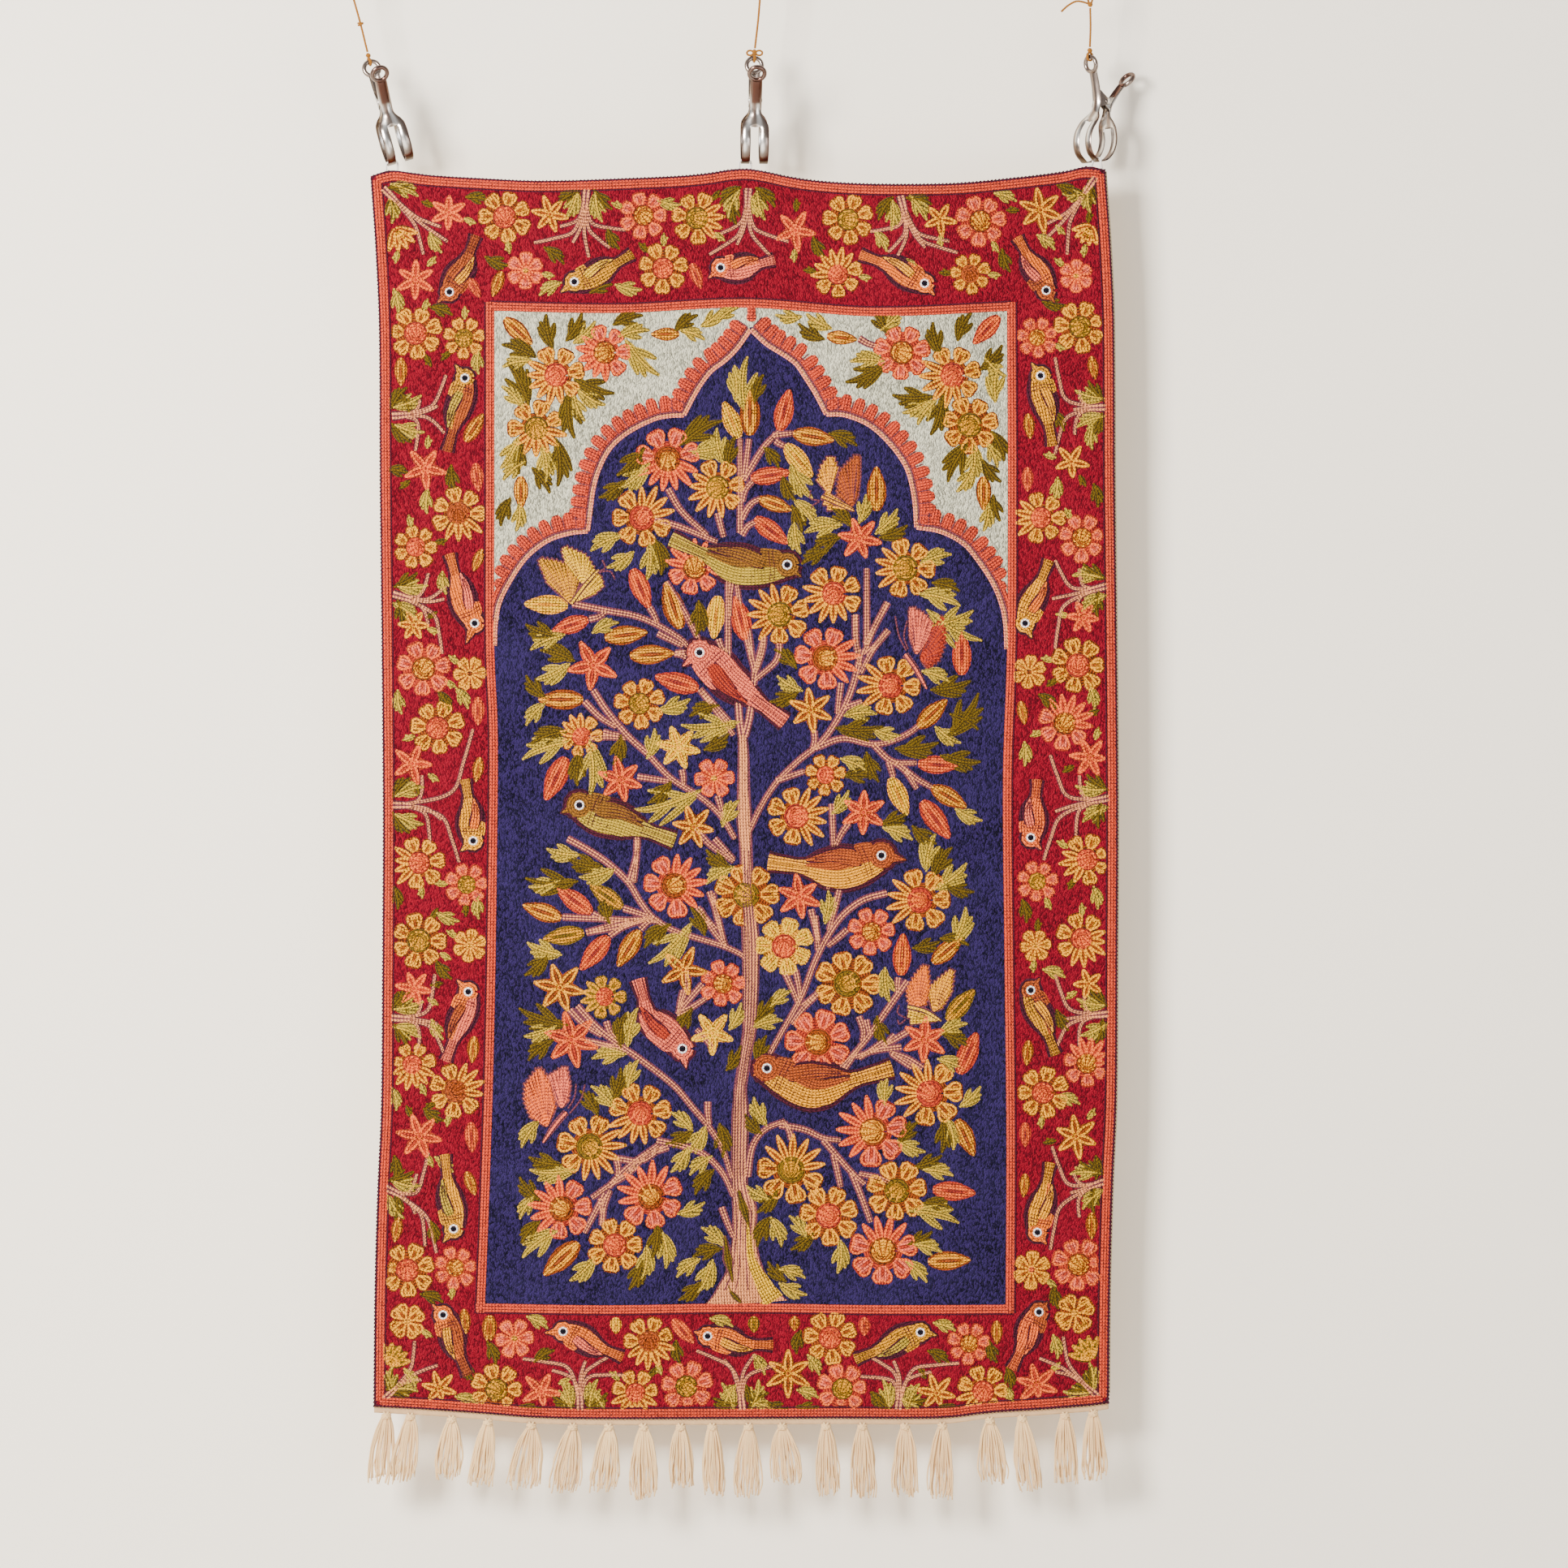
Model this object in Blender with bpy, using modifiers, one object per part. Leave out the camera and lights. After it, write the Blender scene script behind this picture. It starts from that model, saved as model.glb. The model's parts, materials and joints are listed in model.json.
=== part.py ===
"""Embroidered wall hanging on three spring clips.

A wool chain-stitched panel, backed with cotton and edged below with a knotted cotton fringe,
hangs by three cotton loops. A sheet-steel spring clip holds each loop, and twine holds each clip.

Metres, +Z up, the front faces -Y and +X is to the right. The origin is the point where the
middle twine's loop bears on its nail.
"""

import math
from collections import namedtuple

import bmesh
import bpy
from mathutils import Matrix, Vector

MM = 0.001
GAP = 0.3 * MM

# The cloth
PANEL_WIDTH = 0.910
PANEL_LENGTH = 1.547
PANEL_THICKNESS = 2.6 * MM
BACKING_THICKNESS = 1.0 * MM
BACKING_PEEK = 2.0 * MM
BACKING_INSET = 1.5 * MM
PANEL_TOP = -0.2405
PANEL_MIDDLE = -0.028
CLOTH_COLUMNS = 16
CLOTH_ROWS = 17

# The fringe
STRIP_THICKNESS = 1.2 * MM
STRIP_ABOVE_EDGE = 12.0 * MM
STRIP_BELOW_EDGE = 8.0 * MM
KNOT_SIZE = Vector((12.0, 7.0, 10.0)) * MM
LOCK_COLUMNS = 4
LOCK_ROWS = 2
LOCK_WIDTH = 2.8 * MM
LOCK_DEPTH = 2.6 * MM
LOCK_BENDS = 2
LOCK_UNEVEN = 0.07

# The clips, drawn closed and upright: "out" is the distance from the middle plane
SHEET_STEEL = 1.4 * MM
EYE_OUT = 31.0 * MM
EYE_UP = 38.5 * MM
EYE_RADIUS = 9.4 * MM
EYE_BAR = 2.8 * MM
TIP_UP = -79.0 * MM
PRONG_CENTRE = 11.3 * MM
# Shares of the lever's half width where the slot ends and where a prong's middle line runs
SLOT_SHARE = 0.37
PRONG_SHARE = 0.68
PIN_RADIUS = 1.4 * MM
PIN_PLAY = 0.4 * MM
PIN_HEAD = 2.6 * MM
PIN_HEAD_HEIGHT = 0.9 * MM
EAR_RADIUS = 4.6 * MM
EAR_THICKNESS = 1.2 * MM
OUTER_EAR = 7.2 * MM
INNER_EAR = 5.6 * MM
SPRING_RADIUS = 3.4 * MM
SPRING_HALF_LENGTH = 4.0 * MM
SPRING_WIRE = 0.7 * MM
SPRING_LEG = 2.6 * MM
SPRING_LEG_OUT = 14.0 * MM
SPRING_LEG_UP = 12.6 * MM

# The cotton loops and the twine
LOOP_WIRE = 1.4 * MM
LOOP_HALF_WIDTH = 7.3 * MM
LOOP_SEWN = 22.0 * MM
LOOP_SEAT = 4.0 * MM
LOOP_STEP = 3.5 * MM
TWINE = 1.4 * MM
TWINE_STEP = 7.0 * MM
KNOT_RADIUS = 3.6 * MM
BOW_RADIUS = 4.0 * MM
BOW_OUT = 5.6 * MM
# The small knot part way up the left twine
TURN_WIRE = 1.2 * MM
TURN_SHARE = 0.47
TURN_STRETCH = 1.5
TWINE_SAG = 0.6 * MM
NAIL_LOOP_WIDTH = 5.0 * MM

EdgeRow = namedtuple("EdgeRow", "place drop")
# place: across the cloth from its middle; drop: below the line of the clips
TOP_EDGE = [
    EdgeRow(-0.455, 0.0080),
    EdgeRow(-0.430, 0.0010),
    EdgeRow(-0.390, 0.0062),
    EdgeRow(-0.316, 0.0112),
    EdgeRow(-0.240, 0.0145),
    EdgeRow(-0.120, 0.0105),
    EdgeRow(-0.050, 0.0062),
    EdgeRow(0.010, -0.0010),
    EdgeRow(0.075, 0.0110),
    EdgeRow(0.140, 0.0172),
    EdgeRow(0.207, 0.0190),
    EdgeRow(0.271, 0.0175),
    EdgeRow(0.337, 0.0110),
    EdgeRow(0.402, 0.0030),
    EdgeRow(0.436, -0.0040),
    EdgeRow(0.455, 0.0005),
]
# drop: above the lowest level of the hem, so these are negative or nought
BOTTOM_EDGE = [
    EdgeRow(-0.455, -0.0150),
    EdgeRow(-0.390, -0.0115),
    EdgeRow(-0.326, -0.0070),
    EdgeRow(-0.250, -0.0015),
    EdgeRow(-0.120, 0.0000),
    EdgeRow(0.110, -0.0008),
    EdgeRow(0.250, -0.0015),
    EdgeRow(0.306, -0.0080),
    EdgeRow(0.370, -0.0120),
    EdgeRow(0.430, -0.0165),
    EdgeRow(0.455, -0.0195),
]
BowRow = namedtuple("BowRow", "down shift")
# down: along the cloth from the top; shift: how far the whole width hangs to the right
SIDE_BOW = [
    BowRow(0.000, 0.0000),
    BowRow(0.090, 0.0062),
    BowRow(0.190, 0.0106),
    BowRow(0.390, 0.0118),
    BowRow(0.590, 0.0140),
    BowRow(0.800, 0.0156),
    BowRow(1.000, 0.0148),
    BowRow(1.170, 0.0135),
    BowRow(1.270, 0.0092),
    BowRow(1.400, 0.0056),
    BowRow(1.547, 0.0042),
]
Fold = namedtuple("Fold", "across half_width forward start end lean")
# forward: depth towards the viewer; lean: sideways run for each metre down
FOLDS = [
    Fold(0.012, 0.014, 0.0032, -0.20, 1.90, -0.008),
    Fold(-0.215, 0.110, 0.0085, -0.60, 0.62, 0.060),
    Fold(0.215, 0.095, 0.0110, -0.60, 0.70, -0.100),
    Fold(0.120, 0.040, -0.0040, -0.30, 0.80, 0.160),
    Fold(0.330, 0.050, -0.0035, -0.20, 1.00, -0.060),
    Fold(-0.330, 0.080, -0.0040, 0.30, 1.75, 0.020),
    Fold(0.300, 0.120, 0.0060, 0.70, 2.10, 0.000),
    Fold(-0.120, 0.090, 0.0050, 0.80, 2.10, -0.040),
]
Crease = namedtuple("Crease", "down half_width forward")
CREASES = [
    Crease(0.318, 0.030, 0.0016),
    Crease(0.980, 0.026, -0.0018),
]

Tassel = namedtuple("Tassel", "place half_spread length lean")
# place: along the hem from the panel's middle; lean: how far its foot hangs to the right
TASSELS = [
    Tassel(-0.440, 0.0150, 0.086, -0.0080),
    Tassel(-0.410, 0.0130, 0.082, -0.0100),
    Tassel(-0.359, 0.0150, 0.076, -0.0050),
    Tassel(-0.314, 0.0130, 0.081, -0.0095),
    Tassel(-0.260, 0.0175, 0.081, -0.0098),
    Tassel(-0.209, 0.0170, 0.083, -0.0120),
    Tassel(-0.164, 0.0150, 0.083, -0.0075),
    Tassel(-0.121, 0.0160, 0.091, 0.0005),
    Tassel(-0.075, 0.0130, 0.076, 0.0015),
    Tassel(-0.036, 0.0120, 0.087, 0.0030),
    Tassel(0.009, 0.0150, 0.090, -0.0025),
    Tassel(0.051, 0.0170, 0.074, 0.0062),
    Tassel(0.105, 0.0125, 0.087, 0.0025),
    Tassel(0.150, 0.0140, 0.089, 0.0018),
    Tassel(0.203, 0.0130, 0.089, 0.0005),
    Tassel(0.249, 0.0130, 0.092, -0.0025),
    Tassel(0.308, 0.0160, 0.080, 0.0060),
    Tassel(0.348, 0.0130, 0.091, 0.0095),
    Tassel(0.401, 0.0130, 0.085, 0.0025),
    Tassel(0.436, 0.0130, 0.084, 0.0015),
]

EarRoot = namedtuple("EarRoot", "out up")
# Where an ear meets the rolled edge of its handle
# and how much further out it does so for each metre that the ear is inset
EAR_REACH = 0.9
EAR_ROOTS = [EarRoot(0.0152, 0.0110), EarRoot(0.0098, -0.0030), EarRoot(0.0096, -0.0105)]

Station = namedtuple("Station", "out up width arch")
# One lever of a clip from below its eye to the tips of its prongs
LEVER = [
    Station(0.0272, 0.0300, 0.0138, 0.0026),
    Station(0.0196, 0.0140, 0.0146, 0.0036),
    Station(0.0125, -0.0035, 0.0146, 0.0036),
    Station(0.0122, -0.0150, 0.0150, 0.0034),
    Station(0.0144, -0.0225, 0.0262, 0.0030),
    Station(0.0170, -0.0290, 0.0322, 0.0024),
    Station(0.0220, -0.0450, 0.0330, 0.0016),
    Station(0.0210, -0.0600, 0.0330, 0.0012),
    Station(0.0135, -0.0725, 0.0330, 0.0008),
    Station(0.0004, -0.0790, 0.0330, 0.0000),
]
# The slot between the prongs begins at this station
SLOT_STATION = 5
# The sheet bends after these, so one more station follows each
BENT_STATIONS = (1, 3, 6, 7, 8)

ClipPlace = namedtuple("ClipPlace", "side loop_place yaw roll prong drop nail twine_top")
# loop_place: across the cloth; drop: from the tips to the cloth's edge; nail: where the twine's
# loop bears; prong: which pair of prongs the cotton loop hangs on; twine_top: length of nail loop
CLIPS = [
    ClipPlace("left", -0.4290, 8.5, -17.0, -1, 0.0075, Vector((-0.5065, 0.0, 0.0)), 0.016),
    ClipPlace("middle", 0.009, 3.5, 0.0, -1, 0.0072, Vector((0.0, 0.0, 0.0)), 0.016),
    ClipPlace("right", 0.4450, 129.0, 0.0, -1, 0.0080, Vector((0.4085, 0.0, 0.0)), 0.036),
]


def clear_scene():
    for old in list(bpy.data.objects):
        bpy.data.objects.remove(old)


def new_collection(name, in_render=True):
    made = bpy.data.collections.new(name)
    made.hide_render = not in_render
    bpy.context.scene.collection.children.link(made)
    return made


def new_material(name, colour, roughness, metallic=0.0):
    made = bpy.data.materials.new(name)
    made.use_nodes = True
    shader = made.node_tree.nodes["Principled BSDF"]
    shader.inputs["Base Color"].default_value = (*colour, 1.0)
    shader.inputs["Roughness"].default_value = roughness
    shader.inputs["Metallic"].default_value = metallic
    return made


def read_smooth(rows, at):
    """The value at a place in a table of (place, value) rows, on a smooth curve through them."""
    at = min(max(at, rows[0][0]), rows[-1][0])
    right = next(i for i in range(1, len(rows)) if at <= rows[i][0])
    before, a, b, after = (
        rows[max(right - 2, 0)],
        rows[right - 1],
        rows[right],
        rows[min(right + 1, len(rows) - 1)],
    )
    span = b[0] - a[0]
    t = (at - a[0]) / span
    slope_a = (b[1] - before[1]) / (b[0] - before[0]) * span
    slope_b = (after[1] - a[1]) / (after[0] - a[0]) * span
    rise = b[1] - a[1]
    cubic = slope_a + slope_b - 2 * rise
    square = 3 * rise - 2 * slope_a - slope_b
    return a[1] + t * (slope_a + t * (square + t * cubic))


def relief(u, v):
    """How far the cloth stands forward at u across and v down: its soft folds and creases."""
    forward = 0.0
    for fold in FOLDS:
        across = (u - fold.across - fold.lean * v) / fold.half_width
        along = (v - fold.start) / (fold.end - fold.start)
        fade = math.sin(math.pi * min(max(along, 0.0), 1.0)) ** 2
        forward += fold.forward * fade * math.exp(-across * across)
    for crease in CREASES:
        forward += crease.forward * math.exp(-(((v - crease.down) / crease.half_width) ** 2))
    return forward


def hang(u, v, behind=0.0):
    """Where the cloth's point u across and v down from its top middle hangs, or a point behind it."""
    share = v / PANEL_LENGTH
    top = PANEL_TOP - read_smooth(TOP_EDGE, u)
    bottom = PANEL_TOP - PANEL_LENGTH - read_smooth(BOTTOM_EDGE, u)
    x = PANEL_MIDDLE + u + read_smooth(SIDE_BOW, v)
    return Vector((x, behind - relief(u, v), top + share * (bottom - top)))


def cloth_columns():
    """Places across the cloth, closer together at the fold down its middle."""
    crease = [-0.026, -0.012, 0.0, 0.012, 0.026]
    side = [PANEL_WIDTH / 2 * (1 - i / (CLOTH_COLUMNS / 2)) for i in range(CLOTH_COLUMNS // 2)]
    middle = [FOLDS[0].across + place for place in crease]
    return sorted([-place for place in side] + side + middle)


def cloth_rows():
    """Places down the cloth, with one where the backing ends and the fringe's strip begins."""
    last = PANEL_LENGTH - STRIP_ABOVE_EDGE
    return [last * i / (CLOTH_ROWS - 1) for i in range(CLOTH_ROWS)] + [PANEL_LENGTH]


def hung_sheet(name, columns, rows, behind, thickness, collection, material):
    """A sheet over these places across and down, a distance behind the panel's own middle."""
    bpy.ops.mesh.primitive_grid_add(
        x_subdivisions=len(columns) - 1, y_subdivisions=len(rows) - 1, size=2
    )
    sheet = bpy.context.object
    sheet.name = sheet.data.name = name
    for vertex in sheet.data.vertices:
        column = round((vertex.co.x + 1) / 2 * (len(columns) - 1))
        row = round((1 - vertex.co.y) / 2 * (len(rows) - 1))
        vertex.co = hang(columns[column], rows[row], behind)
    sheet.data.polygons.foreach_set("use_smooth", [True] * len(sheet.data.polygons))
    wall = sheet.modifiers.new("thickness", "SOLIDIFY")
    wall.thickness = thickness
    wall.offset = 0
    finish(sheet, collection, material)
    return sheet


def finish(thing, collection, material):
    for old in list(thing.users_collection):
        old.objects.unlink(thing)
    collection.objects.link(thing)
    thing.data.materials.clear()
    thing.data.materials.append(material)


def mesh_object(name, bm, collection, material):
    mesh = bpy.data.meshes.new(name)
    bm.normal_update()
    bm.to_mesh(mesh)
    bm.free()
    made = bpy.data.objects.new(name, mesh)
    collection.objects.link(made)
    mesh.materials.append(material)
    return made


def tube(name, points, radius, collection, material, closed=False, sides=2):
    """A cord along these points, as a curve with a round bevel and filled caps."""
    curve = bpy.data.curves.new(name, "CURVE")
    curve.dimensions = "3D"
    curve.bevel_depth = radius
    curve.bevel_resolution = sides
    curve.use_fill_caps = not closed
    line = curve.splines.new("POLY")
    line.points.add(len(points) - 1)
    line.use_cyclic_u = closed
    for point, place in zip(line.points, points):
        point.co = (*place, 1.0)
    made = bpy.data.objects.new(name, curve)
    collection.objects.link(made)
    curve.materials.append(material)
    return made


def as_mesh(curve_object, collection, material):
    """The curve as a mesh with its caps welded, so that a Boolean can use it."""
    bpy.context.view_layer.update()
    graph = bpy.context.evaluated_depsgraph_get()
    mesh = bpy.data.meshes.new_from_object(curve_object.evaluated_get(graph))
    bm = bmesh.new()
    bm.from_mesh(mesh)
    bmesh.ops.remove_doubles(bm, verts=bm.verts, dist=0.01 * MM)
    bm.to_mesh(mesh)
    bm.free()
    made = bpy.data.objects.new(curve_object.name + "_mesh", mesh)
    made.matrix_world = curve_object.matrix_world
    bpy.data.objects.remove(curve_object)
    finish(made, collection, material)
    return made


def ball(name, centre, size, collection, material, across=8, up=5):
    """A rounded lump, such as a knot, with these full sizes."""
    bpy.ops.mesh.primitive_uv_sphere_add(segments=across, ring_count=up, radius=0.5)
    lump = bpy.context.object
    lump.name = lump.data.name = name
    lump.data.transform(Matrix.Translation(centre) @ Matrix.Diagonal((*size, 1.0)))
    finish(lump, collection, material)
    return lump


def join_all(thing, others, operation="UNION"):
    """One Boolean for each of the others, which become its cutters or what it is joined with."""
    for other in others:
        other.hide_render = True
        other.display_type = "WIRE"
        cut = thing.modifiers.new(other.name, "BOOLEAN")
        cut.operation = operation
        cut.solver = "EXACT"
        cut.object = other


def tassel(number, row, behind, pieces, cotton):
    """One tassel: its knot, with a lock of yarn drawn down from each face below."""
    hem = hang(row.place, PANEL_LENGTH, behind)
    knot = hem - Vector((0, 0, STRIP_BELOW_EDGE + KNOT_SIZE.z * 0.3))
    bm = bmesh.new()
    bmesh.ops.create_cube(bm, size=2.0)
    for axis, cuts in ((0, LOCK_COLUMNS - 1), (1, LOCK_ROWS - 1)):
        along = [e for e in bm.edges if abs((e.verts[0].co - e.verts[1].co)[axis]) > 1.0]
        bmesh.ops.subdivide_edges(bm, edges=along, cuts=cuts, use_grid_fill=True)
    below = [f for f in bm.faces if f.normal.z < -0.5]
    for vertex in bm.verts:
        x, y, z = vertex.co
        rounded = Vector((x * (1 - 0.12 * y * y), y * (1 - 0.25 * x * x), z * (1 - 0.35 * x * x)))
        vertex.co = knot + rounded * 0.5 * KNOT_SIZE
    locks = []
    for face in below:
        out = face.calc_center_median() - knot
        locks.append((face, 2 * out.x / KNOT_SIZE.x, 2 * out.y / KNOT_SIZE.y))
    for order, (face, across, forward) in enumerate(locks):
        shorter = LOCK_UNEVEN * ((order * 5 + number * 3) % 4) / 3
        foot = knot + Vector(
            (
                row.lean + across / 0.75 * row.half_spread,
                forward / 0.5 * LOCK_DEPTH,
                -row.length * (1 - shorter),
            )
        )
        draw_lock(bm, face, foot, across * row.half_spread * 0.25)
    bmesh.ops.recalc_face_normals(bm, faces=bm.faces)
    return mesh_object(f"tassel_{number}", bm, pieces, cotton)


def draw_lock(bm, face, foot, bulge):
    """Draws a face of a tassel's knot down to a lock's foot, narrower from step to step."""
    root = face.calc_center_median()
    for step in range(1, LOCK_BENDS + 1):
        share = step / LOCK_BENDS
        made = bmesh.ops.extrude_discrete_faces(bm, faces=[face])
        face = made["faces"][0]
        centre = root.lerp(foot, share) + Vector((bulge * math.sin(math.pi * share), 0, 0))
        size = LOCK_WIDTH * (1.0 - 0.3 * share) / 2
        old = face.calc_center_median()
        for vertex in face.verts:
            side = vertex.co - old
            vertex.co = centre + Vector((math.copysign(size, side.x), math.copysign(size, side.y), 0))


def make_fringe(collection, pieces, cotton):
    """The woven strip behind the hem with its knotted tassels, all one piece."""
    behind = PANEL_THICKNESS / 2 + GAP + STRIP_THICKNESS / 2
    top = PANEL_LENGTH - STRIP_ABOVE_EDGE + 2 * GAP
    rows = [top, PANEL_LENGTH, PANEL_LENGTH + STRIP_BELOW_EDGE]
    columns = cloth_columns()
    strip = hung_sheet("fringe", columns, rows, behind, STRIP_THICKNESS, collection, cotton)
    for number, row in enumerate(TASSELS):
        tassel(number, row, behind, pieces, cotton)
    for piece in pieces.objects:
        piece.hide_render = True
        piece.display_type = "WIRE"
    joined = strip.modifiers.new("tassels", "BOOLEAN")
    joined.operation = "UNION"
    joined.solver = "EXACT"
    joined.operand_type = "COLLECTION"
    joined.collection = pieces
    return strip


def lever_stations():
    """The lever's stations with one more between each two, on a smooth curve."""
    steps = [math.dist(a[:2], b[:2]) for a, b in zip(LEVER, LEVER[1:])]
    places = [sum(steps[:i]) for i in range(len(LEVER))]
    columns = [
        [(place, station[k]) for place, station in zip(places, LEVER)]
        for k in range(len(Station._fields))
    ]
    samples = []
    for i, place in enumerate(places):
        samples.append(place)
        if i in BENT_STATIONS:
            samples.append((place + places[i + 1]) / 2)
    slot_from = places[SLOT_STATION]
    return [
        (Station(*(read_smooth(column, at) for column in columns)), at >= slot_from)
        for at in samples
    ]


def lever_sheet(name, side, collection, steel):
    """The lever's pressed sheet: an arched handle that parts into two prongs below its slot."""
    stations = lever_stations()
    across = (-1.0, -PRONG_SHARE, -SLOT_SHARE, SLOT_SHARE, PRONG_SHARE, 1.0)
    slot_column = across.index(-SLOT_SHARE)
    bm = bmesh.new()
    rows = []
    for i, (station, slotted) in enumerate(stations):
        before = stations[max(i - 1, 0)][0]
        after = stations[min(i + 1, len(stations) - 1)][0]
        along = Vector((0, after.out - before.out, after.up - before.up)).normalized()
        inward = Vector((0, along.z, -along.y))
        row = []
        for share in across:
            curl = (abs(share) - PRONG_SHARE) / (1 - PRONG_SHARE) if slotted else share
            depth = station.arch * curl * curl
            point = Vector((share * station.width / 2, station.out, station.up)) + inward * depth
            row.append(bm.verts.new((point.x, side * point.y, point.z)))
        rows.append((row, slotted))
    for (upper, in_slot), (lower, _) in zip(rows, rows[1:]):
        for k in range(len(across) - 1):
            if in_slot and k == slot_column:
                continue
            bm.faces.new((upper[k], lower[k], lower[k + 1], upper[k + 1]))
    loose = [v for v in bm.verts if not v.link_faces]
    bmesh.ops.delete(bm, geom=loose, context="VERTS")
    bmesh.ops.recalc_face_normals(bm, faces=bm.faces)
    lever = mesh_object(name, bm, collection, steel)
    wall = lever.modifiers.new("thickness", "SOLIDIFY")
    wall.thickness = SHEET_STEEL
    wall.offset = 0
    return lever


def ear(name, side, at_x, cutters, steel):
    """A flat ear from the handle's edge to the pin, at this distance from the middle."""
    bm = bmesh.new()
    inset = OUTER_EAR - abs(at_x)
    handle = [(root.out + EAR_REACH * inset, root.up) for root in EAR_ROOTS]
    rim = [
        (EAR_RADIUS * math.cos(math.radians(a)), EAR_RADIUS * math.sin(math.radians(a)))
        for a in range(90, 271, 45)
    ]
    for x in (at_x - EAR_THICKNESS / 2, at_x + EAR_THICKNESS / 2):
        for out, up in handle + rim:
            bm.verts.new((x, side * out, up))
    bmesh.ops.convex_hull(bm, input=bm.verts)
    return mesh_object(name, bm, cutters, steel)


def eye_tilt():
    """The lean of an eye's plane from upright, as that of the handle's end below it."""
    return math.atan2(EYE_OUT - LEVER[1].out, EYE_UP - LEVER[1].up)


def make_lever(name, side, ear_x, collection, cutters, steel):
    """One lever: its pressed sheet, ring eye and two ears, drilled for the pin."""
    lever = lever_sheet(name, side, collection, steel)
    bpy.ops.mesh.primitive_torus_add(
        major_radius=EYE_RADIUS, minor_radius=EYE_BAR, major_segments=14, minor_segments=5
    )
    eye = bpy.context.object
    eye.name = eye.data.name = name + "_eye"
    turn = Matrix.Rotation(math.radians(90) - side * eye_tilt(), 4, "X")
    eye.data.transform(Matrix.Translation((0, side * EYE_OUT, EYE_UP)) @ turn)
    finish(eye, cutters, steel)
    ears = [ear(f"{name}_ear_{k}", side, k * ear_x, cutters, steel) for k in (-1, 1)]
    bpy.ops.mesh.primitive_cylinder_add(
        vertices=10, radius=PIN_RADIUS + PIN_PLAY, depth=4 * OUTER_EAR
    )
    hole = bpy.context.object
    hole.name = name + "_hole"
    hole.data.transform(Matrix.Rotation(math.radians(90), 4, "Y"))
    finish(hole, cutters, steel)
    join_all(lever, [eye, *ears])
    join_all(lever, [hole], "DIFFERENCE")
    return lever


def make_pin(name, collection, steel):
    """The rivet that the two levers turn on, with a low head at each end."""
    half = OUTER_EAR + EAR_THICKNESS / 2 + GAP
    profile = [
        (half + PIN_HEAD_HEIGHT, 0.0),
        (half + PIN_HEAD_HEIGHT, PIN_HEAD * 0.6),
        (half, PIN_HEAD),
        (half, PIN_RADIUS),
    ]
    profile += [(-along, radius) for along, radius in reversed(profile)]
    bm = bmesh.new()
    points = [bm.verts.new((radius, 0, along)) for along, radius in profile]
    for a, b in zip(points, points[1:]):
        bm.edges.new((a, b))
    pin = mesh_object(name, bm, collection, steel)
    turn = pin.modifiers.new("turn", "SCREW")
    turn.steps = turn.render_steps = 10
    turn.use_merge_vertices = True
    turn.merge_threshold = 0.01 * MM
    return pin


def make_spring(name, collection, cutters, steel):
    """The spring round the pin, as its wound body and the two legs that part the handles."""
    bm = bmesh.new()
    inner, outer = PIN_RADIUS + PIN_PLAY, SPRING_RADIUS
    half = SPRING_HALF_LENGTH
    ring = [(half, outer), (-half, outer), (-half, inner), (half, inner)]
    points = [bm.verts.new((radius, 0, along)) for along, radius in ring]
    for a, b in zip(points, points[1:] + points[:1]):
        bm.edges.new((a, b))
    spring = mesh_object(name, bm, collection, steel)
    turn = spring.modifiers.new("turn", "SCREW")
    turn.steps = turn.render_steps = 10
    turn.use_merge_vertices = True
    turn.merge_threshold = 0.01 * MM
    legs = []
    for side in (-1, 1):
        foot = Vector((side * SPRING_LEG, side * SPRING_LEG, 0))
        head = Vector((side * SPRING_LEG, side * SPRING_LEG_OUT, SPRING_LEG_UP))
        leg = tube(f"{name}_leg_{side}", [foot, head], SPRING_WIRE, cutters, steel, sides=0)
        legs.append(as_mesh(leg, cutters, steel))
    for leg in legs:
        leg.data.transform(Matrix.Rotation(math.radians(-90), 4, "Y"))
    join_all(spring, legs)
    return spring


def clip_frame(place):
    """The matrix from a clip drawn closed and upright to where it hangs on its twine."""
    hang_tilt = math.atan2(EYE_OUT, EYE_UP - TIP_UP)
    tilt = Matrix.Rotation(hang_tilt, 4, "X")
    yaw = Matrix.Rotation(math.radians(place.yaw), 4, "Z")
    roll = Matrix.Rotation(math.radians(place.roll), 4, "Y")
    turned = roll @ yaw @ tilt
    tip = Vector((place.prong * PRONG_CENTRE, 0, TIP_UP))
    edge = hang(place.loop_place, 0.0, loop_behind())
    seat = edge + Vector((0, 0, place.drop))
    return Matrix.Translation(seat - turned @ tip) @ turned


def loop_behind():
    """How far the cotton loops lie behind the panel's middle."""
    return PANEL_THICKNESS / 2 + BACKING_THICKNESS + 4 * GAP + LOOP_WIRE


def smooth_line(points, step):
    """Points a step apart on a smooth curve through the given ones."""
    places = [0.0]
    for a, b in zip(points, points[1:]):
        places.append(places[-1] + (b - a).length)
    count = max(2, math.ceil(places[-1] / step))
    rows = [[(place, point[k]) for place, point in zip(places, points)] for k in range(3)]
    return [
        Vector(read_smooth(row, places[-1] * i / count) for row in rows) for i in range(count + 1)
    ]


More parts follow.
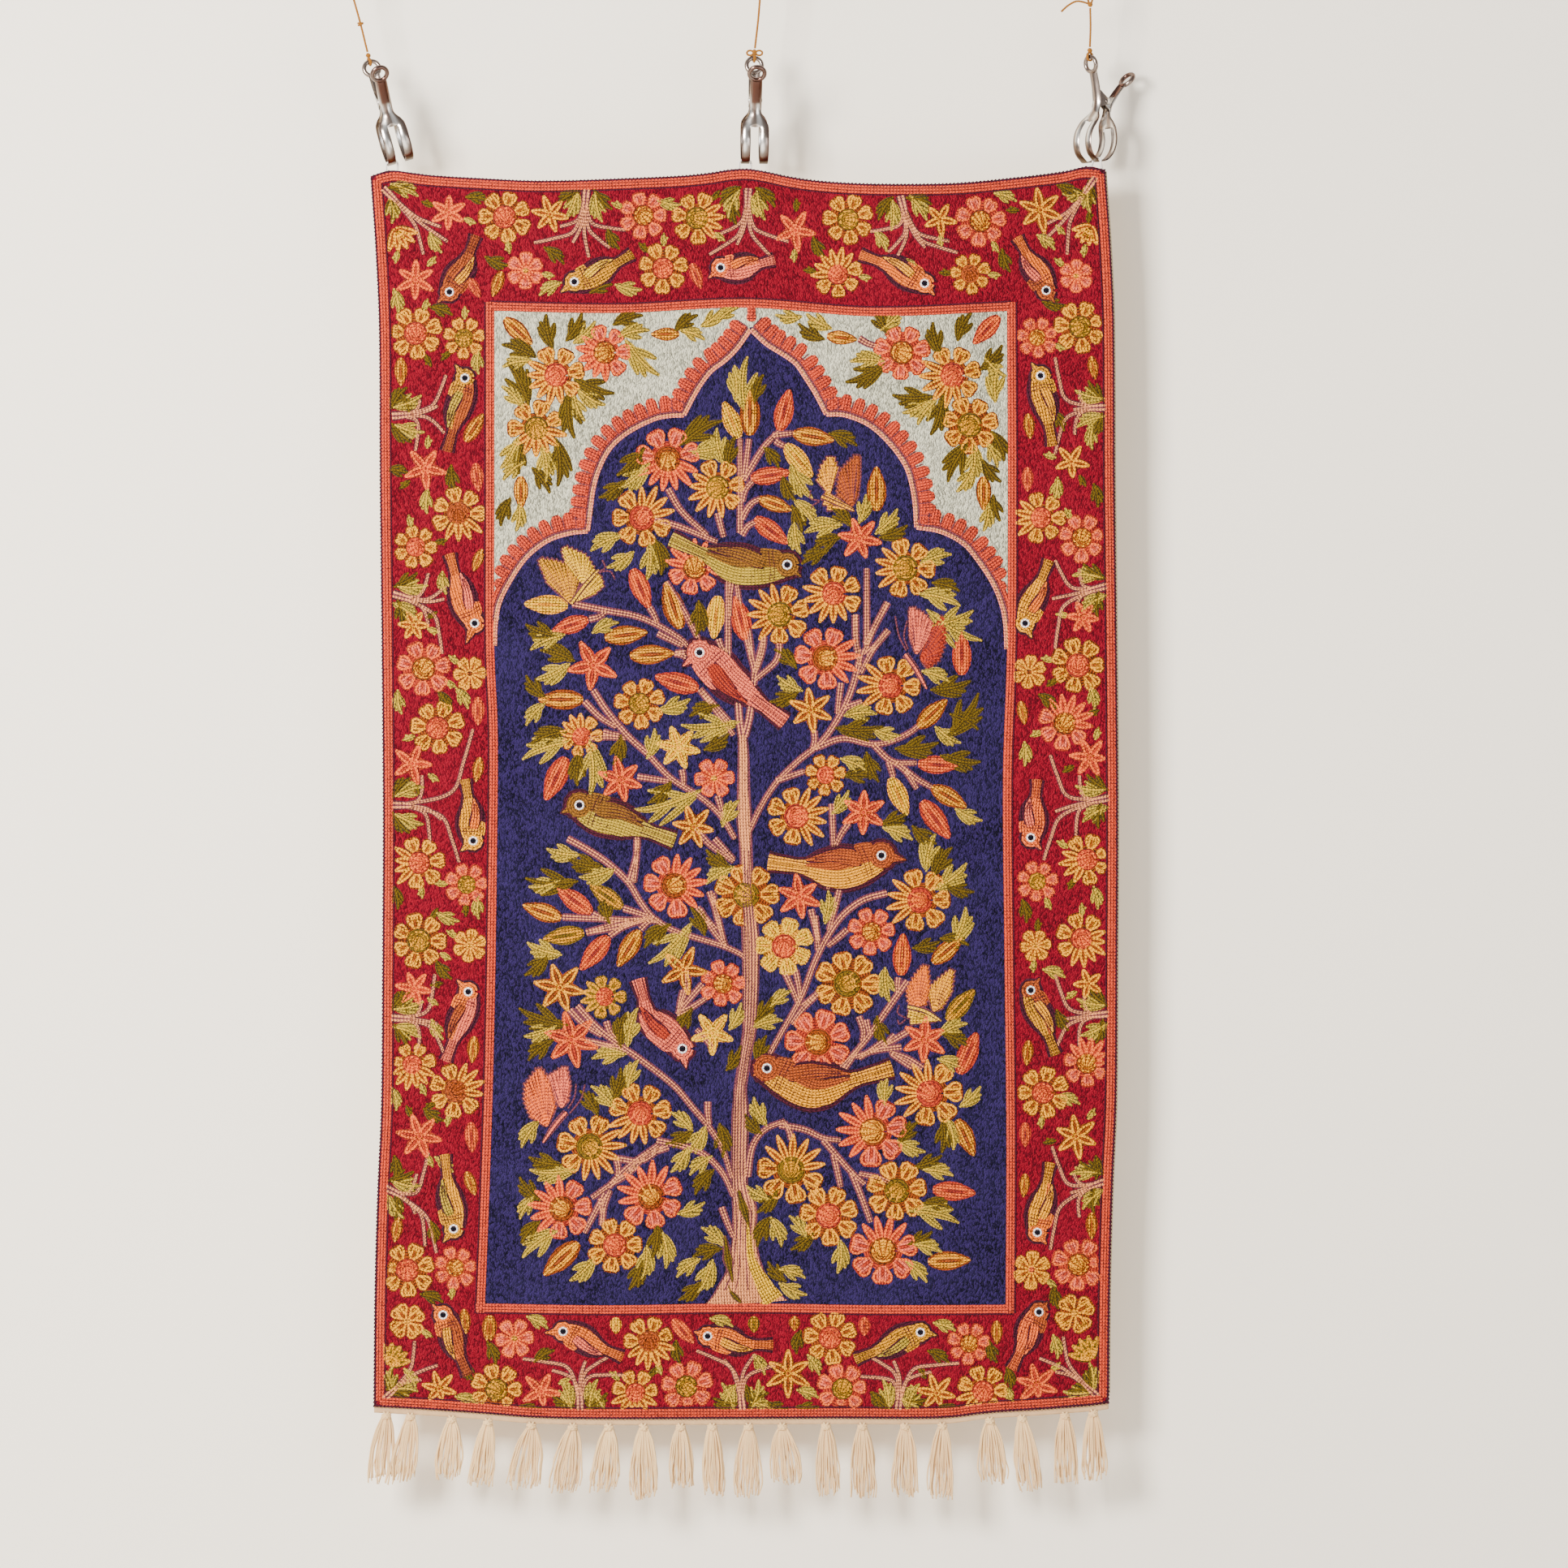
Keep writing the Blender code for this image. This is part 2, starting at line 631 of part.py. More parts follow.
def make_cotton_loop(place, frame, collection, cotton):
    """The loop sewn behind the top edge, over the tips of one pair of prongs."""
    behind = loop_behind()
    centre = Vector((place.prong * PRONG_CENTRE, 0, TIP_UP + LOOP_SEAT))
    over = [
        centre + Vector((LOOP_HALF_WIDTH * x, 0, LOOP_HALF_WIDTH * z))
        for x, z in [(-1, -0.7), (-0.86, -0.2), (-0.45, 0.0), (0.45, 0.0), (0.86, -0.2), (1, -0.7)]
    ]
    over = [frame @ point for point in over]
    if over[0].x > over[-1].x:
        over.reverse()
    legs = []
    for side in (-1, 1):
        u = place.loop_place + side * LOOP_HALF_WIDTH * 0.95
        legs.append([hang(u, down, behind) for down in (LOOP_SEWN, LOOP_SEWN / 2, 1.0 * MM)])
    points = legs[0] + over + legs[1][::-1]
    line = smooth_line(points, LOOP_STEP)
    return tube(f"loop_{place.side}", line, LOOP_WIRE, collection, cotton, sides=1)


def make_tie(place, frame, collection, cutters, twine):
    """The twine's turn through the back lever's eye, with its knot on top."""
    along = Vector((0, math.sin(eye_tilt()), math.cos(eye_tilt())))
    bar = Vector((0, EYE_OUT, EYE_UP)) + along * EYE_RADIUS
    radius = EYE_BAR + TWINE + 2 * GAP
    bpy.ops.mesh.primitive_torus_add(
        major_radius=radius, minor_radius=TWINE, major_segments=14, minor_segments=6
    )
    tie = bpy.context.object
    tie.name = tie.data.name = f"tie_{place.side}"
    tie.data.transform(frame @ Matrix.Translation(bar) @ Matrix.Rotation(math.radians(90), 4, "Y"))
    finish(tie, collection, twine)
    up = (place.nail - frame @ bar).normalized()
    knot = frame @ bar + up * (radius + TWINE + 0.4 * KNOT_RADIUS)
    size = Vector((2.0, 1.8, 2.0)) * KNOT_RADIUS
    lumps = [ball(f"tie_knot_{place.side}", knot, size, cutters, twine)]
    if place.side == "middle":
        for side in (-1, 1):
            bpy.ops.mesh.primitive_torus_add(
                major_radius=BOW_RADIUS, minor_radius=TWINE, major_segments=12, minor_segments=6
            )
            bow = bpy.context.object
            bow.name = f"tie_bow_{side}"
            lean = Matrix.Rotation(math.radians(90), 4, "X") @ Matrix.Scale(0.75, 4, (0, 1, 0))
            offset = Vector((side * BOW_OUT, -1.0 * MM, -1.5 * MM))
            bow.data.transform(Matrix.Translation(knot + offset) @ lean)
            finish(bow, cutters, twine)
            lumps.append(bow)
    join_all(tie, lumps)
    return tie, knot + up * (KNOT_RADIUS + 2 * GAP)


def make_nail_loop(place, collection, cutters, twine):
    """The loop at the top of the twine that goes over a nail, with its knot below."""
    width, length = NAIL_LOOP_WIDTH, place.twine_top
    foot = place.nail - Vector((0, 0, length))
    top = place.nail + Vector((0, 0, TWINE))
    line = [
        foot,
        foot.lerp(top, 0.30) + Vector((-width * 0.80, 0, 0)),
        foot.lerp(top, 0.62) + Vector((-width, 0, 0)),
        foot.lerp(top, 0.90) + Vector((-width * 0.66, 0, 0)),
        top,
        foot.lerp(top, 0.90) + Vector((width * 0.66, 0, 0)),
        foot.lerp(top, 0.62) + Vector((width, 0, 0)),
        foot.lerp(top, 0.30) + Vector((width * 0.80, 0, 0)),
    ]
    name = f"nail_loop_{place.side}"
    ring = tube(name, line, TWINE, cutters, twine, closed=True, sides=1)
    loop = as_mesh(ring, collection, twine)
    loop.name = loop.data.name = name
    size = Vector((2.0, 1.9, 2.0)) * KNOT_RADIUS
    lumps = [ball(name + "_knot", foot, size, cutters, twine)]
    if place.side == "right":
        tail = [
            foot + Vector((-0.001, 0, 0.001)),
            foot + Vector((-0.016, -0.002, 0.004)),
            foot + Vector((-0.027, -0.002, -0.001)),
            foot + Vector((-0.036, -0.002, -0.009)),
        ]
        end = tube(name + "_tail", tail, TWINE, cutters, twine, sides=1)
        lumps.append(as_mesh(end, cutters, twine))
    join_all(loop, lumps)
    return loop, foot - Vector((0, 0, KNOT_RADIUS + 2 * GAP))


def make_string(place, start, end, collection, twine):
    """The stretch of twine between the knot on the clip and the knot below the nail."""
    middle = start.lerp(end, 0.5) + Vector((TWINE_SAG, 0, 0))
    line = smooth_line([start, middle, end], TWINE_STEP)
    return tube(f"string_{place.side}", line, TWINE, collection, twine)


def make_middle_knot(start, end, collection, twine):
    """The knot part way up the left twine, as a turn round it."""
    bpy.ops.mesh.primitive_torus_add(
        major_radius=TWINE + 1.3 * GAP + TURN_WIRE,
        minor_radius=TURN_WIRE,
        major_segments=14,
        minor_segments=6,
    )
    knot = bpy.context.object
    knot.name = knot.data.name = "string_knot_left"
    up = (end - start).normalized()
    middle = start.lerp(end, TURN_SHARE) + Vector((TWINE_SAG, 0, 0))
    stretch = Matrix.Scale(TURN_STRETCH, 4, (0, 0, 1))
    knot.data.transform(
        Matrix.Translation(middle) @ up.to_track_quat("Z", "Y").to_matrix().to_4x4() @ stretch
    )
    finish(knot, collection, twine)
    return knot


def make_clip(place, collection, cutters, steel, cotton, twine):
    """A clip with its loop of cotton below and its twine above."""
    frame = clip_frame(place)
    name = f"clip_{place.side}"
    pieces = [
        make_lever(f"{name}_back", 1, OUTER_EAR, collection, cutters, steel),
        make_lever(f"{name}_front", -1, INNER_EAR, collection, cutters, steel),
        make_pin(f"{name}_pin", collection, steel),
        make_spring(f"{name}_spring", collection, cutters, steel),
    ]
    turned = Matrix.Rotation(math.radians(90), 4, "Y")
    for piece in pieces:
        is_turned_part = piece.name.endswith(("_pin", "_spring"))
        piece.matrix_world = frame @ turned if is_turned_part else frame
    for cutter in cutters.objects:
        if cutter.name.startswith(name):
            owner = next(piece for piece in pieces if cutter.name.startswith(piece.name))
            cutter.matrix_world = owner.matrix_world.copy()
    make_cotton_loop(place, frame, collection, cotton)
    _, start = make_tie(place, frame, collection, cutters, twine)
    _, end = make_nail_loop(place, collection, cutters, twine)
    make_string(place, start, end, collection, twine)
    if place.side == "left":
        make_middle_knot(start, end, collection, twine)


def main():
    clear_scene()
    hanging = new_collection("embroidered wall hanging")
    cutters = new_collection("cutters", in_render=False)
    tassels = new_collection("tassels", in_render=False)
    wool = new_material("embroidered wool", (0.42, 0.06, 0.07), 0.92)
    cotton = new_material("natural cotton", (0.76, 0.68, 0.55), 0.90)
    steel = new_material("bright steel", (0.62, 0.61, 0.60), 0.22, metallic=1.0)
    twine = new_material("jute twine", (0.55, 0.33, 0.17), 0.85)

    columns, rows = cloth_columns(), cloth_rows()
    hung_sheet("panel", columns, rows, 0.0, PANEL_THICKNESS, hanging, wool)
    behind = PANEL_THICKNESS / 2 + GAP + BACKING_THICKNESS / 2
    backed = [columns[0] + BACKING_INSET, *columns[1:-1], columns[-1] + BACKING_PEEK]
    backed_rows = [BACKING_INSET, *rows[1:-1]]
    hung_sheet("backing", backed, backed_rows, behind, BACKING_THICKNESS, hanging, cotton)
    make_fringe(hanging, tassels, cotton)
    for place in CLIPS:
        make_clip(place, hanging, cutters, steel, cotton, twine)


main()
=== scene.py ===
"""Embroidered wall hanging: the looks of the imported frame.

A wool chain-stitched cloth with its knotted fringe hangs by cotton loops from three spring clips
on twine. Places on the embroidery are given in steps of its chart. A step is 1.0055 mm; the chart
counts across from the left and down from the top, and CHART_ACROSS and CHART_DOWN tie it to the
frame's origin.
"""

import json
import math
from collections import namedtuple

import bpy
import numpy as np
from bpy.props import FloatProperty, FloatVectorProperty, IntProperty, PointerProperty
from mathutils import Matrix, Vector

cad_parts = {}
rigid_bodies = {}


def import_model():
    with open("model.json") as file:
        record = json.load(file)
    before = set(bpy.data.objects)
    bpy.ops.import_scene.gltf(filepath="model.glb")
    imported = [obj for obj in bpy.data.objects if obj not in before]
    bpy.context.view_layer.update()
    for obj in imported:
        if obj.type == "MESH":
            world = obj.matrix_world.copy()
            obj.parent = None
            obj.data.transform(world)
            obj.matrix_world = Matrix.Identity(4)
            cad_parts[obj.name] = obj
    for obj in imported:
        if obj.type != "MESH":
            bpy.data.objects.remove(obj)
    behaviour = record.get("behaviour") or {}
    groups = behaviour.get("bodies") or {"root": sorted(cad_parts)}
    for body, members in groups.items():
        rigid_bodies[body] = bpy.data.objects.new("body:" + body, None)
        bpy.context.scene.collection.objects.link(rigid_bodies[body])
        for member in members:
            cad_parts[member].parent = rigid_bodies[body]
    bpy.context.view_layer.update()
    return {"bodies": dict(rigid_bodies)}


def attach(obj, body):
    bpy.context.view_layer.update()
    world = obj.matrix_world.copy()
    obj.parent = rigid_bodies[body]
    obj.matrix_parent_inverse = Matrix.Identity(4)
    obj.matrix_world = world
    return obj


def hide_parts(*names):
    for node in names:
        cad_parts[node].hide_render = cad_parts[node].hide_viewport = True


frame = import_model()

bl_info = {
    "name": "Embroidered Wall Hanging",
    "version": (1, 0, 0),
    "blender": (4, 5, 0),
    "location": "3D View > Sidebar > Wall Hanging",
    "description": "Dresses the frame of a chain-stitched wall hanging with its clips and twine",
    "category": "Add Mesh",
}

MM = 0.001
GAP = 0.3 * MM
BODY = "root"

# The chart
STEP = 1.0055 * MM
CHART_ACROSS = 937.0
CHART_DOWN = 30.0
ROW = 3.5
STITCH = 4.0

# The cloth, with the same values as its solid
PANEL_WIDTH = 0.910
PANEL_LENGTH = 1.547
PANEL_THICKNESS = 2.6 * MM
BACKING_THICKNESS = 1.0 * MM
BACKING_PEEK = 2.0 * MM
BACKING_INSET = 1.5 * MM
PANEL_TOP = -0.2405
PANEL_MIDDLE = -0.028
PANEL_COLUMNS = 126
PANEL_ROWS = 214
BACKING_COLUMNS = 56
BACKING_ROWS = 94
STRIP_THICKNESS = 1.2 * MM
STRIP_ABOVE_EDGE = 12.0 * MM
STRIP_BELOW_EDGE = 8.0 * MM
KNOT_SIZE = Vector((12.0, 7.0, 10.0)) * MM

TOP_EDGE = [
    (-0.455, 0.0080), (-0.430, 0.0010), (-0.390, 0.0062), (-0.316, 0.0112), (-0.240, 0.0145),
    (-0.120, 0.0105), (-0.050, 0.0062), (0.010, -0.0010), (0.075, 0.0110), (0.140, 0.0172),
    (0.207, 0.0190), (0.271, 0.0175), (0.337, 0.0110), (0.402, 0.0030), (0.436, -0.0040),
    (0.455, 0.0005),
]
BOTTOM_EDGE = [
    (-0.455, -0.0150), (-0.390, -0.0115), (-0.326, -0.0070), (-0.250, -0.0015), (-0.120, 0.0),
    (0.110, -0.0008), (0.250, -0.0015), (0.306, -0.0080), (0.370, -0.0120), (0.430, -0.0165),
    (0.455, -0.0195),
]
SIDE_BOW = [
    (0.000, 0.0000), (0.090, 0.0062), (0.190, 0.0106), (0.390, 0.0118), (0.590, 0.0140),
    (0.800, 0.0156), (1.000, 0.0148), (1.170, 0.0135), (1.270, 0.0092), (1.400, 0.0056),
    (1.547, 0.0042),
]
Fold = namedtuple("Fold", "across half_width forward start end lean")
FOLDS = [
    Fold(0.012, 0.014, 0.0032, -0.20, 1.90, -0.008),
    Fold(-0.215, 0.110, 0.0085, -0.60, 0.62, 0.060),
    Fold(0.215, 0.095, 0.0110, -0.60, 0.70, -0.100),
    Fold(0.120, 0.040, -0.0040, -0.30, 0.80, 0.160),
    Fold(0.330, 0.050, -0.0035, -0.20, 1.00, -0.060),
    Fold(-0.330, 0.080, -0.0040, 0.30, 1.75, 0.020),
    Fold(0.300, 0.120, 0.0060, 0.70, 2.10, 0.000),
    Fold(-0.120, 0.090, 0.0050, 0.80, 2.10, -0.040),
]
CREASES = [(0.318, 0.030, 0.0016), (0.980, 0.026, -0.0018)]
# Finer ripples than the solid has: across, down, half width, half length, forward, lean
RIPPLES = [
    (-0.400, 0.030, 0.016, 0.050, -0.0012, 0.30),
    (-0.375, 0.040, 0.014, 0.060, 0.0010, 0.40),
    (-0.030, 0.030, 0.016, 0.055, -0.0012, -0.35),
    (0.050, 0.035, 0.016, 0.060, -0.0012, 0.35),
    (0.400, 0.035, 0.014, 0.060, -0.0012, -0.35),
    (0.180, 0.200, 0.020, 0.110, 0.0014, -0.25),
    (0.235, 0.210, 0.018, 0.120, -0.0012, -0.20),
    (0.275, 0.190, 0.018, 0.110, 0.0014, -0.15),
    (-0.200, 0.190, 0.024, 0.110, 0.0010, 0.25),
    (-0.255, 0.200, 0.020, 0.100, -0.0010, 0.20),
    (0.060, 0.900, 0.022, 0.300, -0.0008, 0.02),
    (-0.090, 0.700, 0.026, 0.260, 0.0008, 0.03),
    (0.160, 1.200, 0.026, 0.240, 0.0008, -0.03),
]

Tassel = namedtuple("Tassel", "place half_spread length lean")
# How much wider than its solid a tassel spreads
TASSEL_FULLNESS = 1.06
TASSELS = [
    Tassel(-0.440, 0.0150, 0.086, -0.0080), Tassel(-0.410, 0.0130, 0.082, -0.0100),
    Tassel(-0.359, 0.0150, 0.076, -0.0050), Tassel(-0.314, 0.0130, 0.081, -0.0095),
    Tassel(-0.260, 0.0175, 0.081, -0.0098), Tassel(-0.209, 0.0170, 0.083, -0.0120),
    Tassel(-0.164, 0.0150, 0.083, -0.0075), Tassel(-0.121, 0.0160, 0.091, 0.0005),
    Tassel(-0.075, 0.0130, 0.076, 0.0015), Tassel(-0.036, 0.0120, 0.087, 0.0030),
    Tassel(0.009, 0.0150, 0.090, -0.0025), Tassel(0.051, 0.0170, 0.074, 0.0062),
    Tassel(0.105, 0.0125, 0.087, 0.0025), Tassel(0.150, 0.0140, 0.089, 0.0018),
    Tassel(0.203, 0.0130, 0.089, 0.0005), Tassel(0.249, 0.0130, 0.092, -0.0025),
    Tassel(0.308, 0.0160, 0.080, 0.0060), Tassel(0.348, 0.0130, 0.091, 0.0095),
    Tassel(0.401, 0.0130, 0.085, 0.0025), Tassel(0.436, 0.0130, 0.084, 0.0015),
]

# The clips, drawn closed and upright, with the same values as their solids
SHEET_STEEL = 1.4 * MM
EYE_OUT = 31.0 * MM
EYE_UP = 38.5 * MM
EYE_RADIUS = 9.4 * MM
EYE_BAR = 2.8 * MM
TIP_UP = -79.0 * MM
PRONG_CENTRE = 11.3 * MM
SLOT_SHARE = 0.37
PRONG_SHARE = 0.68
PIN_RADIUS = 1.4 * MM
PIN_HEAD = 2.6 * MM
PIN_HEAD_HEIGHT = 0.9 * MM
EAR_RADIUS = 4.6 * MM
EAR_THICKNESS = 1.2 * MM
OUTER_EAR = 7.2 * MM
INNER_EAR = 5.6 * MM
EAR_REACH = 0.9
EAR_EDGE = 0.25 * MM
LEVER_EDGE = 0.35 * MM
LEVER_NEAR = 0.4 * MM
EAR_ROOTS = [(0.0152, 0.0110), (0.0098, -0.0030), (0.0096, -0.0105)]
SPRING_RADIUS = 3.4 * MM
SPRING_HALF_LENGTH = 4.0 * MM
SPRING_WIRE = 0.7 * MM
SPRING_TURNS = 5
SPRING_STEPS = 20
SPRING_LEG = 2.6 * MM
SPRING_LEG_OUT = 14.0 * MM
SPRING_LEG_UP = 12.6 * MM
# out, up, width and arch of a lever from below its eye to the tips of its prongs
LEVER = [
    (0.0272, 0.0300, 0.0138, 0.0026),
    (0.0196, 0.0140, 0.0146, 0.0036),
    (0.0125, -0.0035, 0.0146, 0.0036),
    (0.0122, -0.0150, 0.0150, 0.0034),
    (0.0144, -0.0225, 0.0262, 0.0030),
    (0.0170, -0.0290, 0.0322, 0.0024),
    (0.0220, -0.0450, 0.0330, 0.0016),
    (0.0210, -0.0600, 0.0330, 0.0012),
    (0.0135, -0.0725, 0.0330, 0.0008),
    (0.0004, -0.0790, 0.0330, 0.0000),
]
SLOT_STATION = 5

# The cotton loops and the twine
LOOP_WIRE = 1.4 * MM
LOOP_HALF_WIDTH = 7.3 * MM
LOOP_SEWN = 22.0 * MM
LOOP_SEAT = 4.0 * MM
LOOP_STEP = 1.2 * MM
TWINE = 1.4 * MM
TWINE_SAG = 0.6 * MM
KNOT_RADIUS = 3.6 * MM
BOW_RADIUS = 4.0 * MM
BOW_OUT = 5.6 * MM
TURN_WIRE = 1.2 * MM
TURN_SHARE = 0.47
NAIL_LOOP_WIDTH = 5.0 * MM

ClipPlace = namedtuple("ClipPlace", "side loop_place yaw roll drop nail twine_top")
CLIPS = [
    ClipPlace("left", -0.4290, 8.5, -17.0, 0.0075, Vector((-0.5065, 0.0, 0.0)), 0.016),
    ClipPlace("middle", 0.009, 3.5, 0.0, 0.0072, Vector((0.0, 0.0, 0.0)), 0.016),
    ClipPlace("right", 0.4450, 129.0, 0.0, 0.0080, Vector((0.4085, 0.0, 0.0)), 0.036),
]

DRAW = np.random.default_rng(2117)


# Shapes of the hung cloth


def read_smooth(rows, at):
    """The values at these places in a table of (place, value) rows, on a smooth curve."""
    place, value = np.array(rows, float).T
    at = np.clip(np.asarray(at, float), place[0], place[-1])
    right = np.clip(np.searchsorted(place, at), 1, len(place) - 1)
    left = right - 1
    before = np.maximum(right - 2, 0)
    after = np.minimum(right + 1, len(place) - 1)
    span = place[right] - place[left]
    t = (at - place[left]) / span
    slope_a = (value[right] - value[before]) / (place[right] - place[before]) * span
    slope_b = (value[after] - value[left]) / (place[after] - place[left]) * span
    rise = value[right] - value[left]
    cubic = slope_a + slope_b - 2 * rise
    square = 3 * rise - 2 * slope_a - slope_b
    return value[left] + t * (slope_a + t * (square + t * cubic))


def run_of(line):
    """How far along a line of points each of them lies."""
    return np.concatenate([[0.0], np.cumsum(np.linalg.norm(np.diff(line, axis=0), axis=1))])


def curve_at(line, place, at):
    """Points at these distances on the smooth curve through a line of points."""
    return np.stack([read_smooth(np.stack([place, column], 1), at) for column in line.T], 1)


def fold_relief(u, v):
    """How far the cloth's folds and creases stand forward at u across and v down."""
    forward = np.zeros(np.broadcast(u, v).shape)
    for fold in FOLDS:
        across = (u - fold.across - fold.lean * v) / fold.half_width
        along = np.clip((v - fold.start) / (fold.end - fold.start), 0.0, 1.0)
        forward += fold.forward * np.sin(np.pi * along) ** 2 * np.exp(-across * across)
    for down, half_width, height in CREASES:
        forward += height * np.exp(-(((v - down) / half_width) ** 2))
    return forward


def relief(u, v):
    """The folds and creases with the finer ripples that the solid leaves out."""
    forward = fold_relief(u, v)
    for across, down, half_width, half_length, height, lean in RIPPLES:
        side = (u - across - lean * (v - down)) / half_width
        along = (v - down) / half_length
        forward += height * np.exp(-side * side - along * along)
    return forward


def hem_lines(u):
    """The heights of the cloth's top and bottom edges at u across."""
    top = PANEL_TOP - read_smooth(TOP_EDGE, u)
    bottom = PANEL_TOP - PANEL_LENGTH - read_smooth(BOTTOM_EDGE, u)
    return top, bottom


def hang(u, v, behind=0.0, shape=relief):
    """Points of the hung cloth u across and v down from its top middle, as rows of x, y, z."""
    u, v = np.broadcast_arrays(np.asarray(u, float), np.asarray(v, float))
    top, bottom = hem_lines(u)
    x = PANEL_MIDDLE + u + read_smooth(SIDE_BOW, v)
    z = top + v / PANEL_LENGTH * (bottom - top)
    return np.stack([x, behind - shape(u, v), z], axis=-1)


def on_cloth(chart, lift):
    """Points that stand lift metres in front of the cloth at these places of the chart."""
    x = (chart[..., 0] - CHART_ACROSS) * STEP
    z = -(chart[..., 1] + CHART_DOWN) * STEP
    u = x - PANEL_MIDDLE
    for _ in range(3):
        top, bottom = hem_lines(u)
        v = np.clip((z - top) / (bottom - top), 0.0, 1.0) * PANEL_LENGTH
        u = x - PANEL_MIDDLE - read_smooth(SIDE_BOW, v)
    return np.stack([x, -relief(u, v) - PANEL_THICKNESS / 2 - lift, z], axis=-1)


def to_chart(points):
    """The chart's places of these points."""
    across = points[..., 0] / STEP + CHART_ACROSS
    return np.stack([across, -points[..., 2] / STEP - CHART_DOWN], axis=-1)


# Finishing a piece


def deselect():
    bpy.ops.object.select_all(action="DESELECT")


def pick(thing):
    deselect()
    thing.select_set(True)
    bpy.context.view_layer.objects.active = thing


def apply_all(thing):
    pick(thing)
    for modifier in list(thing.modifiers):
        bpy.ops.object.modifier_apply(modifier=modifier.name)


def finish_piece(thing, material, replaced=()):
    """Gives a piece its material, its body and the solids that it stands for."""
    thing.data.materials.clear()
    for one in material if isinstance(material, (list, tuple)) else [material]:
        thing.data.materials.append(one)
    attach(thing, BODY)
    if replaced:
        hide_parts(*replaced)
    deselect()
    return thing


def object_of(name, points, faces):
    """A mesh object from arrays of points and quads or triangles."""
    mesh = bpy.data.meshes.new(name)
    faces = np.asarray(faces, np.int32)
    sides = faces.shape[1]
    mesh.vertices.add(len(points))
    mesh.vertices.foreach_set("co", np.asarray(points, np.float32).ravel())
    mesh.loops.add(faces.size)
    mesh.loops.foreach_set("vertex_index", faces.ravel())
    mesh.polygons.add(len(faces))
    mesh.polygons.foreach_set("loop_start", np.arange(0, faces.size, sides, dtype=np.int32))
    mesh.polygons.foreach_set("use_smooth", np.ones(len(faces), bool))
    mesh.update(calc_edges=True)
    mesh.validate()
    made = bpy.data.objects.new(name, mesh)
    bpy.context.scene.collection.objects.link(made)
    return made


def grid_faces(rows, columns, closed=False):
    """Quads of a grid of points given row by row; closed joins its last column to its first."""
    start = np.arange(rows - 1)[:, None] * columns
    column = np.arange(columns if closed else columns - 1)[None, :]
    beside = (column + 1) % columns
    after = start + columns
    return np.stack(
        [start + column, after + column, after + beside, start + beside], axis=-1
    ).reshape(-1, 4)


def write_uv(thing, values):
    """A UV map from one pair of values a vertex."""
    layer = thing.data.uv_layers.new(name="stitches")
    index = np.empty(len(thing.data.loops), np.int32)
    thing.data.loops.foreach_get("vertex_index", index)
    layer.data.foreach_set("uv", np.asarray(values, np.float32)[index].ravel())


def write_shade(thing, values):
    """The attribute that lightens or darkens one row of stitches beside the next at random, and
    that holds the clips' painted reflections and painted shade.
    """
    layer = thing.data.attributes.new("shade", "FLOAT", "POINT")
    layer.data.foreach_set("value", np.asarray(values, np.float32))


# Cords of laid yarn


def smooth_line(points, step):
    """Points about a step apart on a smooth curve through the given ones."""
    points = np.array([tuple(point) for point in points], float)
    place = run_of(points)
    count = max(2, math.ceil(place[-1] / step)) + 1
    return curve_at(points, place, np.linspace(0.0, place[-1], count))


def closed_line(points, step):
    """As smooth_line, round a closed ring of points, without repeating the first."""
    points = [tuple(point) for point in points]
    around = np.array(points[-2:] + points + points[:3], float)
    place = run_of(around)
    start, end = place[2], place[-3]
    count = max(6, round((end - start) / step))
    return curve_at(around, place, np.linspace(start, end, count + 1)[:-1])


def frames_along(line, closed=False):
    """Two unit vectors across the line at each of its points, turned as little as can be."""
    ahead = np.roll(line, -1, axis=0) - np.roll(line, 1, axis=0)
    if not closed:
        ahead[0], ahead[-1] = line[1] - line[0], line[-1] - line[-2]
    ahead /= np.linalg.norm(ahead, axis=1)[:, None]
    side = np.cross(ahead[0], (0.0, 1.0, 0.0) if abs(ahead[0][1]) < 0.8 else (1.0, 0.0, 0.0))
    sides = []
    for direction in ahead:
        side = side - direction * side.dot(direction)
        side /= np.linalg.norm(side)
        sides.append(side)
    sides = np.array(sides)
    return sides, np.cross(ahead, sides)


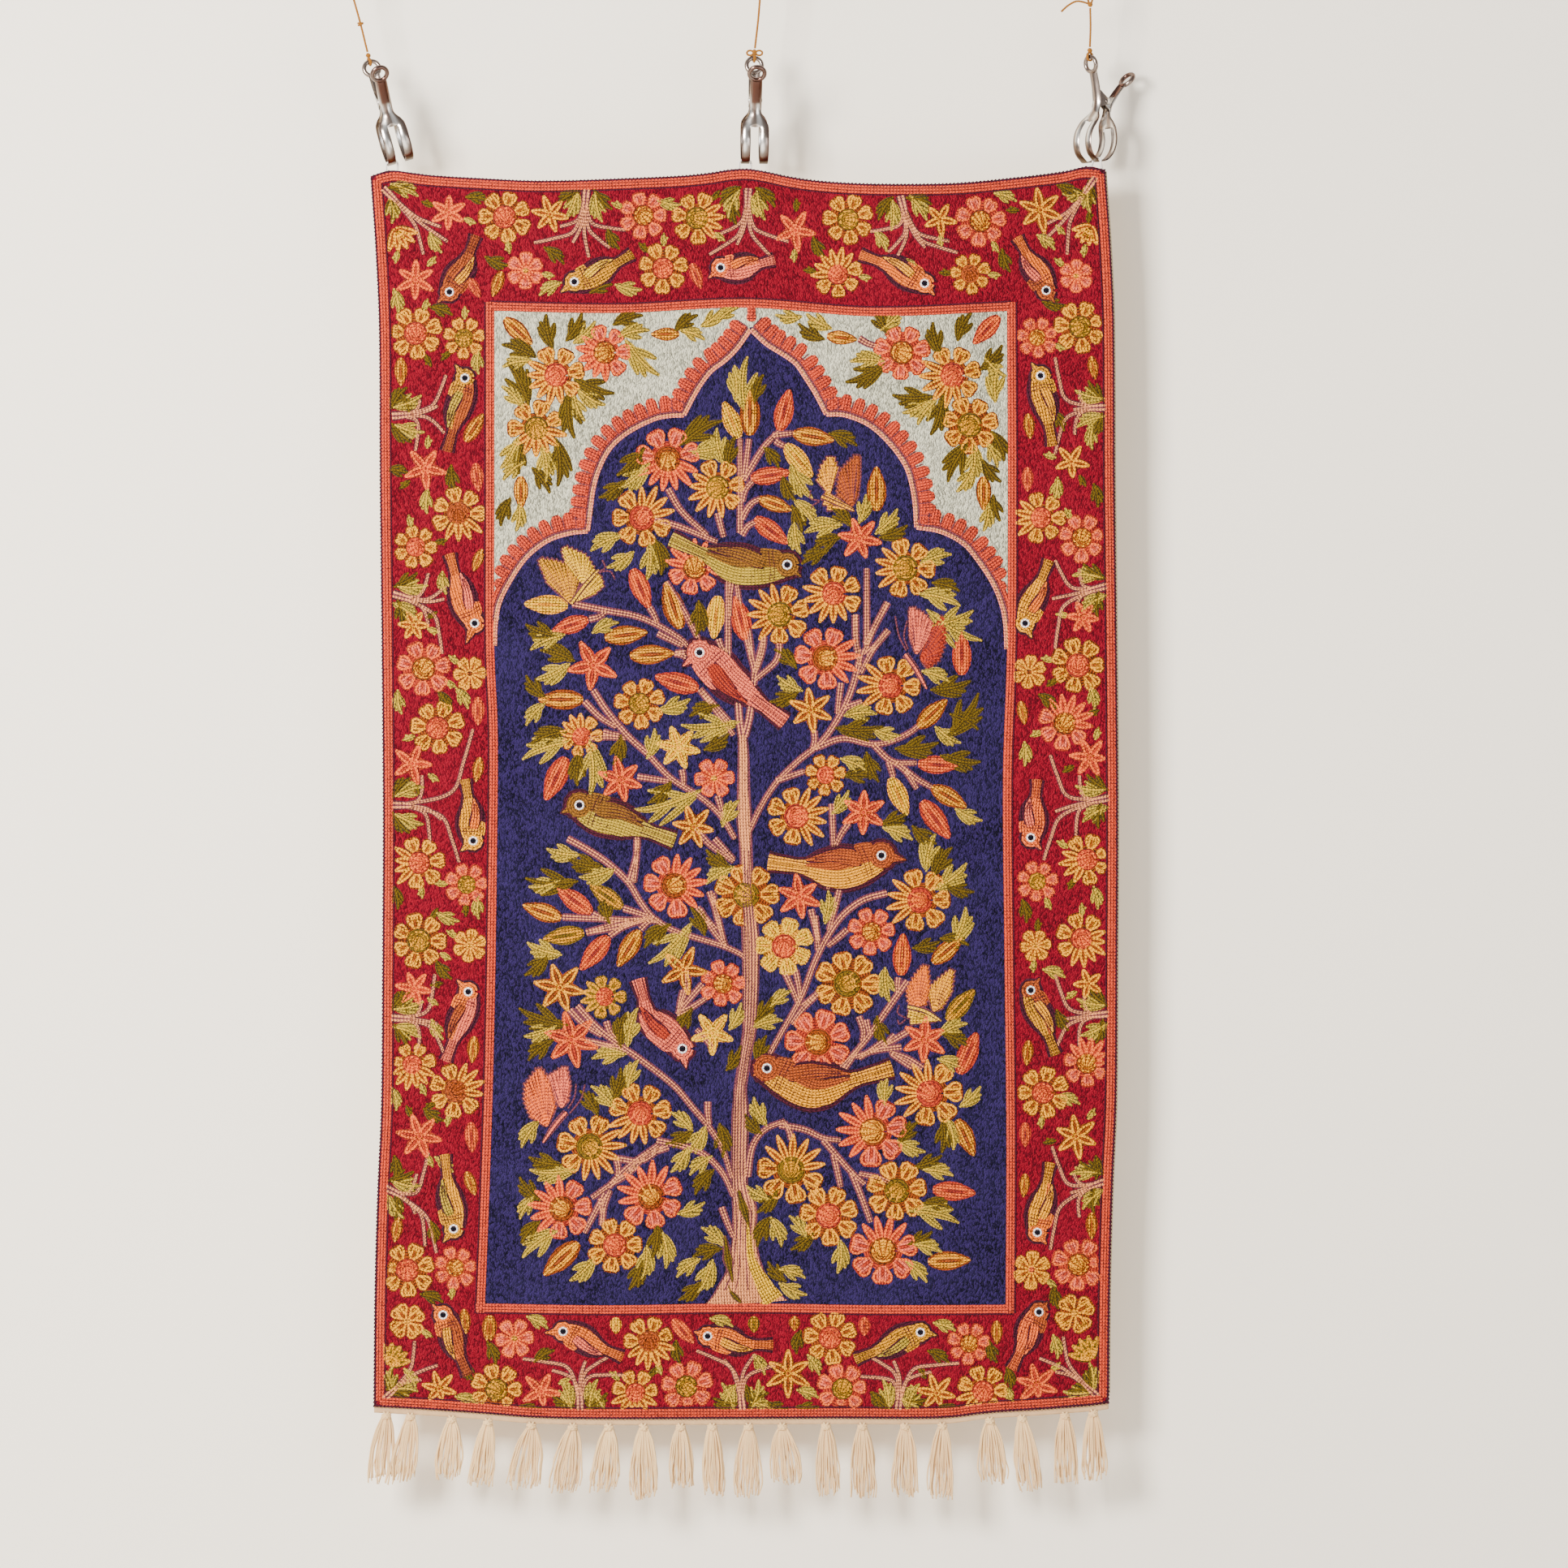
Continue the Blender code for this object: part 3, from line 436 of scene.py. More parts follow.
def cord_skin(line, radius, closed=False, plies=3, pitch=7.0, around=12, groove=0.16, taper=0.0):
    """Points, quads and UVs of a laid cord: its plies wind round it once in pitch radii."""
    line = np.asarray(line, float)
    sides, ups = frames_along(line, closed)
    along = run_of(line)
    turns = along / (pitch * radius) * 2 * math.pi
    angle = np.arange(around) * 2 * math.pi / around
    lobes = np.abs(np.cos(plies / 2 * (angle[None, :] - turns[:, None])))
    reach = radius * (1.0 - groove + groove * lobes)
    if taper:
        reach = reach * (1.0 - taper * (along / along[-1])[:, None] ** 3)
    points = (
        line[:, None, :]
        + reach[..., None] * np.cos(angle)[None, :, None] * sides[:, None, :]
        + reach[..., None] * np.sin(angle)[None, :, None] * ups[:, None, :]
    ).reshape(-1, 3)
    rows = len(line)
    faces = grid_faces(rows, around, closed=True)
    uv = np.stack(
        np.broadcast_arrays(angle[None, :] / (2 * math.pi), (along / radius)[:, None]), axis=-1
    ).reshape(-1, 2)
    if closed:
        last, first = (rows - 1) * around, 0
        k = np.arange(around)
        join = np.stack([last + k, first + k, first + (k + 1) % around, last + (k + 1) % around], 1)
        return points, np.concatenate([faces, join]), uv
    caps = []
    for base, centre, turn in ((0, line[0], 1), ((rows - 1) * around, line[-1], -1)):
        middle = len(points)
        points = np.concatenate([points, centre[None, :]])
        uv = np.concatenate([uv, [[0.5, 0.0]]])
        for k in range(0, around, 2):
            ring = [base + k, base + (k + 1) % around, base + (k + 2) % around]
            caps.append([middle, *ring[::turn]])
    return points, np.concatenate([faces, np.array(caps)]), uv


def join_skins(name, skins):
    """One object of several cord skins."""
    points, faces, uvs, count = [], [], [], 0
    for some, quads, uv in skins:
        points.append(some)
        faces.append(quads + count)
        uvs.append(uv)
        count += len(some)
    made = object_of(name, np.concatenate(points), np.concatenate(faces))
    write_uv(made, np.concatenate(uvs))
    return made


# Rows of chain stitch. Widths and places are in steps of the chart; lifts are in metres.

# The length of a mesh face along a row, and how deep a row's sides sink into the cloth
SEGMENT = 4.8
SINK = 0.15 * MM
# Where the mesh has points across a row, as shares of its half width
NARROW_SHARES = np.array([-1.0, -0.45, 0.45, 1.0])
WIDE_SHARES = np.array([-1.0, -0.7, 0.0, 0.7, 1.0])
WIDE_FROM = 3.2
BROAD_FROM = 9.0
BROAD_SPAN = 7.0
SHORTEST_ROW = 1.5
HALF_ROW = 1.5
LOW, MID, HIGH, TOP = 0.6 * MM, 0.9 * MM, 1.2 * MM, 1.5 * MM
BIRD_TOP = TOP + 0.4 * MM

# Motifs
FIELD_MIDDLE = (918, 980)
FLOWER_GROWTH = 1.07
SMALL_FLOWER = 24
# How far inside the cloth's edge the tips of leaves, of petals and of the sprigs' leaves end
LEAF_INSET = 12.0
PETAL_INSET = 15.0
SPRIG_INSET = 22.0
TWIG_STEP = 9
WING_ROW = 5.5
SCALLOP = 14.0
ARCH_ROOM = 314
WHIP_STEP = 4.6

WOOLS = {}


class Needlework:
    """The strokes of one colour of wool: each a band of stitched rows along a line."""

    def __init__(self):
        self.strokes = []

    def stroke(self, line, halves, lift, closed=False):
        """A band along these places of the chart, as wide each side as halves says."""
        line = np.asarray(line, float)
        loop = np.concatenate([line[-2:], line, line[:3]]) if closed else line
        place = run_of(loop)
        start, end = (place[2], place[-3]) if closed else (0.0, place[-1])
        if end - start < SHORTEST_ROW:
            return
        count = max(9 if closed else 3, round((end - start) / SEGMENT) + 1)
        at = np.linspace(start, end, count)
        widths = np.full(count, float(halves)) if np.isscalar(halves) else np.interp(
            at, np.linspace(start, end, len(halves)), halves
        )
        high = np.ones(count)
        if not closed:
            tip = min(0.9, (end - start) * 0.12)
            at = np.concatenate([[start], [start + tip], at[1:-1], [end - tip], [end]])
            widths = np.concatenate([[widths[0] * 0.5], [widths[0]], widths[1:-1], [widths[-1]],
                                     [widths[-1] * 0.5]])
            high = np.concatenate([[0.0], np.ones(count), [0.0]])
        path = curve_at(loop, place, at)
        self.strokes.append((path, widths, high, lift, at - start, DRAW.random()))

    def mesh(self, name):
        """One open skin of all the strokes, raised in the middle and sunk at their sides."""
        points, lifts, uvs, shades, faces, count = [], [], [], [], [], 0
        for path, widths, high, lift, along, shade in self.strokes:
            ahead = np.gradient(path, axis=0)
            ahead /= np.linalg.norm(ahead, axis=1)[:, None] + 1e-9
            side = np.stack([-ahead[:, 1], ahead[:, 0]], 1)
            widest = widths.max()
            shares = WIDE_SHARES if widest > WIDE_FROM else NARROW_SHARES
            if widest > BROAD_FROM:
                shares = np.linspace(-1.0, 1.0, 2 * int(widest / BROAD_SPAN) + 3)
            across = widths[:, None] * shares[None, :]
            points.append((path[:, None, :] + side[:, None, :] * across[..., None]).reshape(-1, 2))
            crown = 1.0 - np.abs(shares) ** 4
            lifts.append(((lift + SINK) * high[:, None] * crown[None, :] - SINK).ravel())
            uvs.append(np.stack(np.broadcast_arrays(across / ROW + 0.5, along[:, None] / STITCH),
                                axis=-1).reshape(-1, 2))
            shades.append(np.full(across.size, shade))
            faces.append(grid_faces(len(path), len(shares)) + count)
            count += across.size
        made = object_of(
            name, on_cloth(np.concatenate(points), np.concatenate(lifts)), np.concatenate(faces)
        )
        write_uv(made, np.concatenate(uvs))
        write_shade(made, np.concatenate(shades))
        return made


def polar(centre, angle, reach):
    return np.array([centre[0] + reach * math.cos(angle), centre[1] + reach * math.sin(angle)])


def row(colour, line, half=HALF_ROW, lift=MID, closed=False):
    """A band of this wool along these places of the chart, as wide each side as half says."""
    WOOLS.setdefault(colour, Needlework()).stroke(line, half, lift, closed)


def disc(colour, centre, reach, lift=LOW):
    """A filled round patch."""
    x, y = centre
    if reach < 4.5:
        row(colour, [(x - reach, y), (x, y), (x + reach, y)],
            [0.62 * reach, reach, 0.62 * reach], lift)
        return
    ring = [polar(centre, k * math.pi / 3, reach * 0.52) for k in range(6)]
    row(colour, ring, reach * 0.5, lift, closed=True)


def pointed_pair(colour, start, end, half, lift=MID, thick=HALF_ROW):
    """Two rows that bow apart from start and meet in a point at end."""
    start, end = np.array(start, float), np.array(end, float)
    ahead = end - start
    side = np.array([-ahead[1], ahead[0]]) / (np.linalg.norm(ahead) + 1e-9)
    for way in (-1, 1):
        line = [start + ahead * s + side * way * half * w
                for s, w in ((0.0, 0.25), (0.16, 0.72), (0.42, 1.0), (0.72, 0.66), (1.0, 0.0))]
        row(colour, line, [thick * 0.8, thick, thick, thick * 0.8], lift)


# The darker wool beside each outer wool of a flower or a bud, and the core of a bud. Its wide low
# rows show the darker edges and also stand for the shade round the raised motifs: partly painted
# shade.
INNER_WOOL = {
    "gold": "amber", "coral": "scarlet", "lightgold": "gold", "olivegold": "moss",
    "orange": "scarlet", "amber": "brown",
}
CORE_WOOL = {
    "gold": "brown", "coral": "plum", "lightgold": "amber", "olivegold": "olive", "orange": "gold",
}


def bud(start, end, outer, half=None):
    """A pointed bud: a darker border, its filling, and a core of two darker wools."""
    start, end = np.array(start, float), np.array(end, float)
    half = half or max(7.0, np.linalg.norm(end - start) * 0.225)
    dark = INNER_WOOL[outer]
    shape = np.array([0.30, 0.80, 1.0, 0.90, 0.55, 0.12])
    at = [start + (end - start) * s for s in (0.02, 0.35, 0.65, 1.0)]
    # The darker border: the bud's darker edge, widened to stand also for shade round it, partly
    # painted shade
    row(dark, at, shape * half + 1.4, LOW)
    row(outer, at, shape * half)
    pointed_pair(dark, at[0], start + (end - start) * 0.93, half * 0.62, MID + 0.1 * MM, 0.55)
    near, far = start + (end - start) * 0.18, start + (end - start) * 0.84
    core = [near + (far - near) * s for s in (0.0, 0.5, 1.0)]
    row(dark, core, [0.8, half * 0.34, 0.8], HIGH)
    row(CORE_WOOL[outer], [near + (far - near) * s for s in (0.22, 0.5, 0.8)], [0.5, 1.0, 0.5], TOP)


def heart_petal(centre, angle, reach, root, spread, outer):
    """A petal with two lobes: a border, a thick row round it, its filling and a seam."""
    dark = INNER_WOOL[outer]
    thick = 2.4 if reach > 25 else 2.0
    edge = spread - 0.55 * thick / (0.8 * reach)
    wide = 0.8 * reach * math.sin(min(1.2, edge))
    axis = [polar(centre, angle, root + (reach - root) * s) for s in (0.0, 0.35, 0.7, 1.0)]
    # The darker border: the petal's darker edge, widened to stand also for shade round it, partly
    # painted shade
    row(dark, axis, np.array([0.36, 0.66, 0.92, 1.0, 0.66]) * (wide + 1.3), LOW)
    far_end = reach - thick
    row("pink" if outer == "coral" else outer, axis[:-1] + [polar(centre, angle, far_end)],
        np.array([0.30, 0.58, 0.86, 0.88, 0.55]) * wide, LOW + 0.15 * MM)
    inset = edge - 0.9 * thick / (0.8 * reach)
    shape = [
        (root, 0.34), (0.45 * far_end + 0.5 * root, 0.84), (0.80 * far_end, 1.0),
        (0.95 * far_end, 0.84), (far_end, 0.46), (0.92 * far_end, 0.0),
    ]
    left = [polar(centre, angle - inset * share, far) for far, share in shape]
    right = [polar(centre, angle + inset * share, far) for far, share in shape[-2::-1]]
    row(outer, left + right, half=thick, lift=MID)
    seam = [polar(centre, angle, root + (reach - root) * s) for s in (0.04, 0.36, 0.66)]
    row(dark, seam, [1.2, max(1.5, 0.24 * wide), max(1.4, 0.20 * wide), 0.7], MID + 0.15 * MM)


def spike_petal(centre, angle, reach, root, outer, inner, half=4.0):
    """A pointed petal: two rows that meet at its tip, a dark seam between and a border."""
    foot, tip = polar(centre, angle, root * 0.7), polar(centre, angle, reach)
    row(inner, [foot, foot + (tip - foot) * 0.45, tip],
        np.array([0.62, 0.94, 1.06, 0.86, 0.55, 0.2]) * half + 1.3, LOW)
    pointed_pair(outer, foot, tip, half * 0.58, MID, half * 0.40)


def flower_heart(centre, reach, colour, dark, toward):
    """The middle of a flower: thick rows that fan out from one side of it, on its own wool."""
    disc(dark, centre, reach * 1.14, HIGH - 0.1 * MM)
    disc(colour, centre, reach * 1.02, HIGH)
    base = polar(centre, toward + math.pi, reach * 0.62)
    for k in (-1.5, -0.5, 0.5, 1.5):
        angle = toward + k * 0.62
        end = polar(centre, angle, reach * 0.96)
        bend = (base + end) / 2 + 0.12 * reach * np.array([-math.sin(angle), math.cos(angle)]) * k
        row(dark, [base, bend, end], [0.7, 1.2, 1.0], TOP + 0.2 * MM)
    for k in (-1, 0, 1):
        angle = toward + k * 0.62
        start = base + (polar(centre, angle, reach * 0.9) - base) * 0.25
        row(colour, [start, polar(centre, angle, reach * 0.92)], [1.0, 1.6, 1.4], TOP + 0.3 * MM)
    rim = [polar(centre, toward + math.pi + turn, reach * 0.70) for turn in (-1.5, -0.8, 0.8, 1.5)]
    row(dark, rim, half=1.0, lift=TOP + 0.2 * MM)


def inside_bands(centre, angle, far):
    """How far a petal reaches this way before the cloth's outer band."""
    return min(far, np.linalg.norm(keep_in(polar(centre, angle, far), PETAL_INSET) - centre))


def flower(x, y, reach, outer, heart, kind="hearts"):
    """One flower of the chart. kind: hearts, star, four, fan, or the angle of its spikes."""
    centre = np.array([x, y], float)
    inner = INNER_WOOL[outer]
    if kind == "star":
        petals = 5 if DRAW.random() < 0.25 else 6
        turn = DRAW.random() * 0.6
        for k in range(petals):
            angle = turn + k * 2 * math.pi / petals
            far = inside_bands(centre, angle, reach * (0.96 + 0.14 * DRAW.random()))
            spike_petal(centre, angle, far, reach * 0.06, outer, inner, max(5.4, reach * 0.235))
        disc(inner, centre, 2.2, HIGH)
        return
    if kind == "fan":
        away = math.atan2(y - FIELD_MIDDLE[1], x - FIELD_MIDDLE[0])
        disc(inner, centre, reach * 0.8, LOW)
        for k in range(-2, 3):
            spike_petal(polar(centre, away, reach * 0.7), away + math.pi + k * 0.42,
                        reach * 1.6, 0.0, outer, inner, 5.6)
        arc = [polar(centre, away + k, reach * 0.62) for k in (-1.3, -0.5, 0.5, 1.3)]
        row(heart, arc, 2.0, HIGH)
        return
    small = reach < SMALL_FLOWER or kind == "four"
    reach *= FLOWER_GROWTH
    petals = 4 if kind == "four" else 6 if small else 7
    root = reach * (0.12 if small else 0.43)
    turn = 0.5 * DRAW.random()
    toward = math.radians(kind) if isinstance(kind, (int, float)) else None
    if toward is None and not small and DRAW.random() < 0.4:
        toward = DRAW.random() * 6.28
    # The darker disc under the petals, showing between them: partly painted shade
    disc(inner, centre, reach * (0.8 if toward is None else 0.6), LOW)
    for k in range(petals):
        angle = turn + (k + 0.5) * 2 * math.pi / petals
        spread = math.pi / petals
        if toward is not None:
            off = (angle - toward + math.pi) % (2 * math.pi) - math.pi
            if abs(off) < 1.2:
                for side in (-0.5, 0.5):
                    far = inside_bands(centre, angle + side * spread,
                                       reach * (1.0 + 0.16 * DRAW.random()))
                    spike_petal(centre, angle + side * spread, far, root, outer, inner, 5.2)
                continue
            row(inner, [polar(centre, angle, far) for far in (root, reach * 0.8)],
                [2.0, reach * 0.2], LOW)
        reached = inside_bands(centre, angle, reach * (0.98 + 0.08 * DRAW.random()))
        heart_petal(centre, angle, reached, root, spread, outer)
    if small:
        disc(heart, centre, max(3.2, reach * 0.18), HIGH)
        return
    face = toward if toward is not None else DRAW.random() * 6.28
    flower_heart(centre, root, heart, INNER_WOOL[heart], face)


def leaf(x, y, tip_x, tip_y, dark=0):
    """A leaf that parts into a few long blunt fingers that lie close to one another."""
    centre, tip = np.array([x, y], float), np.array([tip_x, tip_y], float)
    colour, vein = ("olive", "moss") if dark else ("light", "lightgold")
    size = np.linalg.norm(tip - centre)
    ahead = (tip - centre) / max(size, 1e-6)
    side = np.array([-ahead[1], ahead[0]])
    hand = 1 if DRAW.random() < 0.5 else -1
    foot = centre - ahead * max(17.0, size * 0.85)
    end = keep_in(tip + ahead * 3.0, LEAF_INSET)
    long = np.linalg.norm(end - foot)
    half = min(5.8, max(4.2, long * 0.125))
    bow = side * hand * long * 0.06
    row(colour, [foot, foot + ahead * long * 0.4 + bow, foot + ahead * long * 0.75 + bow, end],
        [1.6, half, half * 1.08, half * 0.95, half * 0.72, 1.8])
    for way, share, reach, lean in (
        (hand, 0.10, 0.66, 0.44), (-hand, 0.22, 0.56, 0.46), (hand, 0.42, 0.46, 0.46),
    ):
        aim = math.cos(lean) * ahead + math.sin(lean) * way * side
        root = foot + ahead * long * share + bow * 0.7
        finger = (root, root + aim * long * reach * 0.55,
                  root + aim * long * reach - side * way * 1.2)
        row(colour, [keep_in(place, LEAF_INSET) for place in finger],
            [half * 0.6, half * 0.9, half * 0.84, half * 0.36], MID - 0.1 * MM)
    row(vein, [foot + ahead * long * 0.15, foot + ahead * long * 0.45 + bow,
               foot + ahead * long * 0.8 + bow], [0.6, 0.9, 0.5], MID + 0.15 * MM)


def border_leaf(x, y, angle, long, tone):
    """A leaf of the border: light or dark with fingers, or plain in the wool of a flower."""
    ahead = np.array([math.cos(math.radians(angle)), math.sin(math.radians(angle))])
    centre = np.array([x, y], float)
    if tone in ("light", "dark"):
        leaf(x, y, *(centre + ahead * long * 0.45), tone == "dark")
    else:
        bud(centre - ahead * long / 2, centre + ahead * long / 2, tone, long * 0.21)


def twig(line, half=3.1):
    """A branch: two pale rows with a thin mauve row between them and each side."""
    line = np.array(line, float)
    place = run_of(line)
    count = max(3, round(place[-1] / TWIG_STEP))
    path, out = offset_line(line, place, np.linspace(0.0, place[-1], count), 1)
    halves = np.linspace(half * 1.12, half * 0.82, count)
    row("mauve", path, halves + min(2.1, half * 0.6), LOW)
    for side in (-1, 1):
        row("beige", path + out * (side * halves * 0.5)[:, None],
            np.maximum(halves * 0.38, 0.95), MID - 0.1 * MM)


def eye(centre, reach):
    """A bird's round eye: plum, a white ring and a dark pupil."""
    disc("plum", centre, reach + 1.2, BIRD_TOP)
    ring = [polar(centre, k * math.pi / 4, reach * 0.76) for k in range(8)]
    row("white", ring, reach * 0.27, BIRD_TOP + 0.4 * MM, closed=True)
    disc("navy", centre, reach * 0.62, BIRD_TOP + 0.5 * MM)


def feather_lines(line, halves, colour, count, lift):
    """Thin rows along a body or a wing."""
    line = np.asarray(line, float)
    ahead = np.gradient(line, axis=0)
    side = np.stack([-ahead[:, 1], ahead[:, 0]], 1)
    side /= np.linalg.norm(side, axis=1)[:, None] + 1e-9
    for k in range(count):
        share = (k + 1) / (count + 1) * 2 - 1
        row(colour, line + side * (np.asarray(halves)[:, None] * share * 0.9), 0.75, lift)


def bird(tail, back, look, beak, body, wing, plump, belly, under_wool):
    """A bird from the tip of its tail over its body's middle to its eye and its beak."""
    tail, back, look, beak = (np.array(p, float) for p in (tail, back, look, beak))
    head = plump * 0.80
    nose = look + (beak - look) * min(1.0, head * 0.9 / np.linalg.norm(beak - look))
    along = (look - back) / np.linalg.norm(look - back)
    side = np.array([-along[1], along[0]])
    under = side * (belly or 1)
    breast = back + (look - back) * 0.5 + under * plump * 0.14
    spine = [tail, tail + (back - tail) * 0.5, back, breast, look]
    halves = np.array([0.52, 0.44, 0.38, 0.58, 0.92, 1.06, 1.06, 0.94, 0.80]) * plump
    row("plum", spine, halves + 1.8, HIGH)
    disc("plum", look, head + 1.8, HIGH)
    row("plum", [look, nose, beak], [head * 0.7, head * 0.5, 1.6], HIGH)
    row(under_wool, spine, halves, TOP)
    disc(body, look, head, TOP + 0.2 * MM)
    row(body, [look, nose, beak - (beak - look) * 0.05], [head * 0.55, head * 0.4, 0.8],
        TOP + 0.1 * MM)
    ridge = [tail + (back - tail) * 0.55, back, back + (look - back) * 0.55, look]
    ridge = [p - under * plump * w for p, w in zip(ridge, (0.12, 0.34, 0.30, 0.08))]
    row(body, ridge, np.array([0.14, 0.40, 0.66, 0.70, 0.66]) * plump, TOP + 0.15 * MM)
    shoulder = back + (look - back) * 0.60 - under * plump * 0.10
    tip = back + (tail - back) * 0.42 - under * plump * 0.40
    middle = (shoulder + tip) / 2 - under * plump * 0.16
    wide = np.array([0.44, 0.66, 0.64, 0.50, 0.34, 0.08]) * plump
    row("plum", [shoulder, middle, tip], wide + 2.0, TOP + 0.3 * MM)
    row(wing, [shoulder, middle, tip], wide, BIRD_TOP)
    for share in (-0.62, -0.2, 0.2, 0.62):
        start = shoulder + (middle - shoulder) * 0.45 + under * plump * share * 0.56
        bend = middle + under * plump * share * 0.44
        row("plum", [start, bend, tip - (tip - middle) * 0.3], [0.5, 0.9, 0.5],
            BIRD_TOP + 0.2 * MM)
    for share in (0.12, 0.30, 0.48, 0.66):
        place = back + (look - back) * share + under * plump * 0.42
        row("plum", [place, place + along * plump * 0.20 + under * plump * 0.16],
            [0.5, 0.8, 0.4], BIRD_TOP)
    feather_lines([tail, tail + (back - tail) * 0.6], [plump * 0.52, plump * 0.40], "plum", 3,
                  BIRD_TOP)
    collar = look - along * head * 0.95
    for step in (0.0, 0.22):
        place = collar - along * plump * step
        wide = side * plump * 0.8
        row("plum", [place - wide, place + along * 1.5, place + wide], 0.8, BIRD_TOP)
    eye(look, min(6.8, plump * 0.37))


def wing_of(colour, root, edge):
    """A butterfly's wing: rows that fan out from its root to its outer edge."""
    root, edge = np.array(root, float), np.array(edge, float)
    place = run_of(edge)
    rays = max(3, round(place[-1] / WING_ROW))
    at = np.linspace(0.0, place[-1], rays)
    ends = np.stack([np.interp(at, place, column) for column in edge.T], 1)
    half = place[-1] / (rays - 1) / 2 + 1.7
    for end in ends:
        row("mauve", [root, (root + end) / 2, end], [2.6, 0.62 * half + 1.8, half + 1.6], LOW)
        row(colour, [root, (root + end) / 2, root + (end - root) * 0.97],
            [1.0, 0.62 * half, half], MID)
    for end in ends[1::2]:
        row("mauve", [root + (end - root) * 0.25, root + (end - root) * 0.86], 0.6, HIGH)


def butterfly(wings, body, feelers):
    """A butterfly: wings as (colour, root, outer edge), a body and its curled feelers."""
    for colour, root, edge in wings:
        wing_of(colour, root, edge)
    row("mauve", body, [4.6, 4.6, 2.4], HIGH)
    row(wings[-1][0], body, [3.0, 3.0, 1.2], TOP)
    for line in feelers:
        row("mauve", line, 1.1, HIGH)


# The chart

# Flowers: across, down, reach, outer wool, heart, and kind where it isn't the plain one with
# heart petals. A number there is the angle that the spikes point to.
BORDER_FLOWERS = [
    (553, 262, 22, "coral", "coral", "star"), (622, 268, 31, "gold", "coral"),
    (678, 265, 23, "gold", "gold", "star"), (793, 266, 28, "coral", "gold"),
    (859, 269, 30, "gold", "olivegold"), (494, 293, 18, "gold", "amber", "fan"),
    (512, 345, 24, "coral", "gold", "star"), (648, 334, 22, "coral", "gold"),
    (817, 331, 29, "gold", "coral"), (512, 411, 31, "gold", "coral"),
    (572, 417, 25, "gold", "olivegold"), (524, 577, 26, "coral", "coral", "star"),
    (565, 633, 31, "gold", "amber", 80), (512, 674, 26, "gold", "coral"),
    (510, 770, 19, "gold", "gold", "star"), (522, 824, 32, "coral", "gold"),
    (579, 830, 20, "gold", "amber"), (539, 897, 31, "gold", "coral"),
    (508, 941, 25, "coral", "coral", "star"), (516, 1063, 30, "gold", "coral", 180),
    (575, 1090, 25, "coral", "olivegold"), (516, 1159, 32, "gold", "olivegold"),
    (579, 1165, 20, "gold", "gold"), (510, 1218, 22, "coral", "coral", "star"),
    (508, 1312, 27, "gold", "coral"), (562, 1344, 31, "gold", "amber", -30),
    (517, 1400, 27, "coral", "coral", "star"), (502, 1565, 31, "gold", "coral"),
    (561, 1562, 25, "coral", "gold"), (502, 1628, 22, "gold", "gold", "four"),
    (486, 1671, 17, "olivegold", "gold", "fan"), (541, 1711, 22, "gold", "gold", "star"),
    (612, 1712, 30, "gold", "olivegold"), (980, 284, 25, "coral", "coral", "star"),
    (1045, 271, 29, "gold", "olivegold"), (1158, 271, 20, "gold", "gold", "star"),
    (1208, 273, 30, "coral", "gold"), (1282, 259, 28, "gold", "gold", "star"),
    (1032, 338, 28, "gold", "coral"), (1195, 338, 24, "gold", "amber"),
    (1339, 288, 15, "gold", "amber", "fan"), (1326, 340, 20, "coral", "gold"),
    (1331, 403, 30, "gold", "olivegold"), (1278, 416, 24, "coral", "gold"),
    (1320, 569, 21, "gold", "gold", "star"), (1282, 638, 29, "gold", "coral"),
    (1333, 663, 28, "coral", "gold"), (1335, 761, 20, "coral", "coral", "star"),
    (1328, 820, 32, "gold", "coral"), (1268, 828, 20, "gold", "amber"),
    (1312, 891, 31, "coral", "gold"), (1343, 933, 24, "coral", "coral", "star"),
    (1339, 1059, 29, "gold", "coral"), (1278, 1086, 24, "coral", "olivegold"),
    (1333, 1157, 30, "gold", "coral"), (1276, 1165, 19, "gold", "gold"),
    (1341, 1212, 19, "gold", "gold", "star"), (1339, 1310, 28, "coral", "gold"),
    (1285, 1346, 30, "gold", "coral"), (1326, 1400, 27, "gold", "gold", "star"),
    (1329, 1558, 31, "coral", "gold"), (1271, 1564, 23, "gold", "coral"),
    (1324, 1618, 23, "gold", "gold", "four"), (1338, 1663, 18, "olivegold", "gold", "fan"),
    (1277, 1706, 26, "coral", "coral", "star"), (634, 1649, 23, "coral", "olivegold"),
    (667, 1714, 25, "coral", "coral", "star"), (800, 1653, 29, "gold", "amber", 90),
    (783, 1716, 27, "gold", "coral"), (846, 1708, 30, "coral", "olivegold"),
    (971, 1692, 28, "gold", "gold", "star"), (1023, 1648, 31, "gold", "coral"),
    (1038, 1711, 29, "coral", "olivegold"), (1194, 1655, 25, "coral", "gold"),
    (1154, 1716, 24, "gold", "gold", "star"), (1211, 1714, 30, "gold", "coral"),
]
SPANDREL_FLOWERS = [
    (745, 435, 31, "coral", "gold"), (685, 463, 33, "gold", "coral"),
    (661, 528, 32, "gold", "olivegold"), (1111, 435, 32, "coral", "gold"),
    (1173, 463, 34, "gold", "coral"), (1195, 524, 33, "gold", "olivegold"),
]
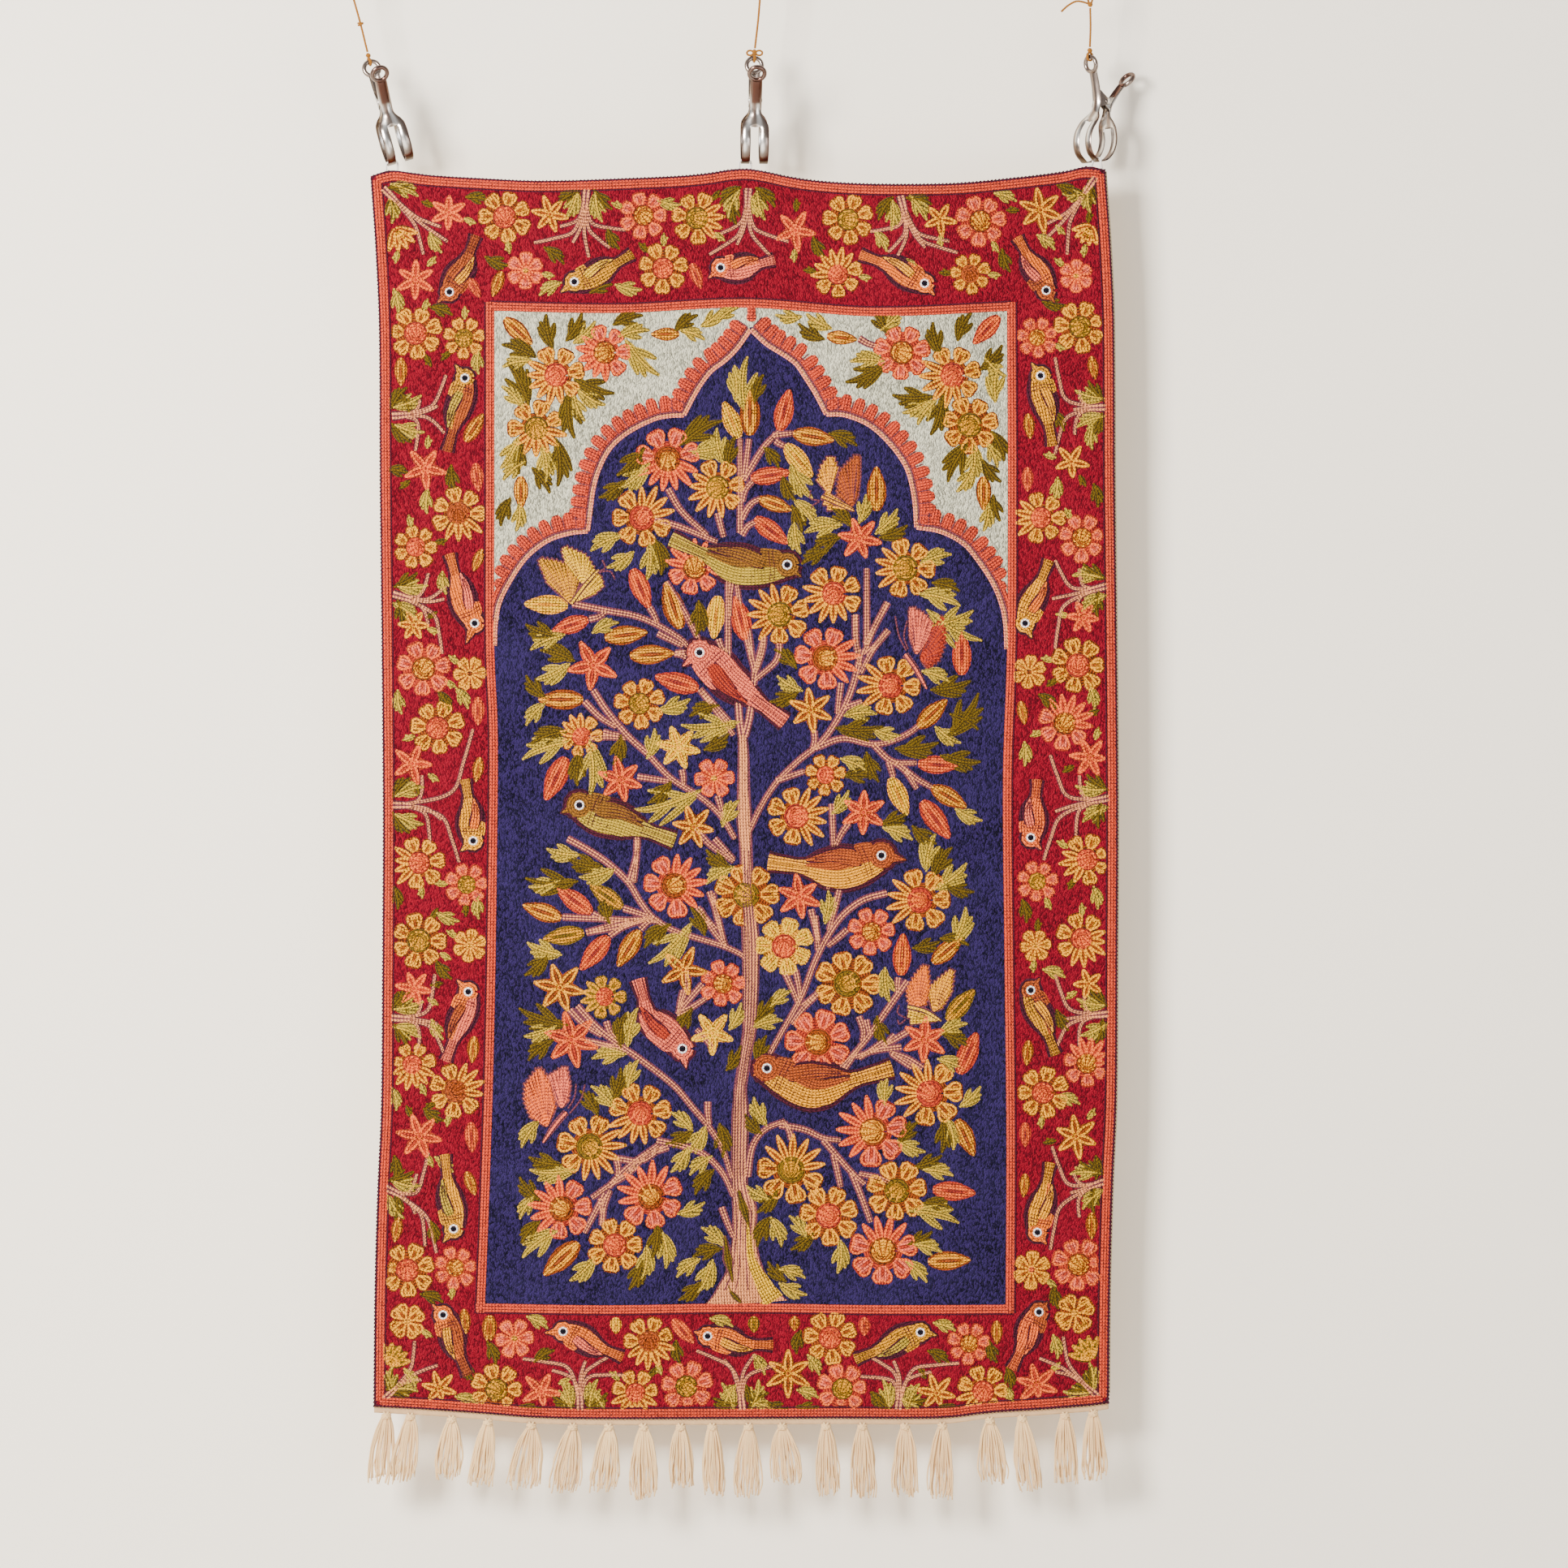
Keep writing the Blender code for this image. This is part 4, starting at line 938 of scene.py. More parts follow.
FIELD_FLOWERS = [
    (823, 566, 36, "coral", "gold"), (884, 601, 32, "gold", "olivegold", 160),
    (791, 638, 35, "gold", "coral", -45), (856, 699, 32, "coral", "gold"),
    (731, 820, 31, "coral", "coral", "star"), (788, 867, 29, "gold", "olivegold"),
    (716, 907, 25, "gold", "coral"), (765, 961, 28, "coral", "coral", "star"),
    (836, 921, 27, "lightgold", "gold", "star"), (880, 959, 23, "coral", "gold"),
    (855, 1019, 26, "gold", "gold", "star"), (831, 1091, 36, "coral", "gold"),
    (920, 1103, 37, "gold", "olivegold"), (842, 1195, 29, "gold", "gold", "star"),
    (891, 1212, 27, "coral", "gold"), (878, 1273, 27, "lightgold", "gold", "star"),
    (690, 1217, 31, "gold", "orange", "star"), (745, 1228, 25, "olivegold", "coral"),
    (704, 1281, 33, "coral", "coral", "star"), (789, 1372, 35, "gold", "coral"),
    (727, 1413, 37, "gold", "olivegold", 45), (692, 1489, 36, "coral", "gold"),
    (802, 1474, 37, "coral", "gold", -135), (758, 1534, 32, "gold", "coral"),
    (1059, 664, 26, "coral", "coral", "star"), (1115, 700, 34, "gold", "olivegold", 180),
    (1027, 732, 33, "gold", "coral"), (960, 757, 34, "gold", "olivegold", 180),
    (1017, 811, 36, "coral", "gold", 0), (1097, 845, 35, "gold", "coral", 180),
    (999, 875, 27, "gold", "orange", "star"), (1017, 955, 24, "gold", "coral"),
    (1064, 1001, 28, "coral", "coral", "star"), (982, 1006, 34, "gold", "coral", 0),
    (985, 1105, 27, "coral", "coral", "star"), (1133, 1109, 36, "gold", "orange", 180),
    (1074, 1148, 27, "coral", "gold"), (966, 1166, 33, "lightgold", "coral"),
    (1044, 1212, 38, "gold", "olivegold"), (1139, 1281, 28, "coral", "coral", "star"),
    (1008, 1284, 37, "coral", "gold"), (1145, 1347, 38, "gold", "coral"),
    (1075, 1394, 39, "coral", "gold", 180), (975, 1441, 38, "gold", "olivegold", -90),
    (1105, 1467, 35, "gold", "olivegold"), (1021, 1498, 34, "gold", "coral"),
    (1088, 1541, 39, "coral", "gold", -90),
]

# Buds: from, to, outer wool
BUDS = [
    (924, 538, 924, 480, "gold"), (911, 541, 892, 495, "lightgold"), (960, 532, 973, 480, "coral"),
    (976, 534, 1028, 543, "gold"), (967, 547, 1001, 588, "lightgold"),
    (924, 590, 974, 582, "coral"), (934, 614, 976, 629, "gold"), (929, 638, 971, 670, "coral"),
    (1080, 631, 1080, 575, "gold"), (779, 700, 800, 750, "coral"), (839, 776, 820, 717, "gold"),
    (885, 733, 879, 787, "lightgold"), (919, 790, 906, 734, "coral"),
    (701, 746, 646, 744, "lightgold"), (726, 763, 680, 778, "coral"), (744, 786, 798, 779, "gold"),
    (775, 808, 831, 805, "gold"), (862, 849, 807, 833, "coral"), (720, 862, 663, 862, "gold"),
    (698, 932, 672, 986, "coral"), (730, 1126, 686, 1094, "coral"),
    (768, 1119, 727, 1090, "olivegold"), (693, 1132, 644, 1115, "gold"),
    (721, 1149, 669, 1157, "olivegold"), (751, 1153, 715, 1195, "coral"),
    (789, 1145, 761, 1191, "gold"), (714, 1530, 670, 1571, "gold"),
    (1185, 833, 1185, 778, "coral"), (1130, 897, 1167, 862, "gold"),
    (1130, 941, 1181, 944, "coral"), (1097, 957, 1118, 1005, "lightgold"),
    (1147, 969, 1191, 995, "gold"), (1135, 986, 1170, 1033, "coral"),
    (1110, 1203, 1113, 1150, "orange"), (1148, 1187, 1186, 1155, "gold"),
    (1166, 1258, 1201, 1219, "olivegold"), (1181, 1324, 1204, 1272, "coral"),
    (1179, 1378, 1200, 1424, "gold"), (1148, 1465, 1202, 1470, "coral"),
    (1142, 1554, 1196, 1552, "gold"), (621, 392, 656, 425, "gold"), (838, 412, 802, 412, "gold"),
    (642, 586, 642, 627, "gold"), (1232, 389, 1199, 424, "coral"), (1018, 414, 1056, 419, "gold"),
    (1212, 586, 1212, 629, "gold"), (494, 440, 494, 476, "gold"), (573, 545, 596, 510, "gold"),
    (586, 570, 590, 606, "coral"), (580, 1382, 582, 1420, "coral"), (589, 858, 589, 894, "coral"),
    (605, 1620, 605, 1652, "gold"), (828, 1625, 855, 1655, "coral"),
    (929, 1621, 929, 1642, "olivegold"), (979, 1621, 979, 1640, "gold"),
    (1065, 1622, 1065, 1646, "coral"), (1228, 1626, 1228, 1656, "gold"),
    (759, 1622, 759, 1643, "lightgold"), (1266, 575, 1266, 606, "coral"),
    (1263, 1382, 1263, 1413, "coral"),
]

# Leaves of the field and the spandrels: centre, tip, and 1 where the wool is the darker one
HANDS = [
    (860, 536, 888, 520, 1), (867, 553, 890, 548), (780, 566, 762, 584, 1), (784, 584, 764, 600),
    (757, 601, 740, 612, 1), (750, 668, 730, 678), (799, 688, 797, 712), (810, 683, 814, 706, 1),
    (888, 553, 884, 530), (901, 560, 906, 540, 1), (905, 478, 903, 457), (919, 478, 921, 442),
    (934, 482, 940, 464, 1), (950, 564, 958, 575, 1), (986, 590, 1000, 612),
    (972, 601, 980, 616, 1), (989, 629, 1002, 645), (981, 638, 987, 654, 1), (982, 660, 986, 680),
    (1036, 541, 1054, 549, 1), (1062, 629, 1066, 612), (1037, 638, 1024, 626, 1),
    (1018, 651, 994, 656), (1022, 668, 1004, 676, 1), (1090, 645, 1104, 629),
    (1098, 656, 1116, 648, 1), (1150, 690, 1170, 684), (1006, 686, 990, 694, 1),
    (767, 688, 750, 698), (859, 759, 857, 782, 1), (671, 778, 650, 770, 1), (678, 790, 656, 800),
    (745, 774, 760, 768), (690, 809, 668, 802, 1), (684, 826, 662, 836), (828, 869, 848, 862),
    (661, 847, 650, 834, 1), (661, 879, 650, 892), (680, 908, 656, 916, 1), (678, 923, 646, 935),
    (714, 944, 712, 966, 1), (726, 942, 726, 980), (761, 921, 756, 940, 1), (801, 919, 806, 900),
    (881, 915, 896, 905, 1), (815, 974, 800, 988, 1), (827, 984, 781, 997),
    (871, 875, 852, 882, 1), (880, 891, 842, 893), (899, 1005, 910, 988), (697, 1050, 676, 1046),
    (724, 1063, 702, 1058, 1), (739, 1075, 716, 1080), (674, 1088, 654, 1092),
    (684, 1084, 650, 1082, 1), (749, 1123, 746, 1106, 1), (813, 1151, 796, 1166, 1),
    (829, 1159, 801, 1185), (861, 1138, 852, 1120, 1), (888, 1060, 872, 1048, 1),
    (890, 1077, 872, 1088), (674, 1170, 652, 1162), (663, 1187, 648, 1200, 1),
    (846, 1256, 838, 1272, 1), (905, 1254, 912, 1238), (669, 1269, 648, 1276),
    (674, 1254, 642, 1243, 1), (669, 1292, 653, 1305, 1), (768, 1273, 772, 1250, 1),
    (779, 1269, 786, 1244), (754, 1301, 732, 1304), (903, 1305, 912, 1290, 1),
    (655, 1395, 644, 1412), (727, 1361, 716, 1346, 1), (675, 1431, 654, 1426, 1),
    (685, 1441, 655, 1441), (759, 1339, 764, 1318, 1), (746, 1355, 730, 1340),
    (779, 1326, 786, 1308), (655, 1467, 642, 1452, 1), (650, 1487, 642, 1500),
    (655, 1517, 644, 1530, 1), (670, 1530, 646, 1548), (850, 1489, 866, 1482),
    (807, 1526, 803, 1548, 1), (818, 1537, 820, 1560), (720, 1561, 704, 1576),
    (794, 1552, 790, 1574), (785, 1567, 776, 1586, 1), (841, 1383, 828, 1372),
    (859, 1402, 846, 1420), (839, 1400, 822, 1408, 1), (839, 1426, 828, 1442),
    (865, 1435, 852, 1446), (870, 1454, 858, 1470, 1), (888, 1402, 890, 1424, 1),
    (881, 1526, 866, 1514), (874, 1543, 856, 1548, 1), (850, 1561, 836, 1572),
    (870, 1569, 860, 1590), (852, 1589, 838, 1600, 1), (907, 1597, 912, 1604, 1),
    (969, 813, 956, 802, 1), (975, 843, 960, 834), (968, 858, 950, 864, 1),
    (1164, 723, 1180, 728, 1), (1154, 738, 1181, 746), (1170, 763, 1197, 753),
    (1172, 768, 1208, 788), (1151, 833, 1168, 840), (1168, 845, 1194, 839, 1),
    (1183, 885, 1204, 856, 1), (1185, 888, 1203, 898, 1), (1166, 904, 1182, 914),
    (1057, 881, 1078, 880), (1055, 896, 1086, 895, 1), (1091, 902, 1108, 906),
    (1126, 919, 1154, 915, 1), (1074, 942, 1082, 961, 1), (1180, 934, 1206, 938, 1),
    (1192, 1003, 1208, 1010), (1050, 942, 1066, 950), (1055, 957, 1074, 958, 1),
    (1034, 990, 1044, 976), (1099, 1009, 1116, 1002, 1), (1103, 1026, 1122, 1034),
    (1137, 1027, 1152, 1038, 1), (1018, 1121, 1020, 1100), (1146, 1054, 1152, 1030),
    (1160, 1065, 1172, 1046, 1), (1168, 1082, 1189, 1065), (1181, 1094, 1198, 1098, 1),
    (1140, 1164, 1156, 1160, 1), (1093, 1210, 1096, 1232), (1181, 1145, 1189, 1120),
    (1174, 1160, 1191, 1164, 1), (939, 1246, 950, 1230, 1), (943, 1262, 962, 1258),
    (939, 1296, 944, 1278, 1), (962, 1231, 974, 1222), (1172, 1269, 1190, 1262),
    (1175, 1281, 1192, 1290, 1), (1086, 1267, 1092, 1284, 1), (1170, 1311, 1186, 1318),
    (929, 1385, 918, 1372, 1), (938, 1372, 930, 1354), (936, 1470, 922, 1462),
    (947, 1478, 934, 1492, 1), (1092, 1346, 1094, 1328), (1118, 1398, 1130, 1384, 1),
    (1120, 1411, 1138, 1418), (1194, 1352, 1206, 1340), (1161, 1396, 1160, 1418, 1),
    (1170, 1394, 1174, 1414), (1142, 1431, 1158, 1424, 1), (1153, 1444, 1172, 1448),
    (1153, 1485, 1170, 1488, 1), (1146, 1498, 1179, 1506), (984, 1513, 974, 1500),
    (990, 1528, 976, 1538, 1), (1034, 1545, 1032, 1566), (1131, 1526, 1146, 1518, 1),
    (1140, 1537, 1158, 1542), (1127, 1565, 1140, 1578), (942, 1515, 934, 1534, 1),
    (955, 1515, 962, 1534), (958, 1567, 948, 1556, 1), (975, 1569, 990, 1574),
    (975, 1587, 992, 1594), (706, 406, 716, 388, 1), (718, 412, 732, 398), (771, 396, 790, 390, 1),
    (778, 412, 798, 408), (789, 438, 811, 461), (678, 412, 674, 390, 1), (643, 434, 621, 426, 1),
    (640, 448, 622, 452), (729, 475, 755, 484, 1), (726, 488, 744, 498), (713, 501, 720, 517),
    (704, 508, 708, 538, 1), (640, 477, 626, 449, 1), (634, 492, 620, 478), (630, 555, 618, 575),
    (642, 563, 640, 582, 1), (670, 568, 672, 592), (686, 566, 687, 597, 1),
    (845, 399, 858, 390, 1), (853, 413, 866, 418), (876, 392, 888, 382), (897, 387, 908, 380),
    (635, 579, 622, 590), (665, 590, 676, 606, 1), (624, 629, 618, 646, 1), (638, 636, 636, 652),
    (1002, 410, 986, 400, 1), (972, 389, 958, 388), (1011, 397, 996, 388),
    (1085, 400, 1074, 384, 1), (1096, 396, 1108, 384), (1155, 421, 1150, 400, 1),
    (1187, 406, 1196, 388, 1), (1219, 443, 1233, 427, 1), (1226, 452, 1238, 462),
    (1228, 477, 1230, 454), (1128, 488, 1102, 487, 1), (1132, 500, 1114, 508),
    (1155, 508, 1147, 534, 1), (1144, 506, 1132, 522), (1070, 458, 1044, 470, 1),
    (1072, 446, 1050, 446), (1228, 547, 1236, 566, 1), (1222, 560, 1228, 574),
    (1183, 566, 1169, 592, 1), (1198, 568, 1194, 592), (1221, 579, 1232, 592, 1),
    (1191, 588, 1180, 604), (1228, 625, 1232, 640, 1), (1215, 636, 1212, 652),
]

# Leaves of the border: centre, angle, length, wool
BORDER_LEAVES = [
    (584, 354, 60, 30, "coral"), (613, 350, 110, 34, "gold"), (613, 322, 20, 30, "dark"),
    (683, 316, 40, 30, "dark"), (678, 357, 150, 28, "light"), (774, 354, 10, 34, "light"),
    (858, 340, 70, 34, "coral"), (488, 372, 80, 30, "light"), (589, 690, 112, 30, "gold"),
    (527, 619, 92, 26, "light"), (559, 589, 80, 32, "dark"), (493, 582, 10, 20, "dark"),
    (570, 862, 60, 24, "light"), (589, 948, 100, 32, "gold"), (583, 1293, 95, 34, "gold"),
    (580, 1458, 70, 32, "gold"), (489, 1515, 100, 32, "gold"), (573, 1628, 85, 32, "gold"),
    (601, 1636, 95, 32, "gold"), (1347, 453, 80, 30, "gold"), (1268, 525, 85, 32, "gold"),
    (1260, 878, 80, 30, "gold"), (1266, 1297, 95, 32, "gold"), (1262, 1460, 95, 30, "gold"),
    (1345, 1510, 90, 34, "gold"), (663, 1630, 30, 26, "light"), (606, 1668, 70, 26, "dark"),
    (672, 1670, -30, 24, "dark"), (653, 1735, 0, 26, "dark"), (699, 1731, 60, 20, "light"),
    (726, 1735, 90, 18, "dark"), (740, 1731, 60, 20, "light"), (836, 1667, 80, 24, "dark"),
    (890, 1630, 20, 26, "light"), (899, 1720, 120, 22, "light"), (895, 1735, 20, 22, "dark"),
    (927, 1720, 60, 22, "dark"), (940, 1733, 20, 24, "light"), (936, 1683, 60, 22, "light"),
    (1003, 1683, 60, 24, "light"), (984, 1655, 100, 24, "dark"), (997, 1718, 20, 22, "light"),
    (997, 1733, 0, 22, "dark"), (960, 1733, 20, 22, "dark"), (1081, 1729, 60, 22, "dark"),
    (1094, 1733, 90, 18, "light"), (1122, 1731, 30, 22, "light"), (1165, 1635, 20, 24, "light"),
    (1157, 1672, 30, 26, "dark"), (1224, 1666, 70, 24, "dark"), (1170, 1737, 0, 22, "dark"),
    (1244, 1724, 70, 26, "light"), (497, 1238, 70, 20, "dark"), (536, 1374, 30, 24, "dark"),
    (1290, 300, 40, 22, "light"), (1300, 374, 10, 24, "dark"), (1240, 322, 70, 26, "dark"),
    (1086, 300, 60, 22, "light"), (1010, 306, 60, 24, "dark"), (905, 262, 80, 30, "dark"),
    (934, 256, 60, 24, "light"), (757, 296, 60, 24, "dark"), (826, 250, 10, 24, "light"),
    (590, 246, 10, 22, "dark"), (538, 300, 60, 24, "light"), (1240, 244, 20, 24, "light"),
    (1316, 236, 30, 24, "dark"), (1120, 330, 30, 22, "light"), (742, 356, -20, 26, "dark"),
    (1304, 520, 60, 24, "dark"), (1346, 540, 90, 26, "light"), (1300, 604, 100, 26, "light"),
    (1350, 612, 80, 24, "dark"), (1292, 866, 40, 22, "dark"), (1346, 862, 80, 22, "light"),
    (1262, 930, 90, 26, "light"), (1262, 1124, 80, 24, "dark"), (1350, 1108, 80, 22, "light"),
    (1300, 1200, 20, 24, "light"), (1310, 1258, 60, 24, "dark"), (1318, 1356, 20, 24, "light"),
    (1350, 1440, 90, 24, "dark"), (1302, 1600, 80, 22, "dark"), (1300, 1660, 80, 26, "light"),
    (545, 384, 20, 24, "dark"), (590, 448, 90, 24, "light"), (500, 500, 70, 22, "dark"),
    (548, 720, 80, 22, "light"), (548, 866, 60, 22, "dark"), (493, 866, 80, 26, "light"),
    (553, 1130, 20, 26, "light"), (488, 1108, 80, 22, "dark"), (548, 1196, 50, 24, "dark"),
    (590, 1120, 90, 22, "light"), (540, 1270, 60, 22, "light"), (486, 1356, 80, 22, "light"),
    (548, 1436, 40, 24, "light"), (486, 1440, 90, 24, "dark"), (533, 1520, 80, 24, "dark"),
    (533, 1600, 20, 26, "dark"), (506, 1700, 60, 22, "light"), (576, 1726, 20, 26, "light"),
    (578, 1690, 60, 24, "dark"), (1318, 1730, 10, 24, "dark"), (1243, 1700, 80, 20, "dark"),
]

# Sprigs of the border: root, then the ends of their branches
SPRIGS = [
    ((483, 513), [(518, 492), (550, 462), (548, 534), (512, 556), (540, 500)]),
    ((484, 732), [(528, 706), (550, 722), (548, 738), (545, 806), (528, 770)]),
    ((484, 992), [(520, 955), (583, 898), (544, 1010), (566, 1063), (530, 1040)]),
    ((482, 1254), [(520, 1232), (536, 1200), (548, 1300), (516, 1292), (540, 1262)]),
    ((475, 1463), [(514, 1446), (528, 1420), (524, 1536), (538, 1544), (512, 1496)]),
    ((471, 1726), [(511, 1652), (540, 1682), (520, 1700)]),
    ((472, 232), [(522, 314), (552, 298), (544, 280)]),
    ((1364, 502), [(1330, 480), (1300, 440), (1324, 536), (1300, 560), (1322, 505)]),
    ((1364, 722), [(1330, 700), (1300, 690), (1296, 738), (1300, 800), (1326, 750)]),
    ((1367, 983), [(1330, 955), (1294, 930), (1300, 1000), (1286, 1060), (1326, 1030)]),
    ((1367, 1249), [(1336, 1226), (1300, 1200), (1298, 1300), (1330, 1290), (1312, 1256)]),
    ((1362, 1455), [(1322, 1444), (1296, 1412), (1294, 1540), (1330, 1500), (1318, 1470)]),
    ((1354, 1722), [(1280, 1673), (1310, 1646), (1300, 1690)]),
    ((1350, 218), [(1285, 298), (1315, 314), (1290, 276)]),
    ((723, 234), [(690, 280), (658, 300), (726, 318), (752, 306), (772, 284), (706, 300)]),
    ((922, 232), [(874, 314), (888, 288), (908, 302), (950, 316), (972, 298)]),
    ((1109, 242), [(1072, 286), (1094, 312), (1106, 316), (1170, 298), (1180, 312), (1140, 306)]),
    ((715, 1738), [(680, 1688), (644, 1674), (722, 1676), (749, 1672), (772, 1694)]),
    ((915, 1740), [(858, 1664), (892, 1675), (931, 1668), (956, 1682)]),
    ((1106, 1740), [(1060, 1696), (1073, 1672), (1101, 1676), (1148, 1690), (1182, 1679)]),
]

# Birds: tip of the tail, back, eye, tip of the beak, body, wing, plumpness, side of the belly
# and the wool of the belly and the tail
BIRDS = [
    (587, 290, 572, 330, 554, 360, 538, 374, "brown", "gold", 17, 1, "brown"),
    (780, 313, 742, 336, 708, 348, 690, 362, "olivegold", "lightgold", 17, -1, "olivegold"),
    (955, 320, 920, 330, 888, 330, 872, 344, "coral", "orange", 17, -1, "pink"),
    (551, 557, 564, 508, 573, 466, 560, 448, "olivegold", "light", 17, 1, "brown"),
    (554, 682, 566, 728, 585, 768, 574, 794, "orange", "pink", 17, 1, "orange"),
    (573, 960, 580, 1002, 583, 1036, 566, 1050, "gold", "orange", 17, 1, "gold"),
    (549, 1308, 566, 1262, 577, 1222, 562, 1206, "orange", "brown", 17, 1, "pink"),
    (548, 1422, 554, 1474, 559, 1514, 545, 1532, "olivegold", "light", 17, -1, "gold"),
    (577, 1695, 560, 1656, 546, 1620, 532, 1606, "orange", "gold", 17, 1, "brown"),
    (1059, 314, 1102, 330, 1139, 350, 1152, 366, "orange", "gold", 17, 1, "orange"),
    (1253, 292, 1272, 326, 1289, 358, 1300, 374, "brown", "pink", 17, -1, "orange"),
    (1297, 550, 1288, 500, 1282, 463, 1270, 446, "olivegold", "gold", 17, -1, "gold"),
    (1293, 690, 1276, 732, 1263, 768, 1272, 788, "gold", "orange", 17, 1, "gold"),
    (1278, 960, 1274, 1000, 1270, 1032, 1284, 1048, "coral", "pink", 17, -1, "coral"),
    (1301, 1300, 1284, 1256, 1270, 1220, 1282, 1204, "brown", "gold", 17, -1, "olivegold"),
    (1294, 1432, 1286, 1476, 1278, 1518, 1290, 1534, "orange", "gold", 17, 1, "gold"),
    (1246, 1687, 1264, 1650, 1280, 1616, 1292, 1602, "brown", "coral", 17, -1, "coral"),
    (768, 1672, 730, 1656, 694, 1640, 670, 1642, "orange", "pink", 17, 1, "orange"),
    (953, 1657, 912, 1656, 872, 1646, 854, 1640, "orange", "gold", 17, 1, "orange"),
    (1053, 1675, 1096, 1658, 1134, 1641, 1156, 1645, "olivegold", "light", 17, -1, "olivegold"),
    (826, 664, 905, 700, 970, 696, 988, 712, "bronze", "bronze", 23, 1, "light"),
    (968, 890, 898, 838, 862, 804, 840, 822, "pink", "scarlet", 24, 1, "pink"),
    (832, 1036, 760, 1010, 714, 992, 690, 1002, "bronze", "bronze", 24, -1, "light"),
    (946, 1062, 1032, 1074, 1086, 1054, 1118, 1060, "brown", "brown", 25, 1, "gold"),
    (786, 1206, 800, 1254, 841, 1292, 846, 1318, "pink", "scarlet", 20, -1, "pink"),
    (1100, 1316, 1004, 1344, 945, 1316, 926, 1326, "brown", "brown", 25, -1, "gold"),
]

